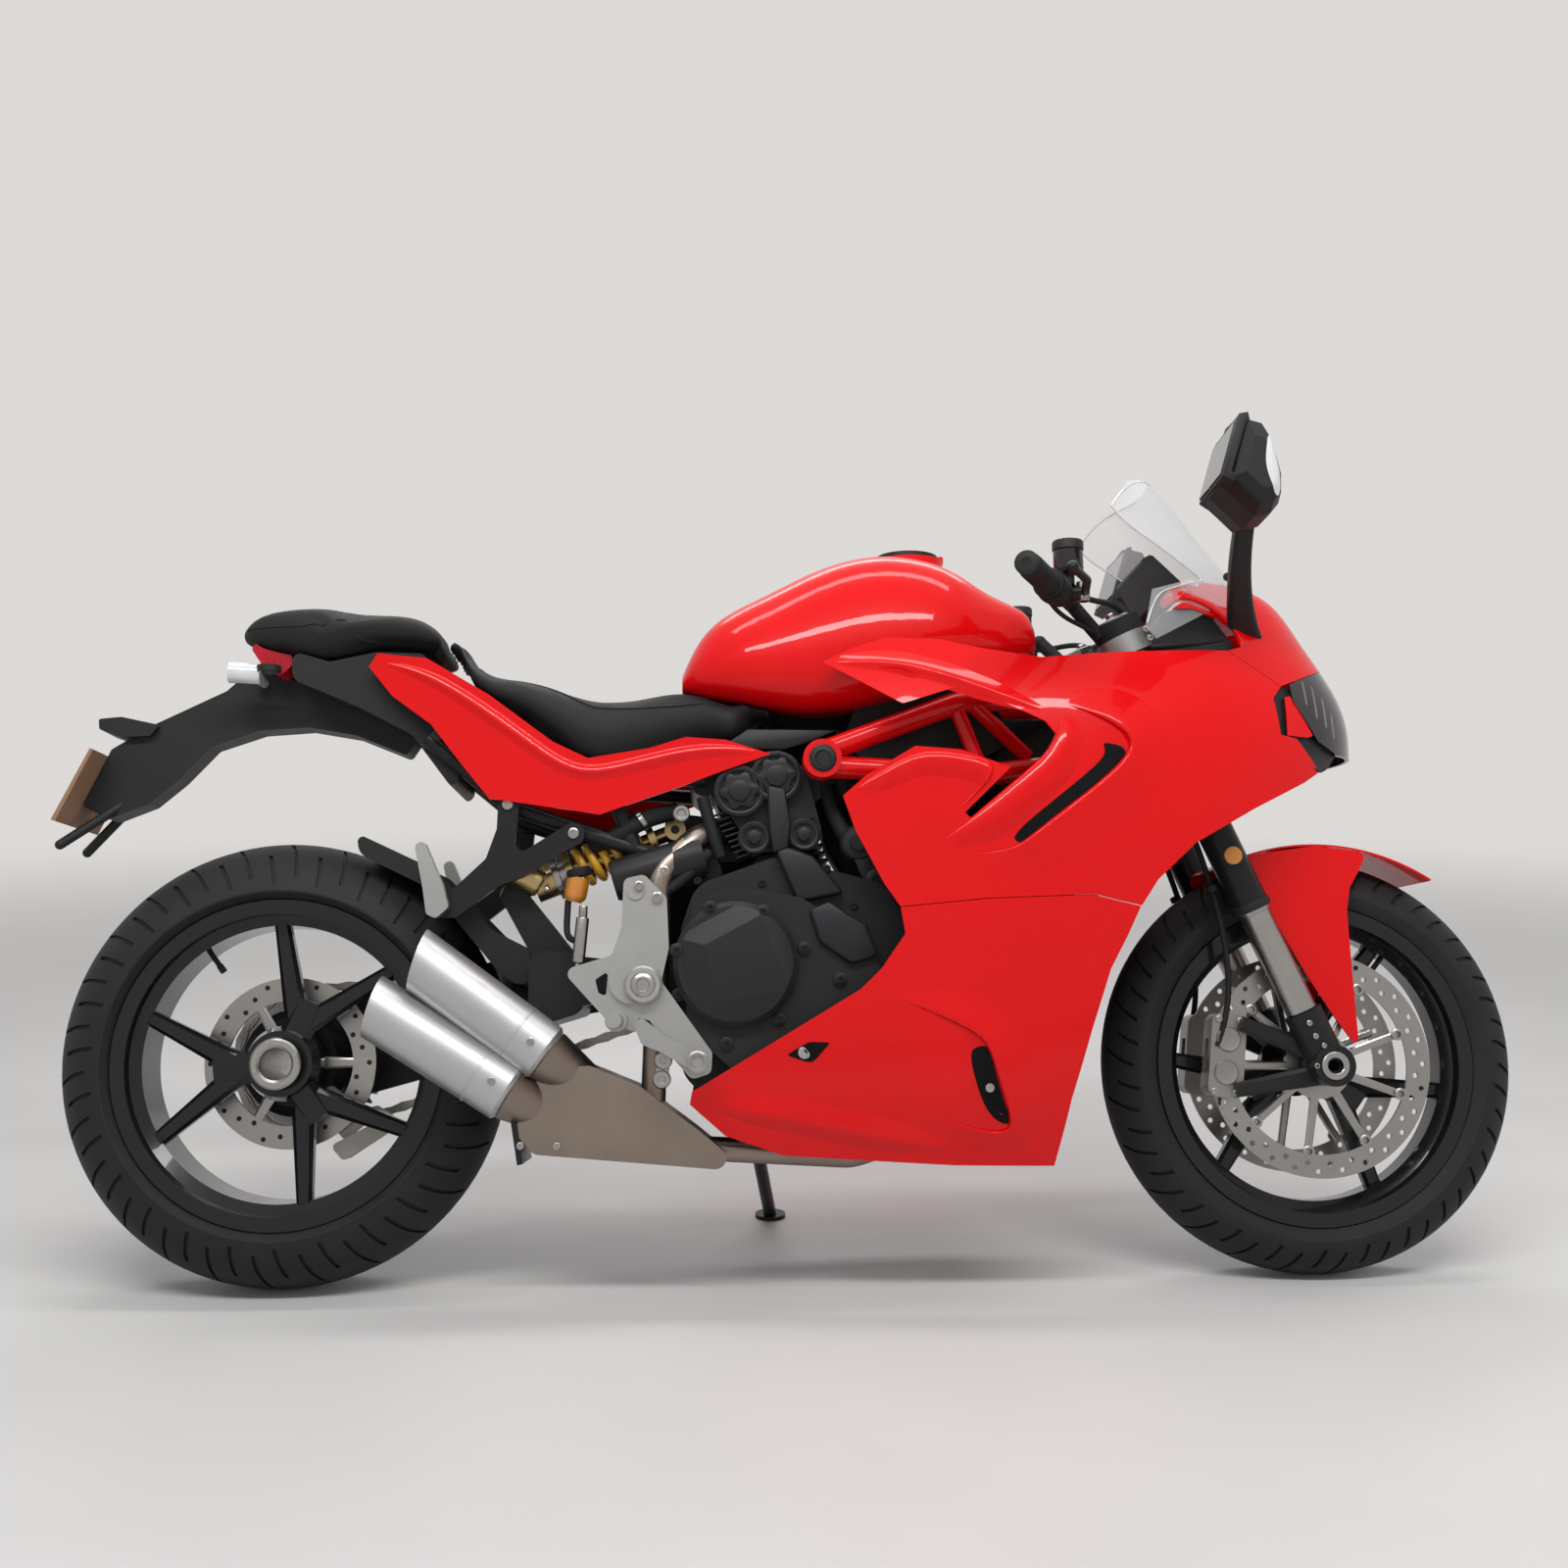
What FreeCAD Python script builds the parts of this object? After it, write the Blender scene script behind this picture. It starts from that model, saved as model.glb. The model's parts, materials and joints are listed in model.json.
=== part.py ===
"""Sport bike with a full fairing, resting on its side stand.

The bike is modelled upright, with the rear axle over the origin, forward
along +X and its left side along +Y, then leaned over its tyres onto the stand.
Lengths are in millimetres.  Side outlines are shares of the wheelbase along X
and of the body height along Z, and widths are shares of the body half width.
"""
import FreeCAD, Part
import math
import os

vec = FreeCAD.Vector

# Driving sizes
wheelbase = 1478.0
body_height = 1000.0
body_half_width = 240.0
lean_deg = 12.0
rake_deg = 24.0
trail = 91.0
rest_gap = 0.3
moving_gap = 5.5
overrun = 20.0

# Tyres and rims
front_tyre_radius = 300.0
front_tyre_half_width = 60.0
front_crown_radius = 62.0
rear_tyre_radius = 315.0
rear_tyre_half_width = 90.0
rear_crown_radius = 92.0
bead_radius = 215.9
front_rim_half_width = 44.5
rear_rim_half_width = 70.0
flange_height = 14.0
flange_thickness = 7.0
barrel_wall = 6.0
well_depth = 15.0
spoke_stem_width = 46.0
spoke_arm_width = 27.0
spoke_depth = 30.0
spoke_vertex_radius = 95.0
spoke_spread_deg = 25.5
front_spoke_deg = 83.0
rear_spoke_deg = 66.0
spoke_stems = 3
rear_spoke_offset = -35.0

# Front hub, brakes and fork
front_axle_radius = 12.5
front_axle_bore = 8.0
front_hub_radius = 31.0
front_hub_half_width = 59.0
disc_flange_radius = 48.0
front_disc_radius = 160.0
front_disc_thickness = 4.5
disc_band_width = 33.0
disc_arms = 9
disc_arm_width = 13.0
fork_half_spacing = 105.0
fork_offset = 39.5
fork_tube_radius = 26.0
stanchion_radius = 21.5
fork_foot_radius = 27.0
fork_foot_top = 395.0
fork_tube_bottom = 554.0
fork_tube_top = 1012.0
lower_clamp_bottom = 770.0
upper_clamp_bottom = 958.0
clamp_thickness = 30.0
clamp_wall = 11.0
stem_radius = 16.0
head_tube_radius = 28.0
head_tube_wall = 5.0
axle_boss_radius = 29.0
axle_boss_end = 136.0
caliper_half_thickness = 42.0
caliper_length = 118.0
caliper_depth = 50.0
caliper_radius = 139.0
caliper_deg = 174.0
caliper_arm_width = 20.0
caliper_arm_thickness = 16.0

# Handlebars and levers
bar_radius = 11.0
grip_radius = 17.0
grip_length = 115.0
pod_radius = 22.0
bar_end_radius = 15.0
reservoir_radius = 20.0
reservoir_height = 44.0
lever_radius = 6.0

# Front fender
fender_clearance = 14.0
fender_wall = 3.0
fender_half_width = fork_half_spacing - fork_tube_radius - rest_gap

# Rear hub, swingarm and chain
rear_hub_radius = 46.0
rear_nut_radius = 37.5
rear_nut_bore = 22.0
rear_nut_end = -80.0
rear_hub_right = -62.0
rear_hub_left = -8.0
rear_disc_radius = 122.5
rear_disc_offset = 12.0
rear_disc_thickness = 5.0
hub_carrier_radius = 78.0
hub_carrier_right = 32.0
hub_carrier_left = 100.0
swingarm_inner = 97.0
swingarm_outer = 130.0
rear_spindle_radius = 27.0
pivot_pin_radius = 12.0
pivot_boss_radius = 28.0
engine_lug_half_width = 68.0
pivot_boss_end = 112.0
chain_pitch = 15.875
rear_teeth = 43
front_teeth = 15
chain_line = 145.0
sprocket_thickness = 7.0
chain_width = 17.0
chain_plate_height = 14.5
sprocket_gap = 0.8

# Panels and screens
panel_wall = 3.5
panel_seam = 1.2
lens_wall = 6.0
screen_wall = 3.0
tail_skin_wall = 4.0

# Exhaust
silencer_radius = 42.0
silencer_bore = 30.0
silencer_bore_depth = 60.0
header_radius = 17.0
header_bend = 60.0

# Frame
frame_tube_radius = 16.0
brace_radius = 11.0
subframe_radius = 11.0
bend_radius = 45.0

# Stand
stand_pivot_radius = 6.0
stand_boss_radius = 13.0
stand_leg_radius = 10.0
stand_foot_radius = 24.0
stand_foot_thickness = 6.0

# Fuel cap
cap_radius = 46.0
cap_thickness = 8.0
filler_radius = 54.0
filler_bore = 34.0
filler_depth = 30.0
hinge_radius = 3.5
hinge_pin_radius = 1.5
hinge_half_width = 10.0
hinge_ear_width = 5.0


def at(x_share, z_share, y=0.0):
    """Point given as shares of the wheelbase and the body height."""
    return vec(x_share * wheelbase, y, z_share * body_height)


def across(share):
    return share * body_half_width


def along(shares, y=0.0):
    return [at(x, z, y) for x, z in shares]


def corner_arc(before, corner, after, radius):
    """Start, middle and end of the arc that rounds one corner of a path."""
    back = (before - corner)
    on = (after - corner)
    room = 0.45 * min(back.Length, on.Length)
    back.normalize()
    on.normalize()
    half = 0.5 * back.getAngle(on)
    if half > math.radians(88.0) or radius <= 0.0:
        return None
    reach = min(radius / math.tan(half), room)
    fit = reach * math.tan(half)
    bisector = (back + on).normalize()
    middle = corner + bisector * (math.hypot(reach, fit) - fit)
    return corner + back * reach, middle, corner + on * reach


def path_wire(points, radius, closed):
    """Wire of straight runs joined by tangent arcs."""
    count = len(points)
    ends = []
    for i, corner in enumerate(points):
        inside = closed or 0 < i < count - 1
        arc = corner_arc(points[i - 1], corner, points[(i + 1) % count], radius) if inside else None
        ends.append(arc or (corner, None, corner))
    edges = []
    for i, (start, middle, end) in enumerate(ends):
        if middle is not None:
            edges.append(Part.Arc(start, middle, end).toShape())
        if i + 1 < count or closed:
            following = ends[(i + 1) % count][0]
            if (following - end).Length > 1e-6:
                edges.append(Part.LineSegment(end, following).toShape())
    return Part.Wire(edges)


def plate(shares, y_low, y_high, radius=0.0):
    """Flat piece with a side outline, from y_low to y_high."""
    wire = path_wire(along(shares, y_low), radius, True)
    return Part.Face(wire).extrude(vec(0, y_high - y_low, 0))


def tube(points, radius, bend=bend_radius):
    """Round bar along a path of straight runs and arcs."""
    path = path_wire(points, bend, False)
    start = points[1] - points[0]
    section = Part.Wire(Part.Circle(points[0], start, radius).toShape())
    return path.makePipeShell([section], True, False)


def bar(start, end, radius):
    return Part.makeCylinder(radius, (end - start).Length, start, end - start)


def cross_cylinder(centre, radius, y_low, y_high):
    """Cylinder along Y about a point of the side view."""
    return Part.makeCylinder(radius, y_high - y_low, vec(centre.x, y_low, centre.z), vec(0, 1, 0))


def turned(profile, centre):
    """Solid of revolution about the Y axis through centre, from (radius, y) corners."""
    points = [vec(centre.x + r, y, centre.z) for r, y in profile]
    face = Part.Face(Part.makePolygon(points + points[:1]))
    return face.revolve(vec(centre.x, 0, centre.z), vec(0, 1, 0), 360)


def fused(shapes):
    whole = shapes[0].multiFuse(shapes[1:]) if len(shapes) > 1 else shapes[0]
    return whole.removeSplitter()


def mirrored(shape):
    return shape.mirror(vec(0, 0, 0), vec(0, 1, 0))


def both_sides(shape):
    return Part.makeCompound([shape, mirrored(shape)])


def lofted(wires, ruled=False):
    return Part.makeLoft(wires, True, ruled)


def rounded_section(centre, across_dir, up_dir, half_width, half_height):
    """Closed curve like a rounded rectangle about a point."""
    curve = Part.BSplineCurve()
    points = []
    for u, v in soft_square_shares:
        points.append(centre + across_dir * (u * half_width) + up_dir * (v * half_height))
    curve.interpolate(points, PeriodicFlag=True)
    return Part.Wire(curve.toShape())


def chamfered_section(centre, across_dir, up_dir, half_width, half_height):
    points = []
    for u, v in chamfered_square_shares:
        points.append(centre + across_dir * (u * half_width) + up_dir * (v * half_height))
    return Part.makePolygon(points + points[:1])


def beam(start, end, widths, depths):
    """Tapered bar with chamfered edges between two points of the side view."""
    run = (end - start)
    run.normalize()
    side = run.cross(vec(0, 1, 0))
    wires = []
    for point, width, depth in zip((start, end), widths, depths):
        wires.append(chamfered_section(point, side, vec(0, 1, 0), width / 2, depth / 2))
    return lofted(wires, True)


soft_square_shares = [(0, 1), (0.5, 0.985), (0.86, 0.86), (0.985, 0.5), (1, 0), (0.985, -0.5),
                      (0.86, -0.86), (0.5, -0.985), (0, -1), (-0.5, -0.985), (-0.86, -0.86), (-0.985, -0.5),
                      (-1, 0), (-0.985, 0.5), (-0.86, 0.86), (-0.5, 0.985)]
chamfered_square_shares = [(1, 0.6), (0.6, 1), (-0.6, 1), (-1, 0.6), (-1, -0.6), (-0.6, -1), (0.6, -1),
                           (1, -0.6)]

lean = math.radians(lean_deg)
rake = math.radians(rake_deg)
rear_axle_height = (rear_tyre_radius - rear_crown_radius) + rear_crown_radius / math.cos(lean)
front_axle_height = (front_tyre_radius - front_crown_radius) + front_crown_radius / math.cos(lean)
rear_axle = vec(0, 0, rear_axle_height)
front_axle = vec(wheelbase, 0, front_axle_height)
steering_foot = vec(wheelbase + trail, 0, 0)
steering_turn = FreeCAD.Rotation(vec(0, 1, 0), -rake_deg)
swingarm_pivot = at(0.338, 0.428)
front_sprocket = at(0.387, 0.432)


def steered(height, forward, y=0.0):
    """Point given along the steering axis, ahead of it and across."""
    return steering_foot + steering_turn.multVec(vec(forward, y, height))


# Height of the front axle along the steering axis, from the axis's foot on the ground.
axle_along = trail * math.sin(rake) + front_axle_height * math.cos(rake)


# Wheels

def tyre(centre, radius, half_width, crown_radius, rim_half_width):
    """Tyre ring: a crown in a few bands, walls and beads that seat inside the rim."""
    crown_centre = radius - crown_radius
    shoulder = math.asin(half_width / crown_radius)
    inner = bead_radius + rest_gap
    top = bead_radius + flange_height + rest_gap + flange_thickness / 4
    bead_y = rim_half_width - rest_gap
    lip_y = rim_half_width + flange_thickness
    # One of the crown's edges is where the leaning tyre touches the ground.
    angles = [shoulder, (shoulder + lean) / 2, lean, -lean, -(shoulder + lean) / 2, -shoulder]
    crown = [(crown_centre + crown_radius * math.cos(a), crown_radius * math.sin(a)) for a in angles]
    wall = [(top, -lip_y), (top, -bead_y), (inner, -bead_y)]
    return turned(crown + wall + [(r, -y) for r, y in reversed(wall)], centre)


def barrel(centre, half_width):
    """Rim barrel with flanges, bead seats and a dropped well."""
    seat = bead_radius
    well = seat - well_depth
    lip = half_width + flange_thickness
    ramp = half_width - well_depth
    outer = [(seat - barrel_wall, lip), (seat + flange_height, lip), (seat + flange_height, half_width),
             (seat, half_width), (seat, ramp), (well, ramp - well_depth / 2)]
    inner = [(well - barrel_wall, ramp - well_depth / 2 - barrel_wall / 2), (seat - barrel_wall, ramp)]
    profile = outer + [(r, -y) for r, y in reversed(outer)] + [(r, -y) for r, y in reversed(inner)] + inner
    return turned(profile, centre)


def spokes(centre, first_deg, hub_radius, offset):
    """Three stems from the hub that each fork into two arms."""
    limbs = []
    reach = bead_radius - well_depth - barrel_wall / 2
    for stem in range(spoke_stems):
        turn = math.radians(first_deg + stem * 360 / spoke_stems)

        def polar(radius, angle):
            return centre + vec(radius * math.cos(angle), offset, radius * math.sin(angle))

        limbs.append(beam(polar(hub_radius / 2, turn), polar(spoke_vertex_radius, turn),
                          (spoke_stem_width, spoke_stem_width), (spoke_depth * 1.3, spoke_depth)))
        for side in (-1, 1):
            end = turn + side * math.radians(spoke_spread_deg)
            start = turn + side * math.radians(spoke_spread_deg / 3)
            limbs.append(beam(polar(spoke_vertex_radius - spoke_arm_width, start), polar(reach, end),
                              (spoke_arm_width * 1.2, spoke_arm_width * 0.8),
                              (spoke_depth, spoke_depth * 0.8)))
    return limbs


def make_front_rim():
    hub = turned([(front_axle_radius + rest_gap, -front_hub_half_width),
                  (disc_flange_radius, -front_hub_half_width),
                  (disc_flange_radius, -front_hub_half_width + flange_thickness),
                  (front_hub_radius, -front_hub_half_width + 3 * flange_thickness),
                  (front_hub_radius, front_hub_half_width - 3 * flange_thickness),
                  (disc_flange_radius, front_hub_half_width - flange_thickness),
                  (disc_flange_radius, front_hub_half_width),
                  (front_axle_radius + rest_gap, front_hub_half_width)], front_axle)
    limbs = spokes(front_axle, front_spoke_deg, front_hub_radius * 1.5, 0.0)
    rim = fused([barrel(front_axle, front_rim_half_width), hub] + limbs)
    return rim.cut(cross_cylinder(front_axle, front_axle_radius + rest_gap, -overrun * 4, overrun * 4))


def brake_disc(centre, radius, inner_face, outer_face, hub_radius, bore, direction):
    """Friction band on a star carrier; direction is the side that faces out."""
    band = cross_cylinder(centre, radius, *sorted((inner_face, outer_face)))
    band = band.cut(cross_cylinder(centre, radius - disc_band_width, -body_half_width, body_half_width))
    holes = []
    for row in range(2):
        for i in range(disc_arms * 3):
            turn = 2 * math.pi * (i + row / 2) / (disc_arms * 3)
            r = radius - disc_band_width * (0.3 + 0.32 * row)
            spot = centre + vec(r * math.cos(turn), 0, r * math.sin(turn))
            reach = direction * overrun
            holes.append(cross_cylinder(spot, front_disc_thickness * 0.85,
                                        *sorted((inner_face - reach, outer_face + reach))))
    band = band.cut(Part.makeCompound(holes))
    carrier_back = inner_face - direction * front_disc_thickness
    carrier_low, carrier_high = sorted((carrier_back, inner_face + direction * front_disc_thickness / 4))
    pieces = [band, cross_cylinder(centre, hub_radius, carrier_low, carrier_high)]
    for i in range(disc_arms):
        turn = 2 * math.pi * (i + 0.5) / disc_arms
        reach = radius - disc_band_width * 0.85
        end = centre + vec(reach * math.cos(turn), 0, reach * math.sin(turn))
        mid = (carrier_low + carrier_high) / 2
        start = centre + vec(0, mid, 0)
        end = end + vec(0, mid, 0)
        pieces.append(beam(start, end, (disc_arm_width, disc_arm_width * 0.8),
                           (carrier_high - carrier_low, carrier_high - carrier_low)))
    return fused(pieces).cut(cross_cylinder(centre, bore, -body_half_width, body_half_width))


def make_front_discs():
    inner = front_hub_half_width + rest_gap + front_disc_thickness
    return both_sides(brake_disc(front_axle, front_disc_radius, inner, inner + front_disc_thickness,
                                 disc_flange_radius, front_hub_radius * 0.8, 1.0))


def make_rear_rim():
    """Rim, hub and the big wheel nut of a single-sided hub."""
    hub = turned([(rear_spindle_radius + rest_gap, rear_hub_right), (rear_hub_radius, rear_hub_right),
                  (rear_hub_radius + flange_thickness, rear_spoke_offset),
                  (rear_hub_radius + flange_thickness, rear_hub_left),
                  (rear_spindle_radius + rest_gap, rear_hub_left)], rear_axle)
    limbs = spokes(rear_axle, rear_spoke_deg, rear_hub_radius, rear_spoke_offset)
    nut = turned([(rear_nut_bore, rear_nut_end), (rear_nut_radius * 0.92, rear_nut_end),
                  (rear_nut_radius, rear_nut_end + flange_thickness), (rear_nut_radius, rear_hub_right),
                  (rear_nut_bore, rear_hub_right)], rear_axle)
    rim = fused([barrel(rear_axle, rear_rim_half_width), hub] + limbs)
    rim = rim.cut(cross_cylinder(rear_axle, rear_spindle_radius + rest_gap, rear_hub_right, rear_hub_left))
    return fused([rim, nut])


def make_rear_disc():
    inner = rear_disc_offset - rear_disc_thickness / 2
    disc = cross_cylinder(rear_axle, rear_disc_radius, inner, inner + rear_disc_thickness)
    disc = disc.cut(cross_cylinder(rear_axle, rear_disc_radius - disc_band_width, inner,
                                   inner + rear_disc_thickness))
    hub = turned([(rear_spindle_radius + rest_gap, rear_hub_left + rest_gap),
                  (rear_hub_radius, rear_hub_left + rest_gap), (rear_hub_radius, inner + rear_disc_thickness),
                  (rear_spindle_radius + rest_gap, inner + rear_disc_thickness)], rear_axle)
    arms = []
    for i in range(disc_arms - 3):
        turn = 2 * math.pi * i / (disc_arms - 3)
        end = rear_axle + vec((rear_disc_radius - disc_band_width * 0.9) * math.cos(turn), rear_disc_offset,
                              (rear_disc_radius - disc_band_width * 0.9) * math.sin(turn))
        start = rear_axle + vec((rear_hub_radius - disc_arm_width / 2) * math.cos(turn), rear_disc_offset,
                                (rear_hub_radius - disc_arm_width / 2) * math.sin(turn))
        arms.append(beam(start, end, (disc_arm_width * 1.4, disc_arm_width),
                         (rear_disc_thickness, rear_disc_thickness)))
    return fused([disc, hub] + arms)


def sprocket(centre, teeth):
    """Toothed wheel with a straight-sided tooth for each pitch."""
    pitch_radius = chain_pitch / (2 * math.sin(math.pi / teeth))
    root = pitch_radius - chain_pitch * 0.3
    tip = pitch_radius + chain_pitch * 0.22
    points = []
    for i in range(teeth):
        for share, radius in ((-0.3, root), (-0.1, tip), (0.1, tip), (0.3, root)):
            turn = 2 * math.pi * (i + share) / teeth
            points.append(vec(centre.x + radius * math.cos(turn), chain_line - sprocket_thickness / 2,
                              centre.z + radius * math.sin(turn)))
    face = Part.Face(Part.makePolygon(points + points[:1]))
    return face.extrude(vec(0, sprocket_thickness, 0))


def make_rear_sprocket():
    """Driven sprocket on the hollow wheel spindle."""
    wheel = sprocket(rear_axle, rear_teeth)
    pitch_radius = chain_pitch / (2 * math.sin(math.pi / rear_teeth))
    window_radius = (pitch_radius - hub_carrier_radius / 2) / 3.4
    window_ring = (pitch_radius + rear_spindle_radius) / 2
    windows = []
    for i in range(6):
        turn = math.pi * i / 3
        spot = rear_axle + vec(window_ring * math.cos(turn), 0, window_ring * math.sin(turn))
        windows.append(cross_cylinder(spot, window_radius, 0, body_half_width))
    wheel = wheel.cut(Part.makeCompound(windows))
    end = chain_line + sprocket_thickness * 2
    spindle = turned([(rear_nut_bore, rear_hub_right + rest_gap),
                      (rear_spindle_radius, rear_hub_right + rest_gap),
                      (rear_spindle_radius, end), (rear_nut_bore, end)], rear_axle)
    return fused([wheel, spindle]).cut(cross_cylinder(rear_axle, rear_nut_bore, rear_nut_end, end))


def make_drive_chain():
    """Closed loop of links round both sprockets, one waisted link for each pitch."""
    big = chain_pitch / (2 * math.sin(math.pi / rear_teeth))
    small = chain_pitch / (2 * math.sin(math.pi / front_teeth))
    gap = front_sprocket - rear_axle
    span = math.hypot(gap.x, gap.z)
    slope = math.atan2(gap.z, gap.x)
    lean_in = math.acos((big - small) / span)

    def tangent(radius, side, centre):
        turn = slope + side * lean_in
        return vec(centre.x + radius * math.cos(turn), 0, centre.z + radius * math.sin(turn))

    def loop(offset):
        top_rear = tangent(big + offset, 1, rear_axle)
        top_front = tangent(small + offset, 1, front_sprocket)
        low_front = tangent(small + offset, -1, front_sprocket)
        low_rear = tangent(big + offset, -1, rear_axle)
        nose = front_sprocket + vec((small + offset) * math.cos(slope), 0, (small + offset) * math.sin(slope))
        tail = rear_axle - vec((big + offset) * math.cos(slope), 0, (big + offset) * math.sin(slope))
        nose.y = 0
        tail.y = 0
        return Part.Wire([Part.LineSegment(top_rear, top_front).toShape(),
                          Part.Arc(top_front, nose, low_front).toShape(),
                          Part.LineSegment(low_front, low_rear).toShape(),
                          Part.Arc(low_rear, tail, top_rear).toShape()])

    half = chain_plate_height / 2
    centre_line = loop(0.0)
    links = int(centre_line.Length / chain_pitch)
    points = centre_line.discretize(Number=links // 2 * 2 + 1)[:-1]

    def outline(side):
        """Stepped edge: high over the outer plates and lower over the inner ones."""
        edge = []
        for i, spot in enumerate(points):
            ahead = points[(i + 1) % len(points)] - points[i - 1]
            ahead.normalize()
            normal = vec(-ahead.z, 0, ahead.x)
            height = half if i % 2 == 0 else half * 0.72
            edge.append(spot + normal * (side * height))
        wire = Part.makePolygon(edge + edge[:1])
        return Part.Face(wire)

    inside, outside = sorted((outline(1), outline(-1)), key=lambda face: face.Area)
    band = outside.extrude(vec(0, chain_width, 0)).cut(inside.extrude(vec(0, chain_width, 0)))
    band.translate(vec(0, chain_line - chain_width / 2, 0))
    slot_half = sprocket_thickness / 2 + sprocket_gap
    slots = []
    for centre, radius in ((rear_axle, big), (front_sprocket, small)):
        slots.append(cross_cylinder(centre, radius + chain_pitch * 0.22 + sprocket_gap,
                                    chain_line - slot_half, chain_line + slot_half))
    return band.cut(Part.makeCompound(slots))


# Swingarm side

def make_swingarm():
    """Single-sided arm: hub carrier, box arm, pivot tube and right pivot leg."""
    carrier = turned([(rear_spindle_radius + rest_gap, hub_carrier_right),
                      (hub_carrier_radius * 0.8, hub_carrier_right),
                      (hub_carrier_radius, hub_carrier_right + flange_thickness * 2),
                      (hub_carrier_radius, hub_carrier_left),
                      (hub_carrier_radius * 0.86, swingarm_outer - panel_wall),
                      (rear_spindle_radius + rest_gap, swingarm_outer - panel_wall)], rear_axle)
    arm = plate(swingarm_shares, swingarm_inner, swingarm_outer, bend_radius)
    bridge = plate(swingarm_bridge_shares, -pivot_boss_end, swingarm_outer, bend_radius / 2)
    legs = []
    for low, high in ((-pivot_boss_end, -engine_lug_half_width - rest_gap),
                      (engine_lug_half_width + rest_gap, swingarm_outer)):
        legs.append(cross_cylinder(swingarm_pivot, pivot_boss_radius, low, high))
        leg_high = min(high, low + (pivot_boss_end - engine_lug_half_width))
        legs.append(plate(swingarm_leg_shares, low, leg_high, bend_radius / 3))
    ears = []
    for low, high in shock_ear_sides():
        ears.append(plate(shock_ear_shares, low, high, pivot_boss_radius / 3))
    ear_pin = cross_cylinder(shock_rear, shock_pin_radius, shock_y - shock_eye_half_width - flange_thickness,
                             shock_y + shock_eye_half_width + flange_thickness)
    pin = cross_cylinder(swingarm_pivot, pivot_pin_radius, rest_gap - plate_inner, plate_inner - rest_gap)
    arm = fused([carrier, arm, bridge] + legs + ears + [ear_pin, pin])
    return arm.cut(cross_cylinder(rear_axle, rear_spindle_radius + rest_gap, 0, body_half_width))


def shock_ear_sides():
    """Both cheeks that hold an eye of the damper, as ranges of y."""
    inside = shock_eye_half_width + rest_gap
    outside = shock_eye_half_width + flange_thickness
    return (shock_y - outside, shock_y - inside), (shock_y + inside, shock_y + outside)


swingarm_shares = [(-0.02, 0.395), (0.041, 0.41), (0.203, 0.47), (0.284, 0.47), (0.361, 0.452),
                   (0.361, 0.404), (0.284, 0.385), (0.223, 0.352), (0.142, 0.3), (0.047, 0.262),
                   (-0.027, 0.25)]
swingarm_bridge_shares = [(0.238, 0.47), (0.291, 0.47), (0.291, 0.385), (0.238, 0.362)]
swingarm_leg_shares = [(0.271, 0.465), (0.348, 0.452), (0.352, 0.412), (0.271, 0.388)]
shock_ear_shares = [(0.208, 0.548), (0.214, 0.566), (0.227, 0.566), (0.252, 0.52), (0.279, 0.47),
                    (0.279, 0.42), (0.241, 0.42), (0.237, 0.47)]
shock_y = across(-0.25)
shock_eye_half_width = 15.0
shock_pin_radius = 6.0
shock_rear = at(0.218, 0.552)
shock_front = at(0.376, 0.644)


def make_rear_hugger():
    """Fender close over the rear tyre, carried on the arm."""
    radius = rear_tyre_radius + fender_clearance
    half = rear_tyre_half_width - flange_thickness
    outer = radius + fender_wall
    shell = turned([(radius, -half), (outer, -half), (outer, half), (radius, half)], rear_axle)
    sector = plate(hugger_sector_shares, -body_half_width, body_half_width)
    shell = shell.common(sector)
    cheek = plate(hugger_cheek_shares, half, half + fender_wall, bend_radius / 2)
    return fused([shell, cheek, mirrored(cheek)])


hugger_sector_shares = [(0.0, 0.317), (0.122, 0.76), (0.284, 0.64), (0.311, 0.47)]
hugger_cheek_shares = [(0.071, 0.64), (0.145, 0.588), (0.203, 0.5), (0.23, 0.48), (0.238, 0.474),
                       (0.238, 0.425), (0.223, 0.425), (0.206, 0.446), (0.142, 0.56), (0.074, 0.61)]


def make_rear_caliper():
    body = plate(rear_caliper_shares, rear_hub_left + flange_thickness / 2, hub_carrier_right - rest_gap,
                 flange_thickness)
    slot = cross_cylinder(rear_axle, rear_disc_radius + moving_gap,
                          rear_disc_offset - rear_disc_thickness / 2 - moving_gap,
                          rear_disc_offset + rear_disc_thickness / 2 + moving_gap)
    arm = plate(rear_caliper_arm_shares, rear_disc_offset + rear_disc_thickness / 2 + moving_gap,
                hub_carrier_right - rest_gap, flange_thickness)
    body = body.cut(slot)
    return fused([body, arm])


rear_caliper_shares = [(0.042, 0.2), (0.085, 0.232), (0.076, 0.262), (0.099, 0.24), (0.101, 0.222),
                       (0.055, 0.178)]
rear_caliper_arm_shares = [(0.02, 0.265), (0.038, 0.285), (0.081, 0.24), (0.053, 0.205)]


# Front end

def make_fork_legs():
    """Upper tubes and the bright sliders under them."""
    legs = []
    for side in (-1, 1):
        y = side * fork_half_spacing
        seam = steered(fork_tube_bottom, fork_offset, y)
        upper = bar(seam, steered(fork_tube_top, fork_offset, y), fork_tube_radius)
        slider = bar(steered(fork_foot_top - overrun, fork_offset, y), seam, stanchion_radius)
        collar = bar(seam, steered(fork_tube_bottom + flange_thickness, fork_offset, y),
                     fork_tube_radius + rest_gap * 4)
        legs.append(fused([upper, slider, collar]))
    return Part.makeCompound(legs)


def caliper_frame():
    """Centre and the two directions of the caliper in the side view."""
    turn = math.radians(caliper_deg)
    outward = vec(math.cos(turn), 0, math.sin(turn))
    tangent = vec(-outward.z, 0, outward.x)
    return front_axle + outward * caliper_radius, outward, tangent


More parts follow.
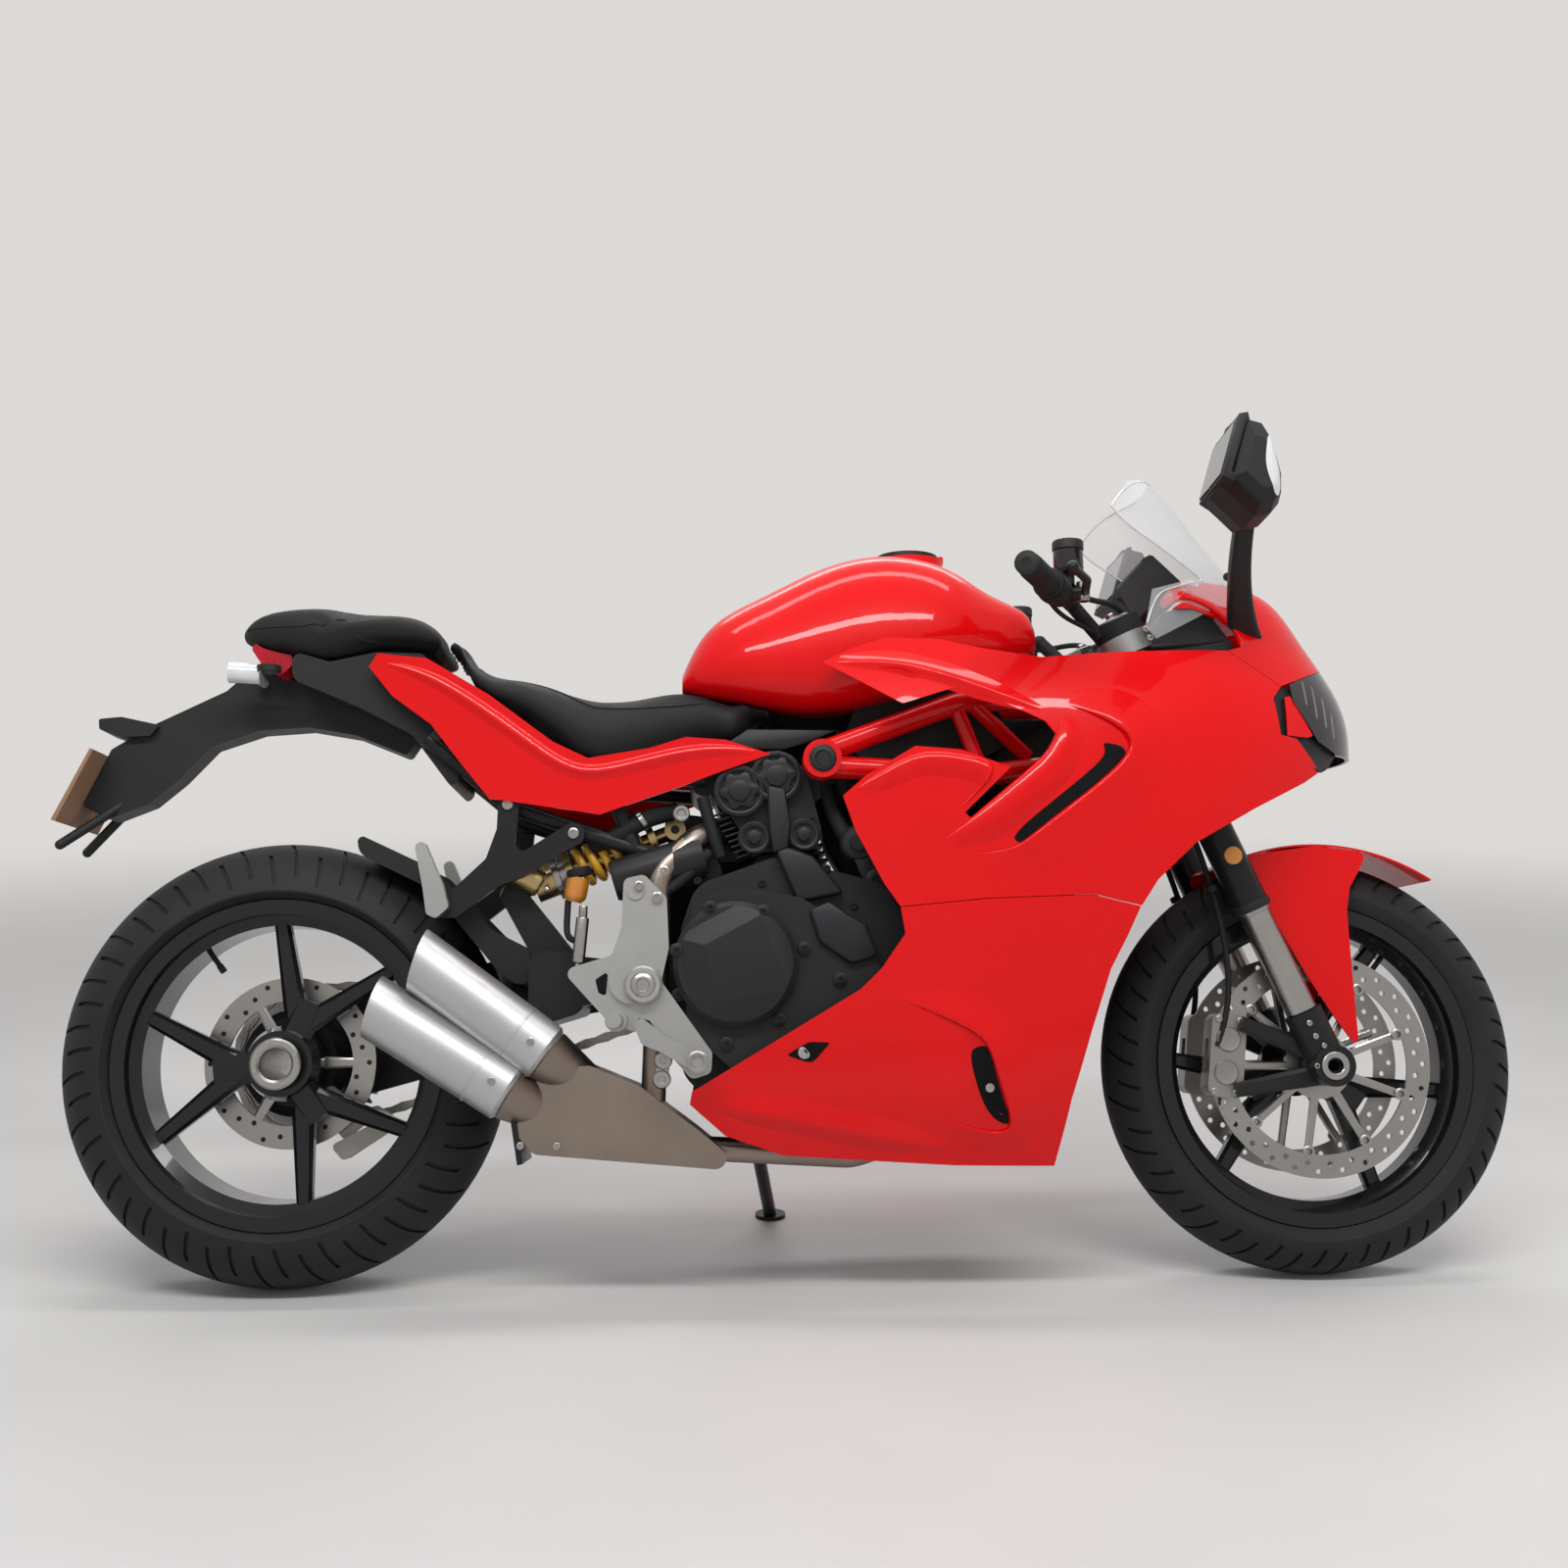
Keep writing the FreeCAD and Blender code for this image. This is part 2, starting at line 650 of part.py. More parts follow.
def caliper_outline(half_length, half_depth, y_low, y_high, radius):
    centre, outward, tangent = caliper_frame()
    corners = []
    for u, v in ((1, 1), (1, -1), (-1, -1), (-1, 1)):
        spot = centre + tangent * (u * half_length) + outward * (v * half_depth)
        corners.append(vec(spot.x, y_low, spot.z))
    return Part.Face(path_wire(corners, radius, True)).extrude(vec(0, y_high - y_low, 0))


def make_fork_feet():
    """Bottom castings with the caliper arms, and the hollow axle through them."""
    feet = []
    centre, outward, tangent = caliper_frame()
    for side in (1, -1):
        y = side * fork_half_spacing
        socket = bar(steered(axle_along, fork_offset, y), steered(fork_foot_top, fork_offset, y),
                     fork_foot_radius)
        socket = socket.cut(bar(steered(fork_foot_top - overrun, fork_offset, y),
                                steered(fork_foot_top + overrun, fork_offset, y), stanchion_radius))
        ends = sorted((side * (fork_half_spacing - fork_foot_radius - rest_gap), side * axle_boss_end))
        boss = cross_cylinder(front_axle, axle_boss_radius, *ends)
        pieces = [socket, boss]
        for along_side in (1, -1):
            tip = centre + tangent * (along_side * caliper_length * 0.4) - outward * (caliper_depth * 0.25)
            start = front_axle + tangent * (along_side * axle_boss_radius * 0.4)
            shift = vec(0, side * (caliper_outer_face() + rest_gap + caliper_arm_thickness / 2), 0)
            pieces.append(beam(vec(start.x, 0, start.z) + shift, vec(tip.x, 0, tip.z) + shift,
                               (caliper_arm_width * 1.5, caliper_arm_width),
                               (caliper_arm_thickness, caliper_arm_thickness)))
        feet.append(fused(pieces))
    axle = cross_cylinder(front_axle, front_axle_radius, -axle_boss_end + flange_thickness,
                          axle_boss_end - flange_thickness)
    spacers = []
    for side in (1, -1):
        ends = sorted((side * (front_hub_half_width + rest_gap),
                       side * (fork_half_spacing - fork_foot_radius)))
        spacers.append(cross_cylinder(front_axle, front_axle_radius * 1.5, *ends))
    whole = fused(feet + spacers + [axle])
    tunnel = cross_cylinder(front_axle, front_axle_bore, -body_half_width, body_half_width)
    recess = Part.makeCompound([
        cross_cylinder(front_axle, front_axle_radius, axle_boss_end - flange_thickness, body_half_width),
        cross_cylinder(front_axle, front_axle_radius, -body_half_width, -axle_boss_end + flange_thickness)])
    return whole.cut(tunnel).cut(recess)


def disc_mid():
    """Middle plane of the left front disc's friction band."""
    return front_hub_half_width + rest_gap + 1.5 * front_disc_thickness


def caliper_outer_face():
    return disc_mid() + caliper_half_thickness / 2


def make_front_calipers():
    """Four-piston calipers that straddle the discs."""
    mid = disc_mid()
    slot_low = front_hub_half_width + rest_gap - moving_gap
    slot_high = mid + front_disc_thickness / 2 + moving_gap
    body = caliper_outline(caliper_length / 2, caliper_depth / 2, mid - caliper_half_thickness / 2,
                           mid + caliper_half_thickness / 2, flange_thickness * 2)
    slot = cross_cylinder(front_axle, front_disc_radius + moving_gap, slot_low, slot_high)
    return both_sides(body.cut(slot))


def make_triple_clamps():
    """Lower and upper clamps on the hollow steering stem."""
    pieces = []
    for bottom, reach in ((lower_clamp_bottom, 1.0), (upper_clamp_bottom, 0.9)):
        top = bottom + clamp_thickness
        corners = [(-stem_radius * 2, -stem_radius * 1.6), (-stem_radius * 2, stem_radius * 1.6),
                   (fork_offset - fork_tube_radius, fork_half_spacing * 0.8 * reach),
                   (fork_offset - fork_tube_radius, fork_half_spacing + clamp_wall),
                   (fork_offset + fork_tube_radius, fork_half_spacing + clamp_wall),
                   (fork_offset + fork_tube_radius * 0.9, stem_radius * 3), (fork_offset * 0.8, 0)]
        corners += [(x, -y) for x, y in reversed(corners[2:6])]
        wire = path_wire([steered(bottom, x, y) for x, y in corners], stem_radius, True)
        web = Part.Face(wire).extrude(steering_turn.multVec(vec(0, 0, top - bottom)))
        pieces.append(web)
        for side in (-1, 1):
            y = side * fork_half_spacing
            pieces.append(bar(steered(bottom, fork_offset, y), steered(top, fork_offset, y),
                              fork_tube_radius + clamp_wall))
    pieces.append(bar(steered(lower_clamp_bottom, 0), steered(upper_clamp_bottom + clamp_thickness, 0),
                      stem_radius))
    pieces.append(bar(steered(upper_clamp_bottom + clamp_thickness, 0),
                      steered(upper_clamp_bottom + clamp_thickness + flange_thickness, 0), stem_radius * 1.4))
    cuts = []
    for side in (-1, 1):
        y = side * fork_half_spacing
        cuts.append(bar(steered(lower_clamp_bottom - overrun, fork_offset, y),
                        steered(upper_clamp_bottom + overrun * 3, fork_offset, y), fork_tube_radius))
    cuts.append(bar(steered(lower_clamp_bottom - overrun, 0), steered(upper_clamp_bottom + overrun * 4, 0),
                    stem_radius - head_tube_wall))
    return fused(pieces).cut(Part.makeCompound(cuts))


bar_start_shares = (0.763, -0.533, 0.962)
bar_end_shares = (0.694, -1.5, 0.96)


def bar_point(share):
    """Point on the right bar, from its clamp (0) to its end (1)."""
    start, end = [at(x, z, across(y)) for x, y, z in (bar_start_shares, bar_end_shares)]
    return start + (end - start) * share


def make_handlebars():
    """Clip-on bars with grips, switch pods and end weights, one solid a side."""
    y = -fork_half_spacing
    ring_low = upper_clamp_bottom + clamp_thickness + rest_gap
    ring = bar(steered(ring_low, fork_offset, y), steered(fork_tube_top, fork_offset, y),
               fork_tube_radius + clamp_wall)
    bore = bar(steered(ring_low - overrun, fork_offset, y), steered(fork_tube_top + overrun, fork_offset, y),
               fork_tube_radius)
    run = (bar_point(1) - bar_point(0)).Length
    ring_back = steered((ring_low + fork_tube_top) / 2, fork_offset - fork_tube_radius - clamp_wall / 2,
                        y - clamp_wall)
    neck = bar(ring_back, bar_point(0), bar_radius * 0.95)
    rod = bar(bar_point(0), bar_point(1), bar_radius)
    knee = Part.makeSphere(bar_radius, bar_point(0))
    grip_start = bar_point(1 - grip_length / run)
    grip = bar(grip_start, bar_point(1), grip_radius)
    weight = bar(bar_point(1), bar_point(1 + bar_end_radius / run), bar_end_radius)
    pod = bar(bar_point(1 - (grip_length + 2 * pod_radius) / run), grip_start, pod_radius)
    return both_sides(fused([ring, neck, knee, rod, grip, weight, pod]).cut(bore))


def make_control_levers():
    """Lever perches round the bars with their levers and fluid pots."""
    run = (bar_point(1) - bar_point(0)).Length
    inner = 1 - (grip_length + 2 * pod_radius + rest_gap) / run
    start, end = bar_point(inner - 2 * bar_radius / run), bar_point(inner)
    clamp = bar(start, end, bar_radius * 1.7)
    ahead = vec(1, 0, 0)
    spot = (start + end) * 0.5
    pump = bar(spot + ahead * bar_radius + vec(0, bar_radius, 0), spot + ahead * (bar_radius * 3.4),
               bar_radius * 1.1)
    pot_foot = spot + ahead * (bar_radius * 1.4) + vec(0, 0, bar_radius)
    pot_bottom = pot_foot + vec(0, 0, bar_radius * 1.6)
    pot = bar(pot_bottom, pot_bottom + vec(0, 0, reservoir_height), reservoir_radius)
    post = bar(pot_foot, pot_foot + vec(0, 0, bar_radius * 2), bar_radius * 0.7)
    pivot = spot + ahead * (bar_radius * 3.4)
    tip = bar_point(1 - bar_radius / run) + ahead * (bar_radius * 5)
    lever = tube([pivot, pivot * 0.5 + tip * 0.5 + ahead * bar_radius, tip], lever_radius)
    ball = Part.makeSphere(lever_radius * 1.4, tip)
    levers = fused([clamp, pump, pot, post, lever, ball])
    levers = levers.cut(bar(bar_point(0), bar_point(1), bar_radius + rest_gap))
    return both_sides(levers)


def make_front_fender():
    """Close fender with side cheeks that reach down ahead of the fork feet."""
    radius = front_tyre_radius + fender_clearance
    shell = turned([(radius, -fender_half_width), (radius + fender_wall, -fender_half_width),
                    (radius + fender_wall, fender_half_width), (radius, fender_half_width)], front_axle)
    shell = shell.common(plate(fender_sector_shares, -body_half_width, body_half_width))
    inner = fender_half_width - fender_wall
    cheek = plate(fender_cheek_shares, inner, inner + fender_wall, bend_radius / 3)
    return fused([shell, cheek, mirrored(cheek)])


fender_sector_shares = [(1.0, 0.301), (0.873, 0.69), (1.001, 0.72), (1.15, 0.64)]
fender_cheek_shares = [(0.905, 0.572), (0.91, 0.592), (0.95, 0.606), (1.004, 0.616), (1.055, 0.606),
                       (1.045, 0.578), (1.036, 0.555), (1.032, 0.52), (1.035, 0.4), (1.037, 0.337),
                       (1.032, 0.332), (1.013, 0.372), (0.988, 0.432), (0.955, 0.522)]


# Frame and engine

def make_frame_trellis():
    """Tubular front frame from the engine lugs to the steering head."""
    tubes = []
    for side in (-1, 1):
        lug = at(0.516, 0.733, side * across(0.625))
        top = [at(0.516, 0.744, side * across(0.625)), at(0.65, 0.818, side * across(0.571)),
               steered(head_top - head_tube_radius, 0, side * head_tube_radius * 0.5)]
        low = [at(0.516, 0.724, side * across(0.625)), at(0.67, 0.712, side * across(0.583)),
               steered(head_bottom + head_tube_radius, 0, side * head_tube_radius * 0.5)]
        tubes += [tube(top, frame_tube_radius), tube(low, frame_tube_radius)]
        tubes.append(cross_cylinder(lug, frame_tube_radius * 1.7, *sorted((side * across(0.55),
                                                                           side * across(0.708)))))
        tubes.append(bar(at(0.646, 0.812, side * across(0.571)), at(0.67, 0.716, side * across(0.583)),
                         brace_radius))
        tubes.append(bar(at(0.66, 0.818, side * across(0.55)), at(0.719, 0.745, side * across(0.404)),
                         brace_radius))
    tubes.append(bar(at(0.666, 0.712, -across(0.583)), at(0.666, 0.712, across(0.583)), brace_radius))
    tubes.append(bar(steered(head_bottom, 0), steered(head_top, 0), head_tube_radius))
    frame = fused(tubes)
    return frame.cut(bar(steered(head_bottom, 0), steered(head_top, 0), head_tube_radius - head_tube_wall))


head_bottom = lower_clamp_bottom + clamp_thickness + rest_gap
head_top = upper_clamp_bottom - rest_gap


def make_subframe():
    """Rear frame: a lower strut and a seat rail on each side, tied across."""
    tubes = []
    for side in (-1, 1):
        strut = [at(0.406, 0.582, side * across(0.383)), at(0.338, 0.613, side * across(0.433)),
                 at(0.219, 0.674, side * across(0.433)), at(0.139, 0.772, side * across(0.417))]
        rail = [at(0.405, 0.712, side * across(0.433)), at(0.308, 0.722, side * across(0.433)),
                at(0.223, 0.78, side * across(0.433)), at(0.139, 0.848, side * across(0.408))]
        brace = [at(0.338, 0.613, side * across(0.433)), at(0.308, 0.722, side * across(0.433))]
        tubes += [tube(strut, subframe_radius), tube(rail, subframe_radius)]
        tubes.append(bar(brace[0], brace[1], subframe_radius))
        for x, z in bracket_bolt_shares:
            tubes.append(cross_cylinder(at(x, z), subframe_radius * 1.2,
                                        *sorted((side * across(0.408), side * bracket_inner))))
        tubes.append(Part.makeSphere(subframe_radius, at(0.139, 0.848, side * across(0.408))))
        for x, z, reach in panel_boss_shares:
            tubes.append(cross_cylinder(at(x, z), panel_boss_radius, *sorted((side * across(0.433),
                                                                              side * across(reach)))))
    for x_share, z_share in ((0.223, 0.78), (0.308, 0.722)):
        tubes.append(bar(at(x_share, z_share, -across(0.433)), at(x_share, z_share, across(0.433)),
                         subframe_radius * 0.9))
    return fused(tubes)


bracket_bolt_shares = [(0.219, 0.674), (0.281, 0.633)]
panel_boss_shares = [(0.223, 0.782, 0.569), (0.308, 0.722, 0.583)]
panel_boss_radius = 7.0
bracket_inner = across(0.492)
bracket_thickness = 12.0
crank_centre = at(0.509, 0.455)
rear_head = at(0.452, 0.728)
front_head = at(0.685, 0.551)


def engine_block(end, near, far, width, half_depth):
    """Finned block along a cylinder axis, between two shares of its length."""
    start = crank_centre + (end - crank_centre) * near
    stop = crank_centre + (end - crank_centre) * far
    return beam(start, stop, (width, width), (half_depth * 2, half_depth * 2))


def make_engine():
    """V-twin crankcase, two finned cylinders with heads, and the swingarm lug."""
    case = plate(crankcase_shares, -case_half_width, case_half_width, bend_radius)
    sump = plate(sump_shares, -case_half_width * 0.6, case_half_width * 0.6, bend_radius / 2)
    lug = cross_cylinder(swingarm_pivot, pivot_boss_radius + flange_thickness, -engine_lug_half_width,
                         engine_lug_half_width)
    link = plate(pivot_link_shares, -engine_lug_half_width, engine_lug_half_width)
    pieces = [case, sump, lug, link]
    for end in (rear_head, front_head):
        pieces.append(engine_block(end, 0.3, 0.66, cylinder_width, cylinder_half_depth))
        pieces.append(engine_block(end, 0.66, 1.0, head_width, head_half_depth))
        for fin in range(fin_count):
            near = 0.38 + 0.04 * fin
            pieces.append(engine_block(end, near, near + 0.016, head_width * 1.03, head_half_depth * 1.03))
    for side in (-1, 1):
        spot = at(0.516, 0.733)
        pieces.append(cross_cylinder(spot, frame_tube_radius, *sorted((0, side * (across(0.55) - rest_gap)))))
    pieces.append(plate(frame_lug_shares, -head_half_depth, head_half_depth, flange_thickness))
    strut_lug = across(0.383) - subframe_radius - rest_gap
    rail_lug = across(0.433) - subframe_radius - rest_gap
    pieces.append(cross_cylinder(at(0.406, 0.582), subframe_lug_radius, -strut_lug, strut_lug))
    pieces.append(cross_cylinder(at(0.405, 0.712), subframe_lug_radius, -rail_lug, rail_lug))
    pieces += shock_mount() + stand_mount()
    case = fused(pieces)
    return case.cut(cross_cylinder(swingarm_pivot, pivot_pin_radius + rest_gap,
                                   -body_half_width, body_half_width))


case_half_width = 128.0
cylinder_width = 112.0
cylinder_half_depth = 66.0
head_width = 128.0
head_half_depth = 92.0
fin_count = 6
subframe_lug_radius = 22.0
crankcase_shares = [(0.382, 0.3), (0.426, 0.232), (0.535, 0.225), (0.583, 0.285), (0.612, 0.38),
                    (0.609, 0.47), (0.575, 0.56), (0.474, 0.6), (0.396, 0.56), (0.382, 0.5)]
sump_shares = [(0.419, 0.24), (0.447, 0.205), (0.535, 0.205), (0.562, 0.26)]
pivot_link_shares = [(0.338, 0.465), (0.392, 0.49), (0.392, 0.38), (0.338, 0.393)]
frame_lug_shares = [(0.467, 0.7), (0.524, 0.755), (0.535, 0.72), (0.521, 0.69), (0.474, 0.65)]


def make_engine_covers():
    """Clutch, belt and alternator covers on the engine's sides."""
    case = case_half_width + rest_gap
    clutch = cross_cylinder(clutch_centre, clutch_radius, -case - clutch_depth, -case)
    clutch = clutch.makeChamfer(flange_thickness, [clutch.Edges[i] for i in far_edges(clutch, -1)])
    lobe = plate(clutch_case_shares, -case - clutch_depth * 0.55, -case, bend_radius / 2)
    right = fused([clutch, lobe])
    belts = []
    outer = -head_half_depth * 1.03 - rest_gap
    block = plate(crankcase_shares, -2 * body_half_width, 2 * body_half_width, bend_radius)
    for shares, caps in ((rear_belt_shares, rear_cap_shares), (front_belt_shares, front_cap_shares)):
        cover = plate(shares, outer - belt_cover_depth, outer, flange_thickness)
        caps_end = outer - belt_cover_depth * 1.6
        discs = [cross_cylinder(at(x, z), radius, caps_end, outer) for x, z, radius in caps]
        belts.append(fused([cover] + discs).cut(block))
    alternator = cross_cylinder(clutch_centre + vec(clutch_radius * 0.85, 0, 0), clutch_radius * 0.85, case,
                                case + clutch_depth * 0.8)
    return Part.makeCompound([right] + belts + [alternator])


def far_edges(shape, side):
    """Round edges of a cylinder along Y at its outer end."""
    limit = max(side * edge.CenterOfMass.y for edge in shape.Edges) - rest_gap
    return [i for i, edge in enumerate(shape.Edges) if side * edge.CenterOfMass.y > limit and edge.Closed]


clutch_centre = at(0.433, 0.448)
clutch_radius = 86.0
clutch_depth = 48.0
belt_cover_depth = 22.0
cam_cap_radius = 33.0
pulley_cap_radius = 20.0
clutch_case_shares = [(0.387, 0.47), (0.394, 0.54), (0.433, 0.556), (0.494, 0.54), (0.541, 0.5),
                      (0.575, 0.43), (0.562, 0.33), (0.514, 0.29), (0.433, 0.3), (0.387, 0.36)]
rear_belt_shares = [(0.452, 0.606), (0.414, 0.694), (0.421, 0.728), (0.467, 0.752), (0.501, 0.728),
                    (0.516, 0.64), (0.512, 0.61)]
front_belt_shares = [(0.541, 0.54), (0.551, 0.47), (0.612, 0.48), (0.683, 0.52), (0.682, 0.6),
                     (0.609, 0.56)]
rear_cap_shares = [(0.438, 0.692, cam_cap_radius), (0.474, 0.713, cam_cap_radius),
                   (0.452, 0.626, pulley_cap_radius), (0.499, 0.63, pulley_cap_radius)]
front_cap_shares = [(0.662, 0.57, cam_cap_radius * 0.8), (0.655, 0.52, cam_cap_radius * 0.8)]


def make_front_sprocket():
    """Drive sprocket on the gearbox shaft, inside the chain."""
    wheel = sprocket(front_sprocket, front_teeth)
    shaft = cross_cylinder(front_sprocket, pivot_pin_radius, case_half_width + rest_gap,
                           chain_line + chain_width)
    return fused([wheel, shaft])


plate_inner = across(0.654)
plate_thickness = 9.0


def make_footrest_plates():
    """Cast plates that carry the rider's footrests."""
    plates = []
    for side, boss_radius in ((-1, pivot_boss_radius * 1.2), (1, pivot_boss_radius * 0.85)):
        low, high = sorted((side * plate_inner, side * (plate_inner + plate_thickness)))
        body = plate(footrest_plate_shares, low, high, flange_thickness * 1.5)
        holes = []
        for shares in (plate_window_shares, plate_slot_shares):
            holes.append(plate(shares, low - overrun, high + overrun, flange_thickness / 2))
        boss = cross_cylinder(swingarm_pivot, boss_radius, *sorted((side * plate_inner, side * (
            plate_inner + plate_thickness * 1.8))))
        top = cross_cylinder(at(0.34, 0.548), flange_thickness * 1.6, *sorted((side * across(0.467), side * (
            plate_inner + plate_thickness * 1.3))))
        plates.append(fused([body.cut(Part.makeCompound(holes)), boss, top]))
    return Part.makeCompound(plates)


footrest_plate_shares = [(0.329, 0.566), (0.348, 0.572), (0.369, 0.54), (0.371, 0.47), (0.364, 0.425),
                         (0.411, 0.328), (0.41, 0.3), (0.392, 0.292), (0.357, 0.35), (0.318, 0.366),
                         (0.272, 0.441), (0.318, 0.461), (0.327, 0.5)]
plate_window_shares = [(0.303, 0.428), (0.315, 0.44), (0.313, 0.405), (0.306, 0.41)]
plate_slot_shares = [(0.338, 0.378), (0.353, 0.372), (0.365, 0.35), (0.355, 0.352)]


def make_footrests():
    """Rider's folding pegs, and the pillion's pegs on their hangers."""
    pegs = []
    start = plate_inner + plate_thickness + rest_gap
    for side in (-1, 1):
        spot = at(0.323, 0.372)
        hinge = bar(spot + vec(0, side * start, 0), spot + vec(0, side * (start + peg_radius * 2.4), 0),
                    peg_radius * 1.5)
        peg = bar(spot + vec(0, side * (start + peg_radius * 2), 0),
                  spot + vec(0, side * (start + peg_length), 0), peg_radius)
        pegs.append(fused([hinge, peg]))
        low, high = sorted((side * (bracket_inner + bracket_thickness + rest_gap),
                            side * (bracket_inner + bracket_thickness + peg_radius * 2)))
        back = plate(pillion_peg_shares, low, high, flange_thickness)
        pegs.append(back)
    return Part.makeCompound(pegs)


peg_radius = 10.0
peg_length = 82.0
pillion_peg_shares = [(0.133, 0.616), (0.142, 0.622), (0.16, 0.56), (0.166, 0.53), (0.154, 0.514),
                      (0.145, 0.52), (0.141, 0.56)]


def make_foot_levers():
    """Brake pedal on the right and shift pedal on the left, outside the plates."""
    levers = []
    start = plate_inner + plate_thickness + rest_gap
    for side in (-1, 1):
        low, high = sorted((side * start, side * (start + lever_radius * 1.4)))
        blade = plate(pedal_shares, low, high, lever_radius)
        toe = bar(at(0.399, 0.316, side * start), at(0.399, 0.316, side * (start + lever_radius * 7)),
                  lever_radius * 1.8)
        levers.append(fused([blade, toe]))
    return Part.makeCompound(levers)


pedal_shares = [(0.338, 0.368), (0.346, 0.376), (0.369, 0.35), (0.396, 0.332), (0.406, 0.322),
                (0.403, 0.306), (0.391, 0.306), (0.365, 0.328), (0.346, 0.34)]


def make_passenger_brackets():
    """Forked hangers for the pillion's footrests."""
    hanger = plate(bracket_shares, bracket_inner + rest_gap, bracket_inner + bracket_thickness,
                   flange_thickness * 1.2)
    return both_sides(hanger)


bracket_shares = [(0.209, 0.678), (0.219, 0.69), (0.229, 0.676), (0.225, 0.62), (0.231, 0.606),
                  (0.279, 0.65), (0.291, 0.64), (0.29, 0.624), (0.233, 0.572), (0.21, 0.56), (0.171, 0.516),
                  (0.154, 0.516), (0.152, 0.534), (0.198, 0.598), (0.208, 0.64)]


# Engine bay

def make_radiator():
    """Water radiator and the oil cooler under it."""
    core = plate(radiator_shares, -across(0.675), across(0.675), flange_thickness)
    frame_cut = plate(radiator_recess_shares, -across(0.608), across(0.608))
    cooler = plate(cooler_shares, -across(0.438), across(0.438), flange_thickness / 2)
    stays = []
    for side in (-1, 1):
        foot = at(0.735, 0.63, side * across(0.375))
        stays.append(bar(foot, foot + vec(0, 0, radiator_stay_length), radiator_stay_radius))
        middle = side * across(0.333)
        stays.append(plate(cooler_link_shares, middle - radiator_stay_radius, middle + radiator_stay_radius))
        for x, z, near, far in fairing_stay_shares:
            stays.append(bar(at(x, z, side * across(near)), at(x, z, side * across(far)),
                             radiator_stay_radius))
    return fused([core.cut(frame_cut), cooler] + stays)


radiator_shares = [(0.723, 0.64), (0.748, 0.632), (0.759, 0.404), (0.733, 0.4)]
radiator_recess_shares = [(0.743, 0.616), (0.765, 0.616), (0.771, 0.42), (0.751, 0.42)]
cooler_shares = [(0.704, 0.375), (0.724, 0.372), (0.72, 0.262), (0.701, 0.262)]
cooler_link_shares = [(0.706, 0.366), (0.736, 0.416), (0.75, 0.416), (0.723, 0.36)]
fairing_stay_shares = [(0.736, 0.62, 0.625, 0.996), (0.712, 0.312, 0.396, 0.865)]
radiator_stay_length = 96.0
radiator_stay_radius = 7.0


def make_airbox():
    """Air filter box that the tank rests on."""
    return plate(airbox_shares, -across(0.367), across(0.367), bend_radius / 2)


airbox_shares = [(0.541, 0.775), (0.555, 0.83), (0.609, 0.85), (0.65, 0.862), (0.683, 0.84), (0.708, 0.77),
                 (0.677, 0.745), (0.555, 0.745)]


def make_shock():
    """Damper body with its reservoir; the spring is a node of its own."""
    axis = shock_front - shock_rear
    start = shock_rear + vec(0, shock_y, 0)
    end = shock_front + vec(0, shock_y, 0)
    run = (end - start).normalize()
    length = (end - start).Length
    body = bar(start + run * (length * 0.14), start + run * (length * 0.34), damper_radius)
    rod = bar(start, end, damper_radius * 0.45)
    seat = bar(start + run * (length * 0.34), start + run * (length * 0.38), damper_radius * 1.28)
    far_seat = bar(start + run * (length * 0.84), start + run * (length * 0.88), damper_radius * 1.28)
    eyes, holes = [], []
    for spot in (shock_rear, shock_front):
        low, high = shock_y - shock_eye_half_width, shock_y + shock_eye_half_width
        eyes.append(cross_cylinder(spot, damper_radius * 0.6, low, high))
        holes.append(cross_cylinder(spot, shock_pin_radius + rest_gap, low - overrun, high + overrun))
    return fused([body, rod, seat, far_seat] + eyes).cut(Part.makeCompound(holes))


damper_radius = 25.0
spring_wire = 6.5
spring_turns = 6


def make_shock_spring():
    start = shock_rear + vec(0, shock_y, 0)
    run = (shock_front - shock_rear).normalize()
    length = (shock_front - shock_rear).Length
    first = length * 0.38 + spring_wire + rest_gap
    last = length * 0.84 - spring_wire - rest_gap
    mean = damper_radius * 1.28 - spring_wire
    helix = Part.makeHelix((last - first) / spring_turns, last - first, mean)
    section = Part.Wire(Part.Circle(vec(mean, 0, 0), vec(0, 1, 0), spring_wire).toShape())
    coil = Part.Wire(helix).makePipeShell([section], True, True)
    turn = FreeCAD.Rotation(vec(0, 0, 1), run)
    coil.Placement = FreeCAD.Placement(start + run * first, turn)
    return coil


def shock_mount():
    """Lug and pin on the engine that hold the front eye of the damper."""
    low, high = shock_ear_sides()[1]
    pin = cross_cylinder(shock_front, shock_pin_radius, shock_y - shock_eye_half_width, high)
    return [plate(shock_mount_shares, low, high, flange_thickness), pin]


shock_mount_shares = [(0.369, 0.625), (0.365, 0.66), (0.387, 0.666), (0.433, 0.66), (0.44, 0.6),
                      (0.406, 0.6)]


# Seats and tank

def body_loft(stations, section_points):
    """Loft along X; each station is x, bottom and top as shares, and a half width share."""
    wires = []
    for x, low, high, width in stations:
        low_z, high_z = low * body_height, high * body_height
        half = across(width)
        curve = Part.BSplineCurve()
        points = []
        for u, v in section_points:
            points.append(vec(x * wheelbase, u * half, low_z + v * (high_z - low_z)))
        curve.interpolate(points, PeriodicFlag=True)
        wires.append(Part.Wire(curve.toShape()))
    return lofted(wires)


def symmetric(shares):
    """Closed outline from its right half, given from the top round to the bottom."""
    return shares + [(-u, v) for u, v in reversed(shares[1:-1])]


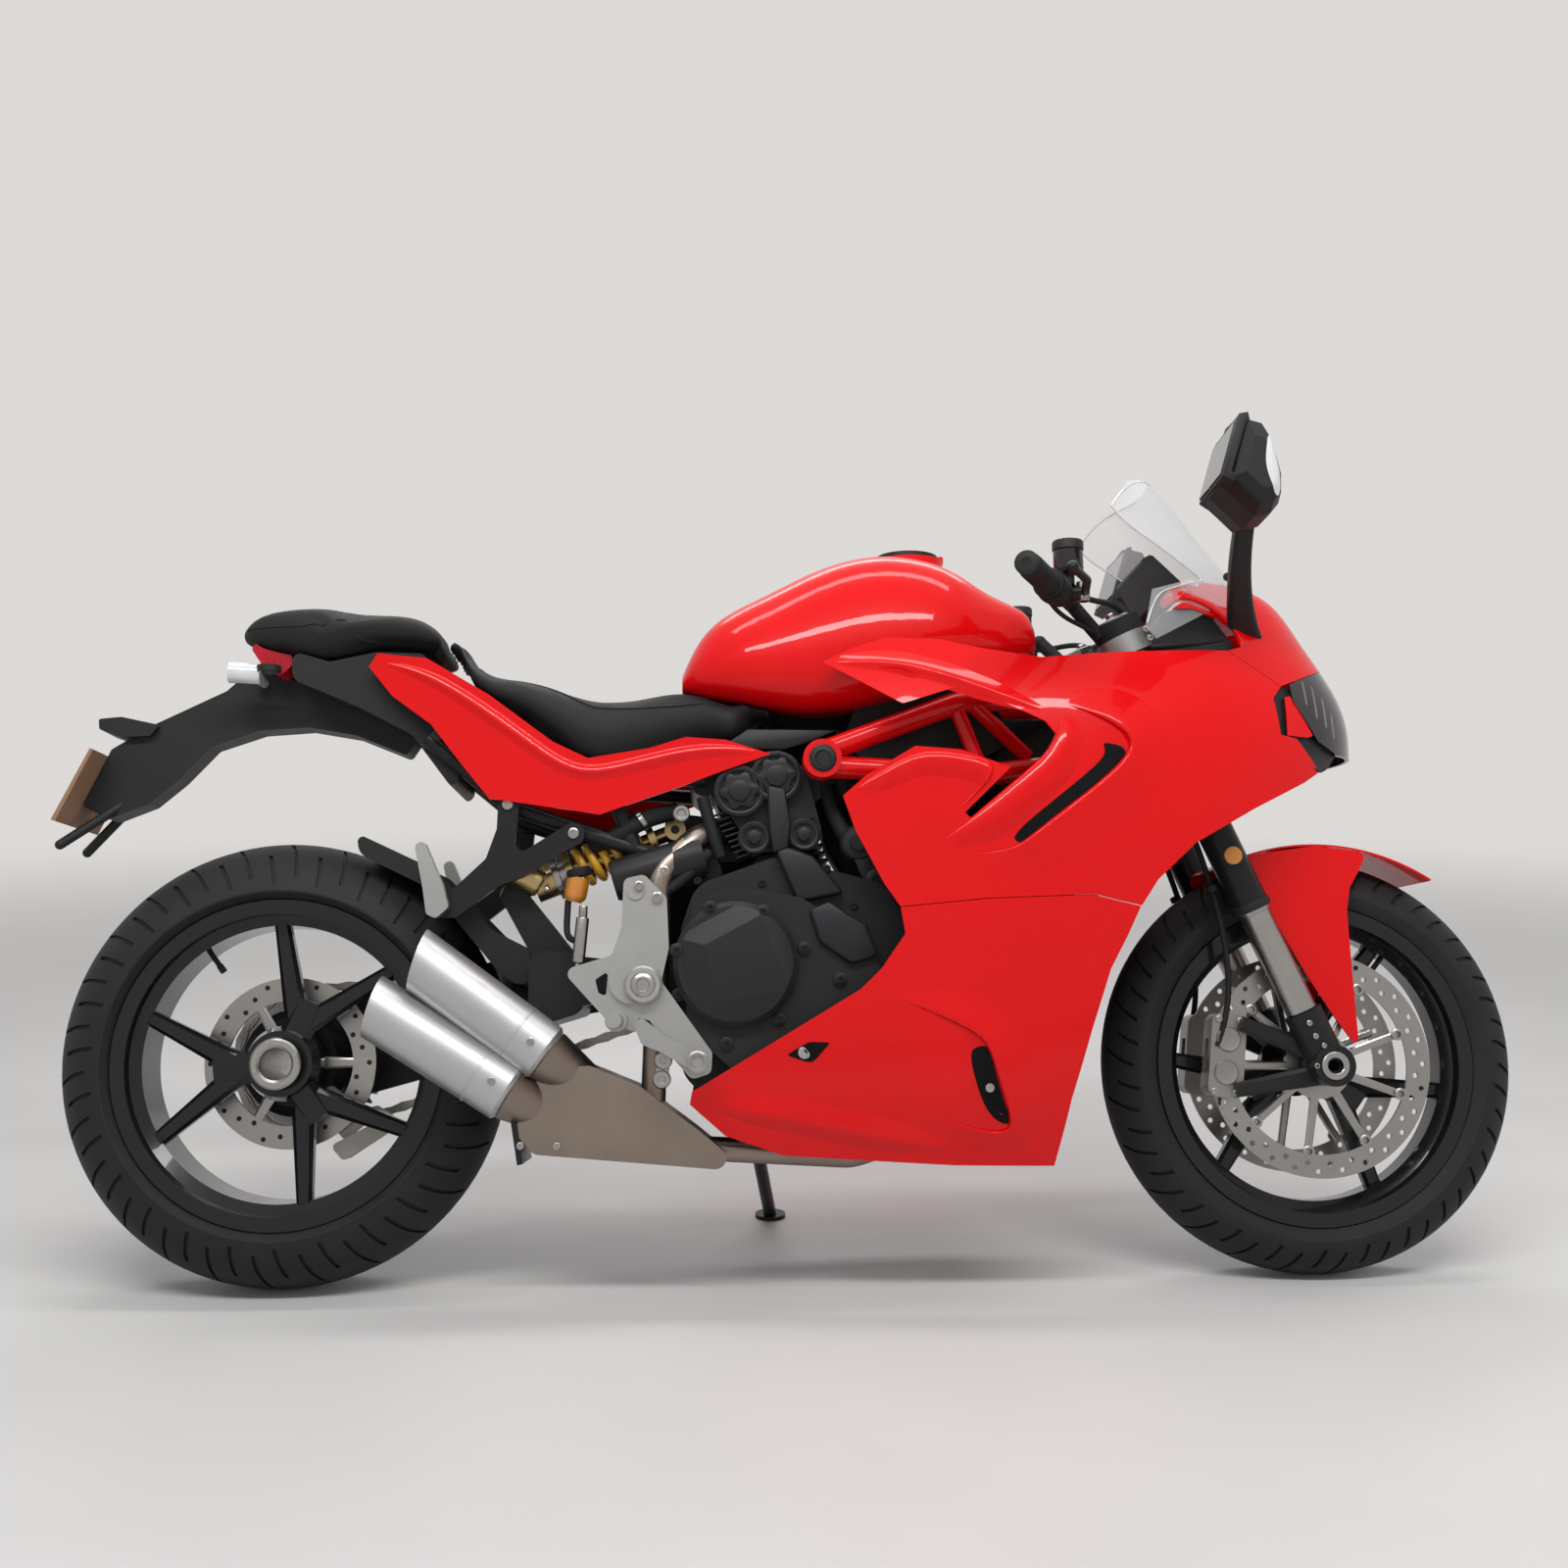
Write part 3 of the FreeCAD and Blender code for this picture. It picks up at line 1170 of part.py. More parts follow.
tank_section_shares = symmetric([(0, 1), (0.42, 0.985), (0.72, 0.88), (0.9, 0.68), (1.0, 0.42), (0.97, 0.18),
                                 (0.8, 0.03), (0.4, 0.0), (0, 0)])
seat_section_shares = symmetric([(0, 1), (0.5, 0.985), (0.85, 0.9), (0.99, 0.62), (0.97, 0.25), (0.85, 0.04),
                                 (0.45, 0), (0, 0)])
tank_stations = [(0.383, 0.846, 0.874, 0.308), (0.401, 0.838, 0.928, 0.433), (0.421, 0.832, 0.958, 0.508),
                 (0.46, 0.822, 0.989, 0.596), (0.514, 0.812, 1.028, 0.667), (0.568, 0.822, 1.05, 0.692),
                 (0.609, 0.838, 1.049, 0.667), (0.65, 0.856, 1.031, 0.608), (0.685, 0.872, 1.001, 0.492),
                 (0.719, 0.886, 0.98, 0.342), (0.735, 0.902, 0.952, 0.258)]
rider_seat_stations = [(0.157, 0.895, 0.912, 0.45), (0.177, 0.868, 0.894, 0.525),
                       (0.227, 0.806, 0.856, 0.575), (0.274, 0.752, 0.838, 0.575),
                       (0.302, 0.729, 0.829, 0.558), (0.331, 0.731, 0.832, 0.517),
                       (0.359, 0.744, 0.84, 0.475), (0.379, 0.758, 0.844, 0.45),
                       (0.406, 0.768, 0.836, 0.483), (0.44, 0.778, 0.827, 0.508),
                       (0.472, 0.79, 0.81, 0.492)]
pillion_seat_stations = [(-0.05, 0.926, 0.94, 0.208), (-0.035, 0.912, 0.96, 0.317),
                         (0.0, 0.902, 0.969, 0.425), (0.041, 0.893, 0.966, 0.492),
                         (0.088, 0.907, 0.955, 0.517), (0.129, 0.905, 0.948, 0.5),
                         (0.152, 0.903, 0.922, 0.45)]


def make_fuel_tank():
    tank = body_loft(tank_stations, tank_section_shares)
    centre = filler_centre()
    neck = Part.makeCylinder(filler_radius, filler_depth, vec(centre.x, 0, centre.z - filler_depth))
    hole = Part.makeCylinder(filler_bore, filler_depth,
                             vec(centre.x, 0, centre.z - filler_depth + hinge_radius))
    ears = []
    hinge = hinge_point()
    for side in (-1, 1):
        low, high = sorted((side * (hinge_half_width + rest_gap),
                            side * (hinge_half_width + hinge_ear_width)))
        ear = Part.makeCylinder(hinge_radius, high - low, vec(hinge.x, low, hinge.z), vec(0, 1, 0))
        foot = Part.makeBox(2 * hinge_radius, high - low, 2 * hinge_radius + rest_gap,
                            vec(hinge.x - hinge_radius, low, hinge.z - 2 * hinge_radius - rest_gap))
        ears += [ear, foot]
    pin = Part.makeCylinder(hinge_pin_radius, 2 * hinge_half_width + hinge_ear_width,
                            vec(hinge.x, -hinge_half_width - hinge_ear_width / 2, hinge.z), vec(0, 1, 0))
    return fused([tank, neck] + ears + [pin]).cut(hole)


def filler_centre():
    """Centre of the filler ring's top face."""
    return at(0.612, 1.056)


def hinge_point():
    centre = filler_centre()
    return vec(centre.x + cap_radius + hinge_radius + rest_gap, 0, centre.z + rest_gap + hinge_radius)


def make_fuel_cap():
    centre = filler_centre()
    hinge = hinge_point()
    disc = Part.makeCylinder(cap_radius, cap_thickness, vec(centre.x, 0, centre.z + rest_gap))
    barrel_ = Part.makeCylinder(hinge_radius, 2 * hinge_half_width, vec(hinge.x, -hinge_half_width, hinge.z),
                                vec(0, 1, 0))
    link = Part.makeBox(cap_radius * 0.3, 2 * hinge_half_width, hinge_radius,
                        vec(hinge.x - cap_radius * 0.3, -hinge_half_width, hinge.z))
    bore = Part.makeCylinder(hinge_pin_radius + rest_gap, 2 * hinge_half_width,
                             vec(hinge.x, -hinge_half_width, hinge.z), vec(0, 1, 0))
    return fused([disc, barrel_, link]).cut(bore)


def make_rider_seat():
    return body_loft(rider_seat_stations, seat_section_shares)


def make_pillion_seat():
    return body_loft(pillion_seat_stations, seat_section_shares)


def side_skin(outline_shares, plan_shares, wall):
    """Panel that follows a curve in plan and is trimmed to a side outline."""
    outer = [vec(x * wheelbase, across(y), 0) for x, y in plan_shares]
    inner = [vec(x * wheelbase, across(y) - wall, 0) for x, y in plan_shares]
    outer_curve = Part.BSplineCurve()
    outer_curve.interpolate(outer)
    inner_curve = Part.BSplineCurve()
    inner_curve.interpolate(inner)
    wire = Part.Wire([outer_curve.toShape(), Part.LineSegment(outer[-1], inner[-1]).toShape(),
                      inner_curve.toShape(), Part.LineSegment(inner[0], outer[0]).toShape()])
    slab = Part.Face(wire).extrude(vec(0, 0, 1.3 * body_height))
    return slab.common(plate(outline_shares, 0, body_half_width))


def make_tail_panels():
    """Painted panels beside the rider's seat."""
    return both_sides(side_skin(tail_panel_shares, tail_plan_shares, tail_skin_wall))


tail_panel_shares = [(0.083, 0.874), (0.091, 0.893), (0.139, 0.884), (0.2, 0.829), (0.26, 0.762),
                     (0.294, 0.738), (0.352, 0.752), (0.387, 0.768), (0.425, 0.764), (0.468, 0.744),
                     (0.419, 0.718), (0.378, 0.695), (0.305, 0.658), (0.285, 0.663), (0.201, 0.682),
                     (0.173, 0.733), (0.144, 0.789), (0.106, 0.831)]
tail_plan_shares = [(0.068, 0.467), (0.135, 0.525), (0.203, 0.571), (0.291, 0.592), (0.379, 0.588),
                    (0.474, 0.571)]


def make_tail_undertray():
    """Moulding under the pillion's seat."""
    return plate(undertray_shares, -across(0.383), across(0.383), bend_radius / 3)


undertray_shares = [(0.004, 0.903), (0.042, 0.886), (0.087, 0.9), (0.133, 0.898), (0.154, 0.84),
                    (0.169, 0.716), (0.161, 0.704), (0.121, 0.783), (0.069, 0.822), (0.008, 0.86)]


def make_tail_light():
    return plate(tail_light_shares, -across(0.3), across(0.3), flange_thickness * 1.5)


tail_light_shares = [(-0.042, 0.921), (-0.026, 0.886), (-0.009, 0.868), (0.003, 0.884), (0.003, 0.903)]


def make_plate_holder():
    """Arm to the number plate, with two prongs that spread at its foot."""
    arm = plate(holder_arm_shares, -across(0.108), across(0.108), flange_thickness)
    lamp = plate(plate_lamp_shares, -across(0.158), across(0.158), flange_thickness / 2)
    pieces = [arm, lamp]
    for side in (-1, 1):
        root = at(-0.157, 0.7, side * across(0.05))
        tip = at(-0.215, 0.628, side * across(0.242))
        pieces.append(tube([root, tip], flange_thickness, 0))
        pieces.append(Part.makeSphere(flange_thickness, tip))
    return fused(pieces)


holder_arm_shares = [(-0.18, 0.76), (-0.177, 0.77), (-0.137, 0.806), (-0.067, 0.856), (-0.049, 0.88),
                     (-0.02, 0.886), (0.005, 0.867), (0.069, 0.827), (0.122, 0.785), (0.111, 0.76),
                     (0.061, 0.79), (0.014, 0.802), (-0.034, 0.797), (-0.08, 0.774), (-0.111, 0.725),
                     (-0.139, 0.69), (-0.177, 0.668), (-0.203, 0.688)]
plate_lamp_shares = [(-0.188, 0.813), (-0.166, 0.816), (-0.129, 0.804), (-0.138, 0.788), (-0.166, 0.786),
                     (-0.187, 0.798)]


def make_number_plate():
    """Blank plate behind the holder."""
    return plate(number_plate_shares, -across(0.383), across(0.383))


number_plate_shares = [(-0.217, 0.66), (-0.213, 0.658), (-0.18, 0.76), (-0.183, 0.762)]


def make_rear_indicators():
    lamps = []
    for side in (-1, 1):
        y = sorted((side * (across(0.108) + rest_gap), side * across(0.383)))
        stalk = cross_cylinder(at(-0.031, 0.868), lever_radius * 1.3, *y)
        lens = bar(at(-0.023, 0.868, side * across(0.383)), at(-0.053, 0.87, side * across(0.392)),
                   indicator_radius)
        lamps.append(fused([stalk, lens]))
    return Part.makeCompound(lamps)


indicator_radius = 15.0


# Fairing

def plan_section(level, nose, half_width, rear, inset, profile):
    """Open curve round the nose at one height, closed across its rear end."""
    z = level * body_height
    x_nose = nose * wheelbase - inset
    x_rear = rear * wheelbase
    half = across(half_width) - inset
    side = [vec(x_nose - t * (x_nose - x_rear), w * half, z) for t, w in profile]
    points = [vec(p.x, -p.y, p.z) for p in reversed(side)] + [vec(x_nose, 0, z)] + side
    curve = Part.BSplineCurve()
    curve.interpolate(points)
    return Part.Wire([curve.toShape(), Part.LineSegment(points[-1], points[0]).toShape()])


def bodywork(levels, rear, inset, profile):
    return lofted([plan_section(z, nose, width, rear, inset, profile) for z, nose, width in levels])


def bodywork_shell(levels, rear, wall, profile):
    """Thin skin between two nested lofts, open at its back, top and bottom."""
    outer = bodywork(levels, rear, 0.0, profile)
    inner = bodywork(levels, rear, wall, profile)
    inner_back = inner.BoundBox
    skin = outer.cut(inner)
    back = Part.makeBox(wall + overrun, inner_back.YLength + overrun, inner_back.ZLength,
                        vec(inner_back.XMin - overrun, -(inner_back.YLength + overrun) / 2, inner_back.ZMin))
    return skin.cut(back)


fairing_profile_shares = [(0.03, 0.36), (0.1, 0.62), (0.22, 0.85), (0.4, 0.99), (0.58, 1.0), (0.8, 0.9),
                          (1.0, 0.76)]
fairing_levels = [(0.15, 0.9, 0.617), (0.2, 0.908, 0.733), (0.28, 0.927, 0.867), (0.4, 0.964, 0.95),
                  (0.52, 1.005, 0.992), (0.64, 1.041, 1.008), (0.715, 1.053, 1.004), (0.775, 1.056, 0.979),
                  (0.83, 1.049, 0.917), (0.885, 1.03, 0.817), (0.945, 1.006, 0.692), (1.01, 0.953, 0.542)]
fairing_rear = 0.379
screen_profile_shares = [(0.04, 0.36), (0.14, 0.62), (0.32, 0.82), (0.55, 0.91), (0.76, 1.03), (1.0, 1.1)]
screen_levels = [(0.89, 1.0, 0.608), (0.95, 0.982, 0.6), (1.01, 0.95, 0.55), (1.06, 0.922, 0.504),
                 (1.12, 0.892, 0.463), (1.18, 0.85, 0.421)]
screen_rear = 0.785

side_panel_shares = [(0.516, 0.866), (0.545, 0.887), (0.578, 0.903), (0.629, 0.898), (0.664, 0.884),
                     (0.722, 0.869), (0.798, 0.879), (0.909, 0.889), (0.961, 0.837), (0.95, 0.818),
                     (0.954, 0.764), (0.972, 0.76), (0.998, 0.716), (0.98, 0.699), (0.922, 0.657),
                     (0.86, 0.607), (0.822, 0.556), (0.806, 0.521), (0.783, 0.528), (0.761, 0.536),
                     (0.66, 0.531), (0.583, 0.521), (0.569, 0.551), (0.543, 0.625), (0.532, 0.673),
                     (0.553, 0.7), (0.599, 0.74), (0.641, 0.734), (0.686, 0.709), (0.643, 0.647),
                     (0.648, 0.64), (0.719, 0.727), (0.729, 0.755), (0.72, 0.773), (0.665, 0.814),
                     (0.637, 0.823), (0.589, 0.801)]
slot_shares = [(0.792, 0.728), (0.796, 0.717), (0.698, 0.605), (0.69, 0.613)]
wing_slot_shares = [(0.563, 0.857), (0.588, 0.859), (0.611, 0.843), (0.601, 0.837)]
lower_panel_shares = [(0.583, 0.52), (0.66, 0.53), (0.761, 0.535), (0.783, 0.527), (0.805, 0.52),
                      (0.792, 0.48), (0.776, 0.436), (0.758, 0.355), (0.74, 0.263), (0.727, 0.17),
                      (0.634, 0.173), (0.476, 0.188), (0.423, 0.215), (0.39, 0.258), (0.392, 0.275),
                      (0.546, 0.411), (0.565, 0.438), (0.587, 0.485)]
lower_slot_shares = [(0.655, 0.333), (0.675, 0.262), (0.683, 0.236), (0.662, 0.252), (0.656, 0.28)]
nose_shares = [(0.861, 0.955), (0.876, 0.97), (0.9, 1.006), (1.083, 1.006), (1.083, 0.888), (1.029, 0.882),
               (0.982, 0.851), (0.961, 0.838), (0.91, 0.889), (0.926, 0.897), (0.921, 0.925),
               (0.905, 0.944), (0.882, 0.956)]
headlight_shares = [(0.972, 0.842), (0.982, 0.85), (1.029, 0.881), (1.083, 0.887), (1.083, 0.75),
                    (1.023, 0.744), (0.998, 0.76), (0.973, 0.815)]
chin_shares = [(0.998, 0.718), (1.023, 0.742), (1.083, 0.748), (1.083, 0.7), (1.015, 0.7)]
screen_shares = [(0.806, 1.114), (0.829, 1.16), (0.863, 1.169), (0.9, 1.119), (1.015, 1.09), (1.015, 0.96),
                 (0.988, 0.96), (0.91, 0.962), (0.842, 0.908), (0.831, 0.925), (0.842, 0.984),
                 (0.886, 1.005), (0.901, 0.997), (0.855, 1.054), (0.819, 1.088)]


def panel_from(skin, outline, openings=()):
    """Part of a skin inside a side outline, less its openings."""
    panel = skin.common(plate(outline, -2 * body_half_width, 2 * body_half_width))
    for shares in openings:
        panel = panel.cut(plate(shares, -2 * body_half_width, 2 * body_half_width))
    return panel


def centre_seam(width):
    return Part.makeBox(2 * wheelbase, width, 2 * body_height, vec(0, -width / 2, 0))


def largest(shape, count):
    """The biggest solids of a shape, without slivers."""
    solids = sorted(shape.Solids, key=lambda solid: -solid.Volume)
    return Part.makeCompound(solids[:count])


def make_side_fairings(skin):
    panel = panel_from(skin, side_panel_shares, [slot_shares, wing_slot_shares])
    return largest(panel.cut(centre_seam(panel_seam)), 2)


def make_belly_fairings(skin):
    panel = panel_from(skin, lower_panel_shares, [lower_slot_shares])
    return largest(panel.cut(centre_seam(panel_seam)), 2)


def make_nose_cowl(skin):
    return largest(panel_from(skin, nose_shares), 1)


def make_headlight():
    skin = bodywork_shell(fairing_levels, fairing_rear, lens_wall, fairing_profile_shares)
    return largest(panel_from(skin, headlight_shares), 1)


def make_windscreen(nose):
    skin = bodywork_shell(screen_levels, screen_rear, screen_wall, screen_profile_shares)
    return largest(panel_from(skin, screen_shares).cut(nose), 1)


def make_cockpit():
    """Instrument pod and the stay that carries it and the nose."""
    pod = plate(pod_shares, -across(0.342), across(0.342), flange_thickness)
    middle = (head_top + head_bottom) / 2
    reach = head_tube_radius + rest_gap
    stay = tube([steered(middle, reach + brace_radius), at(0.873, 0.88), at(0.961, 0.85),
                 at(1.045, 0.836)], brace_radius)
    post = bar(at(0.873, 0.88), at(0.871, 0.995), brace_radius)
    foot = bar(steered(middle, reach), steered(middle, reach + brace_radius * 1.5), brace_radius * 1.5)
    return fused([pod, stay, post, foot])


pod_shares = [(0.861, 0.986), (0.839, 1.04), (0.851, 1.05), (0.88, 1.008), (0.881, 0.98)]


def make_mirrors():
    """Stalks from the nose with their housings."""
    stations = [(0.0, 0.45), (0.12, 0.86), (0.4, 1.0), (0.75, 0.97), (0.93, 0.8), (1.0, 0.5)]
    outline = along(mirror_shares)
    middle = vec(0, 0, 0)
    for point in outline:
        middle += point
    middle = middle * (1 / len(outline))
    wires = []
    for share, size in stations:
        y = -across(1.033) - share * across(0.675)
        shift = vec(0, y, 0)
        points = [middle + (point - middle) * size + shift for point in outline]
        wires.append(Part.makePolygon(points + points[:1]))
    housing = lofted(wires, True)
    stalk = lofted([rounded_section(centre, vec(1, 0, 0), vec(0, 0.6, 0.8), half_x, half_y)
                    for centre, half_x, half_y in (
                        (at(0.938, 0.917, -across(0.433)), mirror_foot, mirror_neck * 0.7),
                        (at(0.919, 0.975, -across(0.75)), mirror_neck * 1.3, mirror_neck),
                        (at(0.908, 1.05, -across(1.146)), mirror_neck, mirror_neck * 0.8))])
    skin = bodywork(fairing_levels, fairing_rear, 0.0, fairing_profile_shares)
    return both_sides(largest(fused([housing, stalk]).cut(skin), 1))


mirror_foot = 26.0
mirror_neck = 13.0
mirror_glass_depth = 3.0
mirror_shares = [(0.885, 1.163), (0.901, 1.157), (0.912, 1.128), (0.92, 1.072), (0.919, 1.04),
                 (0.911, 1.026), (0.896, 1.022), (0.88, 1.046), (0.866, 1.066)]


def make_mirror_glasses():
    """Glass on the rear face of each housing."""
    top, bottom = at(0.885, 1.163), at(0.866, 1.066)
    run = (bottom - top).normalize()
    out = vec(run.z, 0, -run.x)
    a = top + (bottom - top) * 0.1 + out * rest_gap
    b = top + (bottom - top) * 0.95 + out * rest_gap
    corners = [a, b, b + out * mirror_glass_depth, a + out * mirror_glass_depth]
    y = -across(1.033) - across(0.675) * 0.88
    points = [vec(p.x, y, p.z) for p in corners]
    face = Part.Face(Part.makePolygon(points + points[:1]))
    return both_sides(face.extrude(vec(0, across(0.675) * 0.72, 0)))


# Exhaust

silencer_axes = [((0.132, 0.465), (0.26, 0.325)), ((0.091, 0.402), (0.227, 0.275))]
silencer_line = across(-0.688)
box_right = across(-0.692)
box_left = across(-0.167)


def silencer_ends():
    for rear, front in silencer_axes:
        yield at(rear[0], rear[1], silencer_line), at(front[0], front[1], silencer_line)


def make_silencers():
    cans = []
    for rear, front in silencer_ends():
        run = (front - rear).normalize()
        can = bar(rear, front, silencer_radius)
        front_edges = [e for e in can.Edges if e.Closed and (e.CenterOfMass - front).Length < silencer_radius]
        can = can.makeChamfer(flange_thickness, front_edges)
        can = can.cut(bar(rear - run * overrun, rear + run * silencer_bore_depth, silencer_bore))
        face = Part.makeBox(4 * silencer_radius, 4 * silencer_radius, 4 * silencer_radius,
                            vec(-4 * silencer_radius, -2 * silencer_radius, -2 * silencer_radius))
        face.Placement = FreeCAD.Placement(rear + run * (silencer_radius * 0.35),
                                           FreeCAD.Rotation(vec(0, 1, 0), silencer_cut_deg))
        cans.append(can.cut(face))
    return Part.makeCompound(cans)


silencer_cut_deg = 18.0


def make_exhaust_pipes(engine):
    """Collector box with a snout to each silencer, and the header pipes."""
    box = plate(exhaust_box_shares, box_right, box_left, bend_radius / 3)
    stubs, cuts = [], []
    for rear, front in silencer_ends():
        run = (front - rear).normalize()
        root = front + run * (silencer_radius * 1.6) + vec(0, silencer_radius, 0)
        wide = Part.Wire(Part.Circle(front + run * rest_gap, run, silencer_radius * 0.9).toShape())
        narrow = Part.Wire(Part.Circle(root, run, silencer_radius * 0.6).toShape())
        stubs.append(lofted([wide, narrow], True))
        cuts.append(bar(rear, front + run * rest_gap, silencer_radius + rest_gap))
    front_pipe = tube([at(0.689, 0.5, 0), at(0.689, 0.4, -across(0.167)), at(0.629, 0.222, -across(0.383)),
                       at(0.541, 0.184, -across(0.433)), at(0.406, 0.196, -across(0.433))],
                      header_radius, header_bend)
    rear_pipe = tube([at(0.433, 0.64, -across(0.258)), at(0.399, 0.632, -across(0.492)),
                      at(0.361, 0.575, -across(0.571)), at(0.359, 0.38, -across(0.571)),
                      at(0.356, 0.262, -across(0.542))], header_radius, header_bend)
    whole = fused([box] + stubs + [front_pipe, rear_pipe])
    return whole.cut(Part.makeCompound(cuts)).cut(engine)


exhaust_box_shares = [(0.244, 0.306), (0.298, 0.312), (0.344, 0.284), (0.398, 0.224), (0.426, 0.19),
                      (0.419, 0.171), (0.248, 0.194), (0.231, 0.222)]


# Side stand

stand_pivot = at(0.455, 0.196, across(0.467))
stand_foot = at(0.474, 0.066, across(1.25))
stand_folded = vec(-1.0, 0.16, 0.02)


def stand_axis():
    """Unit vector of the pivot bolt: the leg swings from its foot to its folded line."""
    down = (stand_foot - stand_pivot).normalize()
    back = vec(stand_folded).normalize()
    return down.cross(back).normalize()


def leaned(point):
    """A direction or point after the whole bike leans."""
    return FreeCAD.Rotation(vec(1, 0, 0), -lean_deg).multVec(point)


def make_side_stand():
    axis = stand_axis()
    down = (stand_foot - stand_pivot)
    reach = down.Length
    down.normalize()
    boss = bar(stand_pivot - axis * stand_boss_radius, stand_pivot + axis * stand_boss_radius,
               stand_boss_radius)
    leg = tube([stand_pivot, stand_pivot + down * (reach * 0.5), stand_foot], stand_leg_radius, 0)
    up = FreeCAD.Rotation(vec(1, 0, 0), lean_deg).multVec(vec(0, 0, 1))
    ground = ground_point(stand_foot)
    pad = Part.makeCylinder(stand_foot_radius, stand_foot_thickness, ground, up)
    stand = fused([boss, leg, pad])
    under = Part.makeCylinder(stand_foot_radius * 3, stand_foot_radius * 2,
                              ground - up * (stand_foot_radius * 2), up)
    return stand.cut(under).cut(bar(stand_pivot - axis * overrun, stand_pivot + axis * overrun,
                                    stand_pivot_radius + rest_gap))


def ground_point(point):
    """Foot of a point on the ground plane, in the upright frame."""
    down = leaned(point)
    down.z = 0
    return FreeCAD.Rotation(vec(1, 0, 0), lean_deg).multVec(down)


def stand_mount():
    """Clevis on the engine's sump with the stand's pivot bolt."""
    axis = stand_axis()
    inner = stand_boss_radius + rest_gap
    outer = inner + flange_thickness
    pieces = [bar(stand_pivot - axis * outer, stand_pivot + axis * outer, stand_pivot_radius)]
    root = at(0.452, 0.262, across(0.275))
    up = root - stand_pivot
    up = up - axis * up.dot(axis)
    for side in (-1, 1):
        spot = stand_pivot + axis * (side * inner)
        thick = axis * (side * flange_thickness)
        wide = up.cross(axis)
        wide.normalize()
        wide = wide * stand_boss_radius
        corners = [spot - wide, spot + wide, spot + wide + up, spot - wide + up]
        cheek = Part.Face(Part.makePolygon(corners + corners[:1])).extrude(thick)
        pieces += [cheek, bar(spot, spot + thick, stand_boss_radius)]
    return pieces


def build():
    skin = bodywork_shell(fairing_levels, fairing_rear, panel_wall, fairing_profile_shares)
    nose = make_nose_cowl(skin)
    side_fairings = make_side_fairings(skin)
    belly_fairings = make_belly_fairings(skin)
    headlight = make_headlight()
    trellis = make_frame_trellis()
    engine = make_engine()
    tank = make_fuel_tank()
    pillion = make_pillion_seat()
    tail_panels = make_tail_panels()
    subframe = make_subframe().cut(tail_panels)
    undertray = make_tail_undertray().cut(pillion).cut(subframe)
    tail_light = make_tail_light().cut(pillion)
    return {
        "frame_trellis": trellis,
        "subframe": subframe,
        "engine": engine,
        "engine_covers": make_engine_covers(),
        "front_sprocket": make_front_sprocket(),
        "radiator": make_radiator().cut(trellis).cut(side_fairings).cut(belly_fairings),
        "airbox": make_airbox().cut(tank),
        "shock_body": make_shock(),
        "shock_spring": make_shock_spring(),
        "fuel_tank": tank,
        "fuel_cap": make_fuel_cap(),
        "rider_seat": make_rider_seat().cut(tank).cut(subframe),
        "pillion_seat": pillion,
        "tail_panels": tail_panels,
        "tail_undertray": undertray,
        "tail_light": tail_light,
        "plate_holder": make_plate_holder().cut(undertray).cut(tail_light),
        "number_plate": make_number_plate(),
        "rear_indicators": make_rear_indicators(),
        "side_fairings": side_fairings,
        "belly_fairings": belly_fairings,
        "nose_cowl": nose,
        "headlight": headlight,
        "windscreen": make_windscreen(nose),
        "cockpit": largest(make_cockpit().cut(headlight), 1),
        "mirrors": make_mirrors(),
        "mirror_glasses": make_mirror_glasses(),
        "exhaust_pipes": make_exhaust_pipes(engine),
        "silencers": make_silencers(),
        "footrest_plates": make_footrest_plates(),
        "footrests": make_footrests(),
        "foot_levers": make_foot_levers(),
        "passenger_brackets": make_passenger_brackets(),
        "swingarm": make_swingarm(),
        "drive_chain": make_drive_chain(),
        "rear_hugger": make_rear_hugger(),
        "rear_caliper": make_rear_caliper(),
        "side_stand": make_side_stand(),
        "fork_legs": make_fork_legs(),
        "fork_feet": make_fork_feet(),
        "triple_clamps": make_triple_clamps(),
        "handlebars": make_handlebars(),
        "control_levers": make_control_levers(),
        "front_fender": make_front_fender(),
        "front_calipers": make_front_calipers(),
        "front_rim": make_front_rim(),
        "front_tyre": tyre(front_axle, front_tyre_radius, front_tyre_half_width, front_crown_radius,
                           front_rim_half_width),
        "front_discs": make_front_discs(),
        "rear_rim": make_rear_rim(),
        "rear_tyre": tyre(rear_axle, rear_tyre_radius, rear_tyre_half_width, rear_crown_radius,
                          rear_rim_half_width),
        "rear_disc": make_rear_disc(),
        "rear_sprocket": make_rear_sprocket(),
    }


def main():
    os.makedirs("parts", exist_ok=True)
    standing = FreeCAD.Placement(vec(-centre_x_share * wheelbase, -centre_y_share * body_half_width, 0),
                                 FreeCAD.Rotation(vec(1, 0, 0), -lean_deg))
    for name, shape in build().items():
        shape = shape.copy()
        shape.Placement = standing.multiply(shape.Placement)
        shape.exportStep("parts/" + name + ".step")


# Middle of the leaned bike's box, which the origin stands under.
centre_x_share = 0.491
centre_y_share = 0.941

main()
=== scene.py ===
import json
import math

import bpy
from mathutils import Matrix, Vector

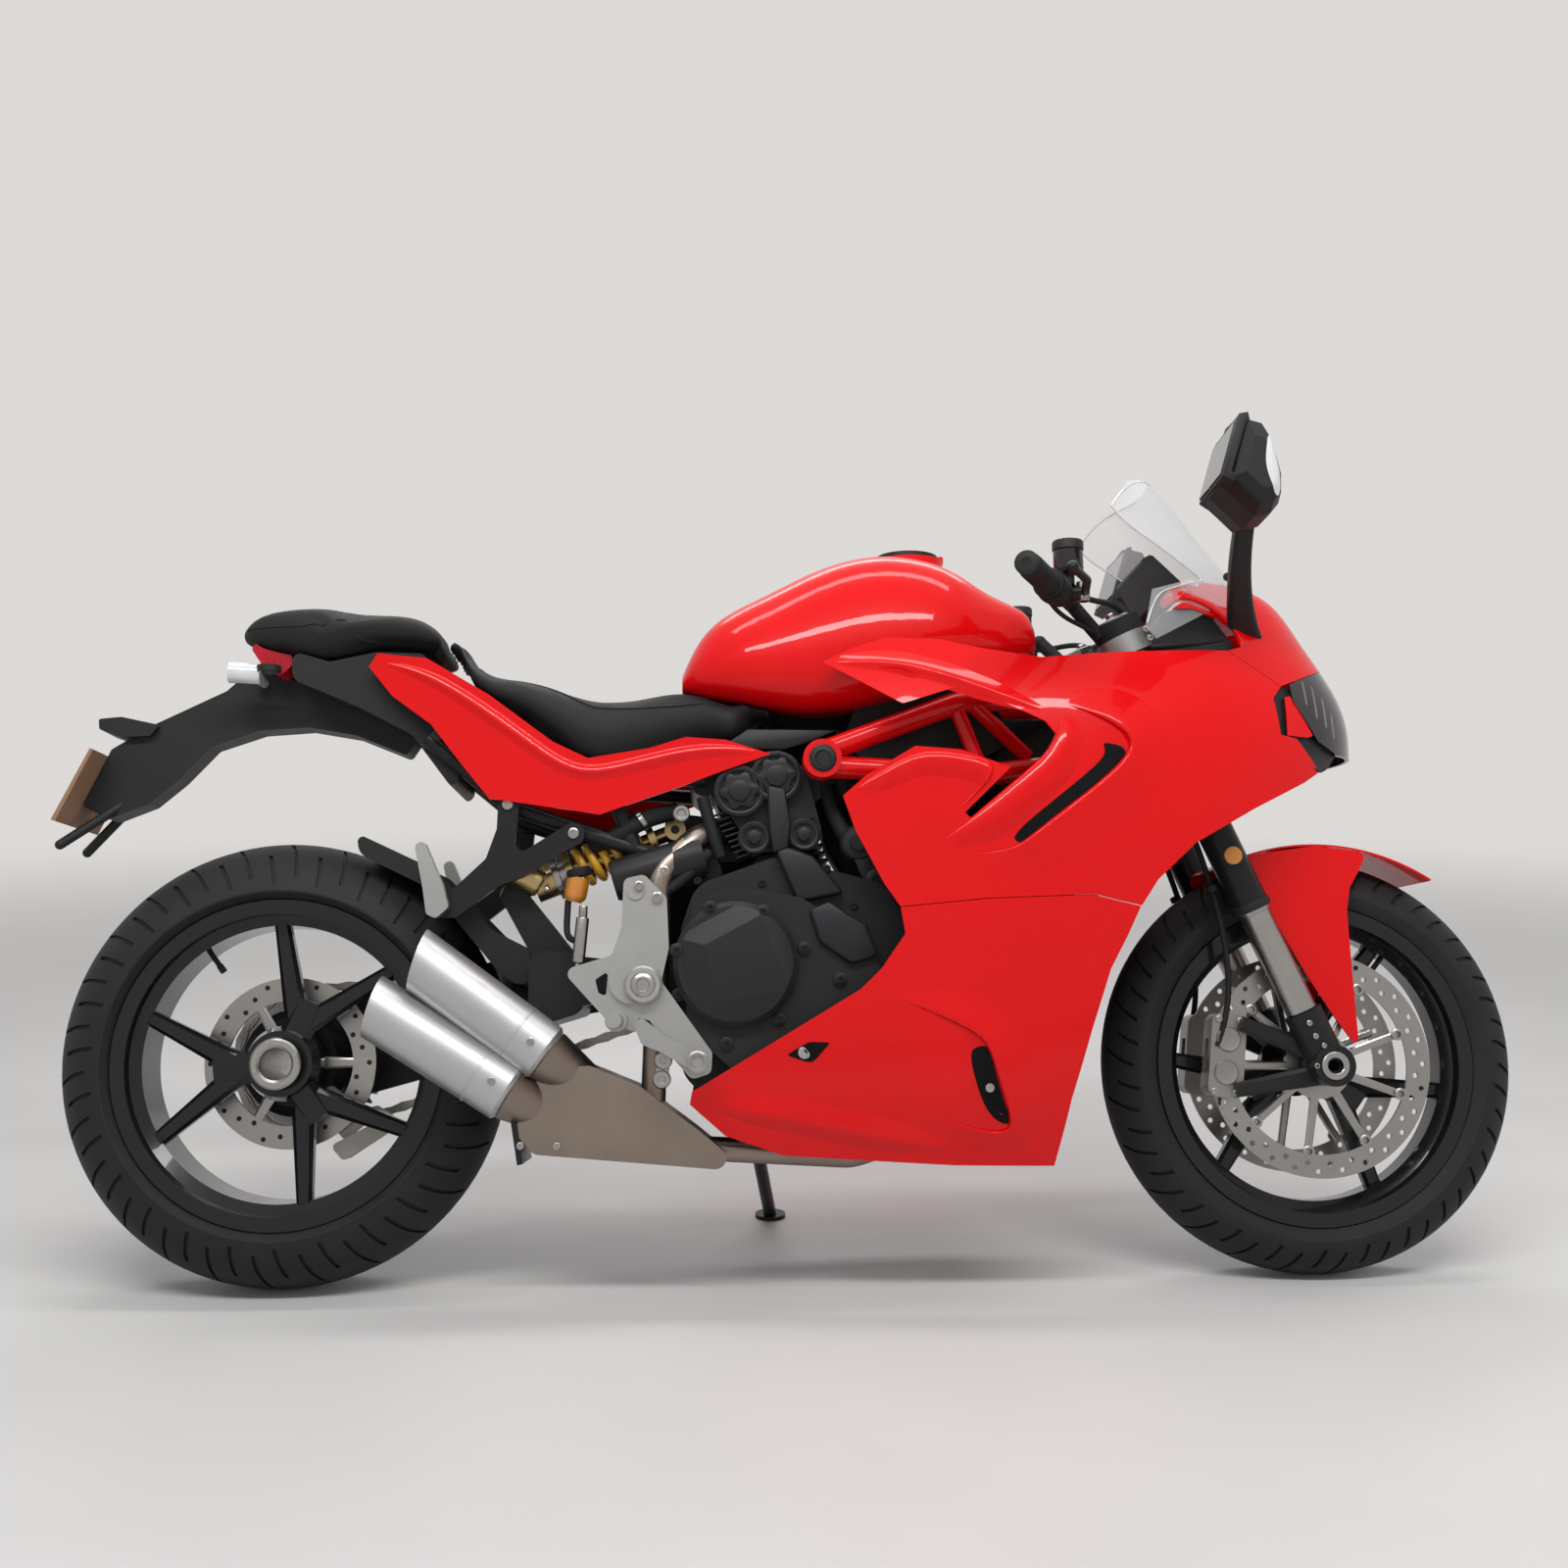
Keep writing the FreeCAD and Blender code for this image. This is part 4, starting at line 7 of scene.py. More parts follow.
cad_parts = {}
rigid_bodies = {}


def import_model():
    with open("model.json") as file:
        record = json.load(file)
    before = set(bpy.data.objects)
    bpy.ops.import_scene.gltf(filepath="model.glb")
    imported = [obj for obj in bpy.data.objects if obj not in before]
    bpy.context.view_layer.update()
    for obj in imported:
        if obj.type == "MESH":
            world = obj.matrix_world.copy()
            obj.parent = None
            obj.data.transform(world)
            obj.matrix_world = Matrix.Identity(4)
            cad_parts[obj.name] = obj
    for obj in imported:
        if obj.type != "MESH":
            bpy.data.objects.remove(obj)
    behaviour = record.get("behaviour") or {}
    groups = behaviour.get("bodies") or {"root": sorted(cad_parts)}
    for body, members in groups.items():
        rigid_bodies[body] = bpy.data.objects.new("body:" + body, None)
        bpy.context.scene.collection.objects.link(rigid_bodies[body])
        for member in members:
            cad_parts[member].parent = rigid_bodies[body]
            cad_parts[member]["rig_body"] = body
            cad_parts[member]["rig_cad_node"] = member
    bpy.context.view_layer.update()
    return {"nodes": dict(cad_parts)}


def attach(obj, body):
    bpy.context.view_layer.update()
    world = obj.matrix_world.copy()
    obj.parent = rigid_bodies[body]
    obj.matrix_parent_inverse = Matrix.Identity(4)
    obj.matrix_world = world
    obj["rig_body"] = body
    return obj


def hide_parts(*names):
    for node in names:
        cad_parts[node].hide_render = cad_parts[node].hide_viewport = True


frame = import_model()
bpy.ops.object.select_all(action="DESELECT")
bpy.context.scene.view_settings.view_transform = "Standard"

# Upright workshop axes, in metres, to where the leaning motorcycle stands.
lean = math.radians(12.0)
leaned = Matrix.Translation((-0.7263, -0.2258, 0.0)) @ Matrix.Rotation(-lean, 4, "X")
rake = math.radians(24.0)
steering_foot = 1.569
fork_offset, fork_half_width = 0.0395, 0.105
front_axle = Vector((1.478, 0.0, 0.30139))
rear_axle = Vector((0.0, 0.0, 0.31706))
right, left = Vector((0.0, -1.0, 0.0)), Vector((0.0, 1.0, 0.0))
both = ((1.0, left), (-1.0, right))
millimetre = 0.001


def up_the_fork(height, forward, across):
    """A place in the workshop axes, given along the steering axis, ahead of it and across."""
    return Vector((steering_foot - height * math.sin(rake) + forward * math.cos(rake), across,
                   height * math.cos(rake) + forward * math.sin(rake)))


def on_leg(height, side, ahead=0.0, across=fork_half_width):
    """A place on one fork leg, by its height along the steering axis."""
    return up_the_fork(height, fork_offset + ahead, side * across)


# Camera: on the right side, low, looking slightly down.
bpy.ops.object.camera_add(location=(-0.1269, -2.7753, 0.8993),
                          rotation=(math.radians(85.87), 0.0, math.radians(-2.48)))
camera = bpy.context.object
camera.data.lens = 41.9
camera.data.sensor_width = 36.0
bpy.context.scene.camera = camera


# Shared effects.

def dial(node, values):
    """Sets the plain values of a node's inputs."""
    for label, value in values.items():
        node.inputs[label].default_value = value


def link(tree, *runs):
    """Joins nodes: each run is a node, its output, the next node and its input."""
    for source, out, target, into in runs:
        tree.links.new(source.outputs[out], target.inputs[into])


def add_node(tree, kind, **settings):
    node = tree.nodes.new("ShaderNode" + kind)
    for key, value in settings.items():
        setattr(node, key, value)
    return node


def new_group(name, inputs, outputs):
    group = bpy.data.node_groups.new(name, "ShaderNodeTree")
    for label, kind, value in inputs:
        socket = group.interface.new_socket(label, in_out="INPUT", socket_type="NodeSocket" + kind)
        socket.default_value = value
    for label, kind in outputs:
        group.interface.new_socket(label, in_out="OUTPUT", socket_type="NodeSocket" + kind)
    return group, group.nodes.new("NodeGroupInput"), group.nodes.new("NodeGroupOutput")


def make_grain():
    """Fine pits and lumps, as on cast metal, moulded plastic or vinyl."""
    group, enter, leave = new_group("grain", [("Scale", "Float", 600.0), ("Detail", "Float", 3.0)],
                                    [("Height", "Float")])
    place = add_node(group, "TexCoord")
    noise = add_node(group, "TexNoise")
    link(group, (place, "Object", noise, "Vector"), (enter, "Scale", noise, "Scale"),
         (enter, "Detail", noise, "Detail"), (noise, "Fac", leave, "Height"))
    return group


def make_handled():
    """Two close shades that change slowly over the surface, with smears in how it shines."""
    group, enter, leave = new_group(
        "handled",
        [("Colour", "Color", (0.5, 0.5, 0.5, 1.0)), ("Other colour", "Color", (0.4, 0.4, 0.4, 1.0)),
         ("Patch size", "Float", 9.0), ("Roughness", "Float", 0.4), ("Smear", "Float", 0.1)],
        [("Colour", "Color"), ("Roughness", "Float")])
    place = add_node(group, "TexCoord")
    patches = add_node(group, "TexNoise")
    dial(patches, {"Detail": 5.0})
    blend = add_node(group, "Mix", data_type="RGBA")
    smears = add_node(group, "TexNoise")
    dial(smears, {"Scale": 28.0, "Detail": 6.0})
    swing = add_node(group, "Math", operation="MULTIPLY_ADD")
    link(group, (place, "Object", patches, "Vector"), (enter, "Patch size", patches, "Scale"),
         (patches, "Fac", blend, "Factor"), (enter, "Colour", blend, "A"),
         (enter, "Other colour", blend, "B"), (blend, "Result", leave, "Colour"),
         (place, "Object", smears, "Vector"), (smears, "Fac", swing, 0), (enter, "Smear", swing, 1),
         (enter, "Roughness", swing, 2), (swing, "Value", leave, "Roughness"))
    return group


grain = make_grain()
handled = make_handled()


def shaded_finish(name, colour, other, roughness, smear, patch, values):
    """A finish of two close shades, with the other values of its shader."""
    finish = bpy.data.materials.new(name)
    finish.use_nodes = True
    tree = finish.node_tree
    shader = tree.nodes["Principled BSDF"]
    dial(shader, values)
    shades = add_node(tree, "Group", node_tree=handled)
    dial(shades, {"Colour": (*colour, 1.0), "Other colour": (*other, 1.0), "Patch size": patch,
                  "Roughness": roughness, "Smear": smear})
    link(tree, (shades, "Colour", shader, "Base Color"), (shades, "Roughness", shader, "Roughness"))
    return finish, tree, shader


def make_finish(name, colour, other, roughness, metallic=0.0, coat=0.0, grain_scale=600.0,
                depth=0.1, smear=0.1, patch=9.0, specular=0.5):
    """A painted, moulded or metal finish built from the shared effects."""
    finish, tree, shader = shaded_finish(
        name, colour, other, roughness - smear / 2, smear, patch,
        {"Metallic": metallic, "Coat Weight": coat, "Coat Roughness": 0.03, "Specular IOR Level": specular})
    texture = add_node(tree, "Group", node_tree=grain)
    dial(texture, {"Scale": grain_scale})
    bump = add_node(tree, "Bump")
    dial(bump, {"Strength": depth, "Distance": 0.0006})
    link(tree, (texture, "Height", bump, "Height"), (bump, "Normal", shader, "Normal"))
    return finish


finishes = {
    "body_paint": make_finish("red lacquer", (0.7, 0.001, 0.003), (0.62, 0.001, 0.002), 0.34, coat=0.38,
        grain_scale=220.0, depth=0.03, smear=0.06, specular=0.08),
    "frame_paint": make_finish("red frame enamel", (0.7, 0.003, 0.005), (0.6, 0.002, 0.004), 0.3,
        coat=0.35, grain_scale=300.0, depth=0.06, specular=0.15),
    "black_metal": make_finish("black enamelled metal", (0.022, 0.022, 0.024), (0.012, 0.012, 0.013),
        0.36, metallic=0.2, grain_scale=900.0, depth=0.12, specular=0.2),
    "engine_grey": make_finish("sand cast engine grey", (0.03, 0.031, 0.034), (0.02, 0.021, 0.023), 0.44,
        metallic=0.5, grain_scale=1100.0, depth=0.3, patch=14.0, specular=0.25),
    "cover_black": make_finish("matt black covers", (0.018, 0.018, 0.019), (0.011, 0.011, 0.012), 0.42,
        grain_scale=1500.0, depth=0.2, specular=0.25),
    # Near-black finish for sheets set in openings and behind covers where there is only shade: painted
    # shade.
    "painted_shade_black": make_finish("painted shade inside openings", (0.006, 0.006, 0.006), (0.004, 0.004, 0.004), 0.6,
        grain_scale=1500.0, depth=0.2, specular=0.08),
    "steel": make_finish("bright steel", (0.42, 0.41, 0.395), (0.3, 0.29, 0.28), 0.3, metallic=1.0,
        grain_scale=900.0, depth=0.06, smear=0.2),
    "black_plastic": make_finish("moulded black plastic", (0.02, 0.02, 0.021), (0.013, 0.013, 0.014),
        0.48, grain_scale=1700.0, depth=0.3, specular=0.2),
    "damper": make_finish("gold damper body", (0.5, 0.36, 0.16), (0.4, 0.3, 0.15), 0.32, metallic=1.0,
        grain_scale=700.0, depth=0.05),
    "amber_cup": make_finish("amber fluid cup", (0.62, 0.24, 0.02), (0.5, 0.17, 0.015), 0.22, coat=0.6,
        grain_scale=200.0, depth=0.05, smear=0.04),
    "spring_paint": make_finish("yellow spring enamel", (0.78, 0.42, 0.03), (0.66, 0.34, 0.02), 0.32,
        coat=0.4, grain_scale=400.0, depth=0.08),
    "seat_vinyl": make_finish("black seat vinyl", (0.018, 0.018, 0.019), (0.012, 0.012, 0.013), 0.6,
        grain_scale=2400.0, depth=0.5, specular=0.2),
    "red_lens": make_finish("red lens", (0.5, 0.004, 0.02), (0.34, 0.003, 0.012), 0.12, coat=0.4,
        grain_scale=120.0, depth=0.1, smear=0.04, specular=0.2),
    "plate_board": make_finish("brown board", (0.3, 0.17, 0.1), (0.24, 0.135, 0.08), 0.75,
        grain_scale=900.0, depth=0.3, patch=30.0),
    "clear_lens": make_finish("clear lens", (0.72, 0.73, 0.74), (0.5, 0.51, 0.52), 0.15, coat=1.0,
        grain_scale=90.0, depth=0.3, smear=0.05, patch=40.0),
    "smoked_lens": make_finish("smoked lens", (0.012, 0.009, 0.012), (0.02, 0.015, 0.02), 0.08, coat=0.4,
        grain_scale=60.0, depth=0.03, smear=0.02, specular=0.3),
    "mirror_glass": make_finish("mirror glass", (0.2, 0.21, 0.22), (0.17, 0.18, 0.19), 0.03, metallic=1.0,
        depth=0.0, smear=0.01),
    "exhaust_steel": make_finish("bare exhaust steel", (0.34, 0.29, 0.25), (0.15, 0.11, 0.09), 0.36,
        metallic=1.0, grain_scale=300.0, depth=0.08, smear=0.2, patch=7.0),
    "silencer_alloy": make_finish("satin silencer alloy", (0.5, 0.5, 0.51), (0.44, 0.44, 0.45), 0.4,
        metallic=0.85, grain_scale=1800.0, depth=0.12, smear=0.06),
    "cast_alloy": make_finish("silver cast alloy", (0.4, 0.4, 0.39), (0.3, 0.3, 0.295), 0.42,
        metallic=0.8, grain_scale=1500.0, depth=0.2),
    "caliper_metal": make_finish("grey caliper metal", (0.3, 0.29, 0.27), (0.22, 0.21, 0.2), 0.4,
        metallic=0.8, grain_scale=1300.0, depth=0.15),
    "fork_black": make_finish("black fork tube", (0.02, 0.02, 0.022), (0.013, 0.013, 0.014), 0.3,
        metallic=0.3, grain_scale=900.0, depth=0.05, specular=0.2),
    "grip_rubber": make_finish("grip rubber", (0.016, 0.016, 0.017), (0.01, 0.01, 0.011), 0.65,
        grain_scale=1500.0, depth=0.3, specular=0.2),
    "wheel_black": make_finish("gloss black wheel enamel", (0.011, 0.011, 0.012), (0.007, 0.007, 0.008),
        0.2, coat=0.3, grain_scale=500.0, depth=0.03, smear=0.08, specular=0.2),
    "tyre": make_finish("tyre rubber", (0.022, 0.022, 0.023), (0.014, 0.014, 0.015), 0.62,
        grain_scale=1200.0, depth=0.3, patch=18.0, specular=0.2),
    "disc_steel": make_finish("ground disc steel", (0.38, 0.365, 0.35), (0.28, 0.27, 0.26), 0.32,
        metallic=1.0, grain_scale=1500.0, depth=0.1, smear=0.12),
}

# Clear acrylic, tinted a little, that shows what stands behind it.
finishes["clear_screen"] = shaded_finish(
    "clear screen acrylic", (0.75, 0.77, 0.78), (0.68, 0.7, 0.71), 0.04, 0.05, 9.0,
    {"Metallic": 0.0, "IOR": 1.35, "Transmission Weight": 0.0, "Alpha": 0.22})[0]

for node in frame["nodes"].values():
    for slot in node.material_slots:
        slot.material = finishes[slot.material.name.split(".")[0]]


# Modelling helpers. Places are given in millimetres in the upright workshop axes:
# x forward from the rear axle, y to the left, z up from the ground.

def at(x, y, z):
    return Vector((x, y, z)) * millimetre


def along(places, side=1):
    """Places of a run, on the given side of the middle."""
    return [at(x, side * y, z) for x, y, z in places]


def spoke(turn, reach, across=0.0):
    """What to add to an axle's place to go out from it at an angle in the side view."""
    return Vector((reach * math.cos(turn), across, reach * math.sin(turn)))


def pick(piece):
    bpy.ops.object.select_all(action="DESELECT")
    piece.select_set(True)
    bpy.context.view_layer.objects.active = piece
    return piece


def joined(pieces):
    pick(pieces[0])
    if len(pieces) > 1:
        for piece in pieces:
            piece.select_set(True)
        bpy.ops.object.join()
    return pieces[0]


def dress(piece, name, finish, body="chassis"):
    """Names a piece, gives it its finish and lets it ride on its body."""
    piece.name = name
    piece.data.name = name
    piece.data.materials.clear()
    piece.data.materials.append(finishes[finish])
    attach(piece, body)


def settle(pieces, name, finish, smooth=35.0, body="chassis"):
    """Joins finished pieces, leans them with the motorcycle and dresses them."""
    piece = pick(joined(pieces))
    piece.data.transform(leaned @ piece.matrix_world)
    piece.matrix_world = Matrix.Identity(4)
    bpy.ops.object.shade_smooth_by_angle(angle=math.radians(smooth))
    dress(piece, name, finish, body)
    return piece


def apply_modifier(piece, kind, **settings):
    pick(piece)
    modifier = piece.modifiers.new(kind.lower(), kind)
    for key, value in settings.items():
        setattr(modifier, key, value)
    bpy.ops.object.modifier_apply(modifier=modifier.name)
    return piece


def broken_edges(piece, width, segments=2, angle=35.0):
    """Rounds the sharp edges a little, as moulding or machining does."""
    return apply_modifier(piece, "BEVEL", width=width * millimetre, segments=segments,
                          limit_method="ANGLE", angle_limit=math.radians(angle))


def edit_all(piece):
    pick(piece)
    bpy.ops.object.mode_set(mode="EDIT")
    bpy.ops.mesh.select_all(action="SELECT")


def edit_faces(piece, test):
    """Enters edit mode with only the faces that pass the test selected."""
    pick(piece)
    bpy.ops.object.mode_set(mode="EDIT")
    bpy.ops.mesh.select_mode(type="FACE")
    bpy.ops.mesh.select_all(action="DESELECT")
    leave_edit()
    for face in piece.data.polygons:
        face.select = test(face)
    bpy.ops.object.mode_set(mode="EDIT")


def leave_edit():
    bpy.ops.object.mode_set(mode="OBJECT")


def facing_out(piece):
    """Merges doubles and turns the faces of a closed piece outwards."""
    edit_all(piece)
    bpy.ops.mesh.remove_doubles(threshold=0.00002)
    bpy.ops.mesh.normals_make_consistent(inside=False)
    leave_edit()
    return piece


def face_toward(piece, direction):
    """Turns an open sheet over if it looks away from the direction."""
    if sum(face.normal.dot(direction) * face.area for face in piece.data.polygons) < 0:
        edit_faces(piece, lambda face: True)
        bpy.ops.mesh.flip_normals()
        leave_edit()


def cut_away(piece, cuts):
    """Slices a closed piece by planes, each a place and the direction it is cut off in."""
    for place, slope in cuts:
        edit_all(piece)
        bpy.ops.mesh.bisect(plane_co=place, plane_no=slope, use_fill=True, clear_outer=True)
        leave_edit()
    return facing_out(piece)


def new_object(name, data):
    piece = bpy.data.objects.new(name, data)
    bpy.context.scene.collection.objects.link(piece)
    return piece


def as_mesh(name, curve):
    pick(new_object(name, curve))
    bpy.ops.object.convert(target="MESH")
    return bpy.context.object


def sheet_of(rows):
    """A sheet of faces with its corners at the places in the rows."""
    bpy.ops.mesh.primitive_grid_add(x_subdivisions=len(rows[0]) - 1, y_subdivisions=len(rows) - 1, size=1.0)
    piece = bpy.context.object
    for corner, place in zip(piece.data.vertices, [place for row in rows for place in row]):
        corner.co = place
    return piece


def aim(start, end):
    """Turn and place that takes a piece standing on the origin to one running from start to end."""
    return Matrix.Translation(start) @ (end - start).to_track_quat("Z", "Y").to_matrix().to_4x4()


def peg(start, end, radius, sides=32, rim=0.0):
    """A turned peg from one place to another, with its rims broken where a rim is given."""
    length = (end - start).length
    bpy.ops.mesh.primitive_cone_add(vertices=sides, radius1=radius * millimetre, radius2=radius * millimetre,
                                    depth=length)
    piece = bpy.context.object
    piece.data.transform(aim(start, end) @ Matrix.Translation((0.0, 0.0, length / 2)))
    if rim:
        broken_edges(piece, rim, 2, 50.0)
    return piece


def turned(start, end, profile, sides=48):
    """A ring spun about the line from start to end, its section closed, from (radius, distance) corners."""
    bpy.ops.mesh.primitive_circle_add(vertices=len(profile), radius=0.01)
    piece = bpy.context.object
    for corner, (radius, distance) in zip(piece.data.vertices, profile):
        corner.co = Vector((max(radius, 0.01) * millimetre, 0.0, distance * millimetre))
    edit_all(piece)
    bpy.ops.mesh.spin(steps=sides, angle=2 * math.pi, center=(0, 0, 0), axis=(0, 0, 1))
    leave_edit()
    piece.data.transform(aim(start, end))
    return facing_out(piece)


def cut_plate(outline, low, high, rim=0.0):
    """A plate cut to an outline of (x, z) corners on the side view, between two widths across."""
    sketch = bpy.data.curves.new("outline", "CURVE")
    sketch.dimensions = "2D"
    sketch.fill_mode = "BOTH"
    sketch.extrude = abs(high - low) * 0.0005
    line = sketch.splines.new("POLY")
    line.points.add(len(outline) - 1)
    for point, (x, z) in zip(line.points, outline):
        point.co = (x * millimetre, z * millimetre, 0.0, 1.0)
    line.use_cyclic_u = True
    piece = as_mesh("plate", sketch)
    piece.data.transform(Matrix.Translation((0.0, (low + high) * 0.0005, 0.0))
                         @ Matrix.Rotation(math.radians(90.0), 4, "X"))
    facing_out(piece)
    if rim:
        broken_edges(piece, rim, 2, 30.0)
    return piece


def hose(points, radius, rings=10):
    """A smooth tube that runs near the given places."""
    path = bpy.data.curves.new("run", "CURVE")
    path.dimensions = "3D"
    path.bevel_depth = radius * millimetre
    path.bevel_resolution = 3
    path.use_fill_caps = True
    path.resolution_u = rings
    line = path.splines.new("NURBS")
    line.points.add(len(points) - 1)
    for point, place in zip(line.points, points):
        point.co = (*place, 1.0)
    line.order_u = min(4, len(points))
    line.use_endpoint_u = True
    return as_mesh("hose", path)


def stocked_bolt():
    """A cap bolt of unit radius on the origin, with a rounded rim and a round socket."""
    bpy.ops.mesh.primitive_cylinder_add(vertices=18, radius=1.0, depth=1.0, location=(0, 0, 0.5))
    piece = bpy.context.object
    piece.data.transform(piece.matrix_world)
    piece.matrix_world = Matrix.Identity(4)
    edit_faces(piece, lambda face: face.normal.z > 0.9)
    bpy.ops.mesh.inset(thickness=0.16)
    bpy.ops.transform.translate(value=(0, 0, 0.12))
    bpy.ops.mesh.inset(thickness=0.3)
    bpy.ops.mesh.extrude_region_move(TRANSFORM_OT_translate={"value": (0, 0, -0.6)})
    leave_edit()
    return piece


bolt = stocked_bolt()


def bolts(places, direction, radius, height):
    """Copies of the bolt at each place, all looking the same way, joined."""
    size = Matrix.Diagonal((radius * millimetre, radius * millimetre, height * millimetre, 1.0))
    out = []
    for place in places:
        mesh = bolt.data.copy()
        mesh.transform(aim(place, place + direction) @ size)
        out.append(new_object("bolt", mesh))
    return joined(out)


def touching(node, x, z, side, default=None):
    """The place where a line across the motorcycle first meets a CAD node, from the given side."""
    start = leaned @ at(x, side * 700, z)
    toward = (leaned.to_3x3() @ Vector((0.0, -side, 0.0))).normalized()
    hit, spot, *_ = frame["nodes"][node].ray_cast(start, toward)
    if not hit:
        return at(x, default, z)
    return leaned.inverted() @ spot


def screws_on(node, spots, depth, radius, height):
    """Bolts on a CAD node at the (x, z) places, on both sides of the motorcycle."""
    return [bolts([touching(node, x, z, side, side * depth)], facing, radius, height)
            for side, facing in both for x, z in spots]


def skin_patch(node, rows, side, wall=1.2, rounds=3):
    """A moulded form on the skin of a CAD node, from rows of (x, z, height above the skin) in mm."""
    piece = sheet_of([[(x * millimetre, height * millimetre, z * millimetre) for x, z, height in row]
                      for row in rows])
    apply_modifier(piece, "SUBSURF", levels=rounds, render_levels=rounds)
    found, missed = [], []
    for corner in piece.data.vertices:
        height = corner.co.y
        spot = touching(node, corner.co.x * 1000, corner.co.z * 1000, side, 0.0)
        if spot.y * side > 0.02:
            corner.co.y = spot.y + side * height
            found.append(corner.co.copy() - Vector((0.0, side * height, 0.0)))
        else:
            missed.append((corner, height))
    for corner, height in missed:
        near = min(found, key=lambda spot: (spot.x - corner.co.x) ** 2 + (spot.z - corner.co.z) ** 2)
        corner.co.y = near.y + side * height
    face_toward(piece, left * side)
    return apply_modifier(piece, "SOLIDIFY", thickness=wall * millimetre, offset=-1.0)


def on_both(node, rows, *settings):
    """The same patch on both sides of the motorcycle."""
    return [skin_patch(node, rows, side, *settings) for side, facing in both]


def off_a_line(line, columns):
    """Rows for skin_patch: each (x, z, out_x, out_z, share) of the line, stepped outwards.

    The form is lowest and narrowest where the share is 0."""
    rows = []
    for x, z, out_x, out_z, share in line:
        size = math.hypot(out_x, out_z) / (0.4 + 0.6 * share)
        rows.append([(x + out_x / size * step, z + out_z / size * step, share * height + sink)
                     for step, height, sink in columns])
    return rows


def ridge(node, name, line, columns):
    """A painted form along a line on the skin of a CAD node, on both sides."""
    settle(on_both(node, off_a_line(line, columns)), name, "body_paint", 40.0)


def across_a_gap(pairs, *heights):
    """Rows for skin_patch between two edges, from pairs of (x, z) and the near, middle and far height."""
    return [[(*near, heights[0]), ((near[0] + far[0]) / 2, (near[1] + far[1]) / 2, heights[1]),
             (*far, heights[2])] for near, far in pairs]


# Tyres

crown_steps = 24


def tyre_section(radius, crown_radius, half_width, rim_half_width):
    """Corners of one tyre section as (radius, across), from the left bead over the crown to the right."""
    crown_centre = radius - crown_radius
    shoulder = math.asin(half_width / crown_radius)
    shoulder_radius = crown_centre + crown_radius * math.cos(shoulder)
    bead_top, bead_foot = 231.9, 217.0
    lip = rim_half_width + 7.0
    wall = []
    for i in range(1, 9):
        share = i / 9.0
        bulge = math.sin(math.pi * share) * 4.2 * (1 - 0.35 * share)
        ridge = 0.7 if i in (2, 7) else 0.0
        wall.append((shoulder_radius + (bead_top - shoulder_radius) * share,
            half_width + (lip - half_width) * share + bulge * 0.6 + ridge))
    bead = [(bead_top, lip), (bead_top - 1.5, rim_half_width - 0.5), (bead_foot, rim_half_width - 0.5)]
    side = list(reversed(bead)) + list(reversed(wall))
    crown = []
    for i in range(crown_steps + 1):
        turn = shoulder * (1 - 2 * i / crown_steps)
        crown.append((crown_centre + crown_radius * math.cos(turn), crown_radius * math.sin(turn)))
    return side + crown + [(r, -y) for r, y in reversed(side)]


def make_tyre(name, body, axle, radius, crown_radius, half_width, rim_half_width, pitches, handed):
    """Tyre with slanted rain grooves sunk between columns of faces that follow their slant."""
    section = tyre_section(radius, crown_radius, half_width, rim_half_width)
    stops = (0.0, 0.1, 0.3, 0.5, 0.6, 0.8)
    columns = pitches * len(stops)
    rows = len(section)
    bpy.ops.mesh.primitive_grid_add(x_subdivisions=columns, y_subdivisions=rows, size=1.0)
    tyre = bpy.context.object
    first_crown = (rows - crown_steps - 1) // 2
    half_crown = crown_steps // 2
    places = {}
    for corner in tyre.data.vertices:
        i = round((corner.co.x + 0.5) * columns)
        j = round((corner.co.y + 0.5) * rows)
        places[corner.index] = (i, j)
        r, y = section[j % rows]
        reach = abs(y) / half_width
        slant = handed * 34.0 * (min(reach, 1.0) ** 1.3)
        k = i % len(stops)
        share = i // len(stops) + stops[k]
        if k in (1, 4):
            share -= 0.055 * (1 - min(reach, 1.0))
        turn = 2 * math.pi * share / pitches + slant / radius
        corner.co = (r * millimetre * math.cos(turn), y * millimetre, r * millimetre * math.sin(turn))

    def is_groove(face):
        corners = [places[v] for v in face.vertices]
        i = min(c[0] for c in corners)
        j = min(c[1] for c in corners)
        if max(c[0] for c in corners) - i > 1 or not first_crown <= j < first_crown + crown_steps:
            return False
        step = j - first_crown
        near_left = step < half_crown
        depth = half_crown - step if near_left else step - half_crown + 1
        k = i % len(stops)
        long_cut = 3 <= depth <= 10
        short_cut = 7 <= depth <= 11
        if near_left:
            return (k == 0 and long_cut) or (k == 3 and short_cut)
        return (k == 3 and long_cut) or (k == 0 and short_cut)

    edit_faces(tyre, is_groove)
    bpy.ops.mesh.extrude_region_shrink_fatten(TRANSFORM_OT_shrink_fatten={"value": -0.0042})
    leave_edit()
    tyre.data.transform(Matrix.Translation(axle))
    facing_out(tyre)
    settle([tyre], name, "tyre", 28.0, body=body)
    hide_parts(name.replace("_tread", ""))


make_tyre("front_tyre_tread", "front_wheel", front_axle, 300.0, 62.0, 60.0, 44.5, 26, 1.0)
make_tyre("rear_tyre_tread", "rear_wheel", rear_axle, 315.0, 92.0, 90.0, 70.0, 26, -1.0)


# Seats: padded covers blown up a little over the moulded base, then seams.

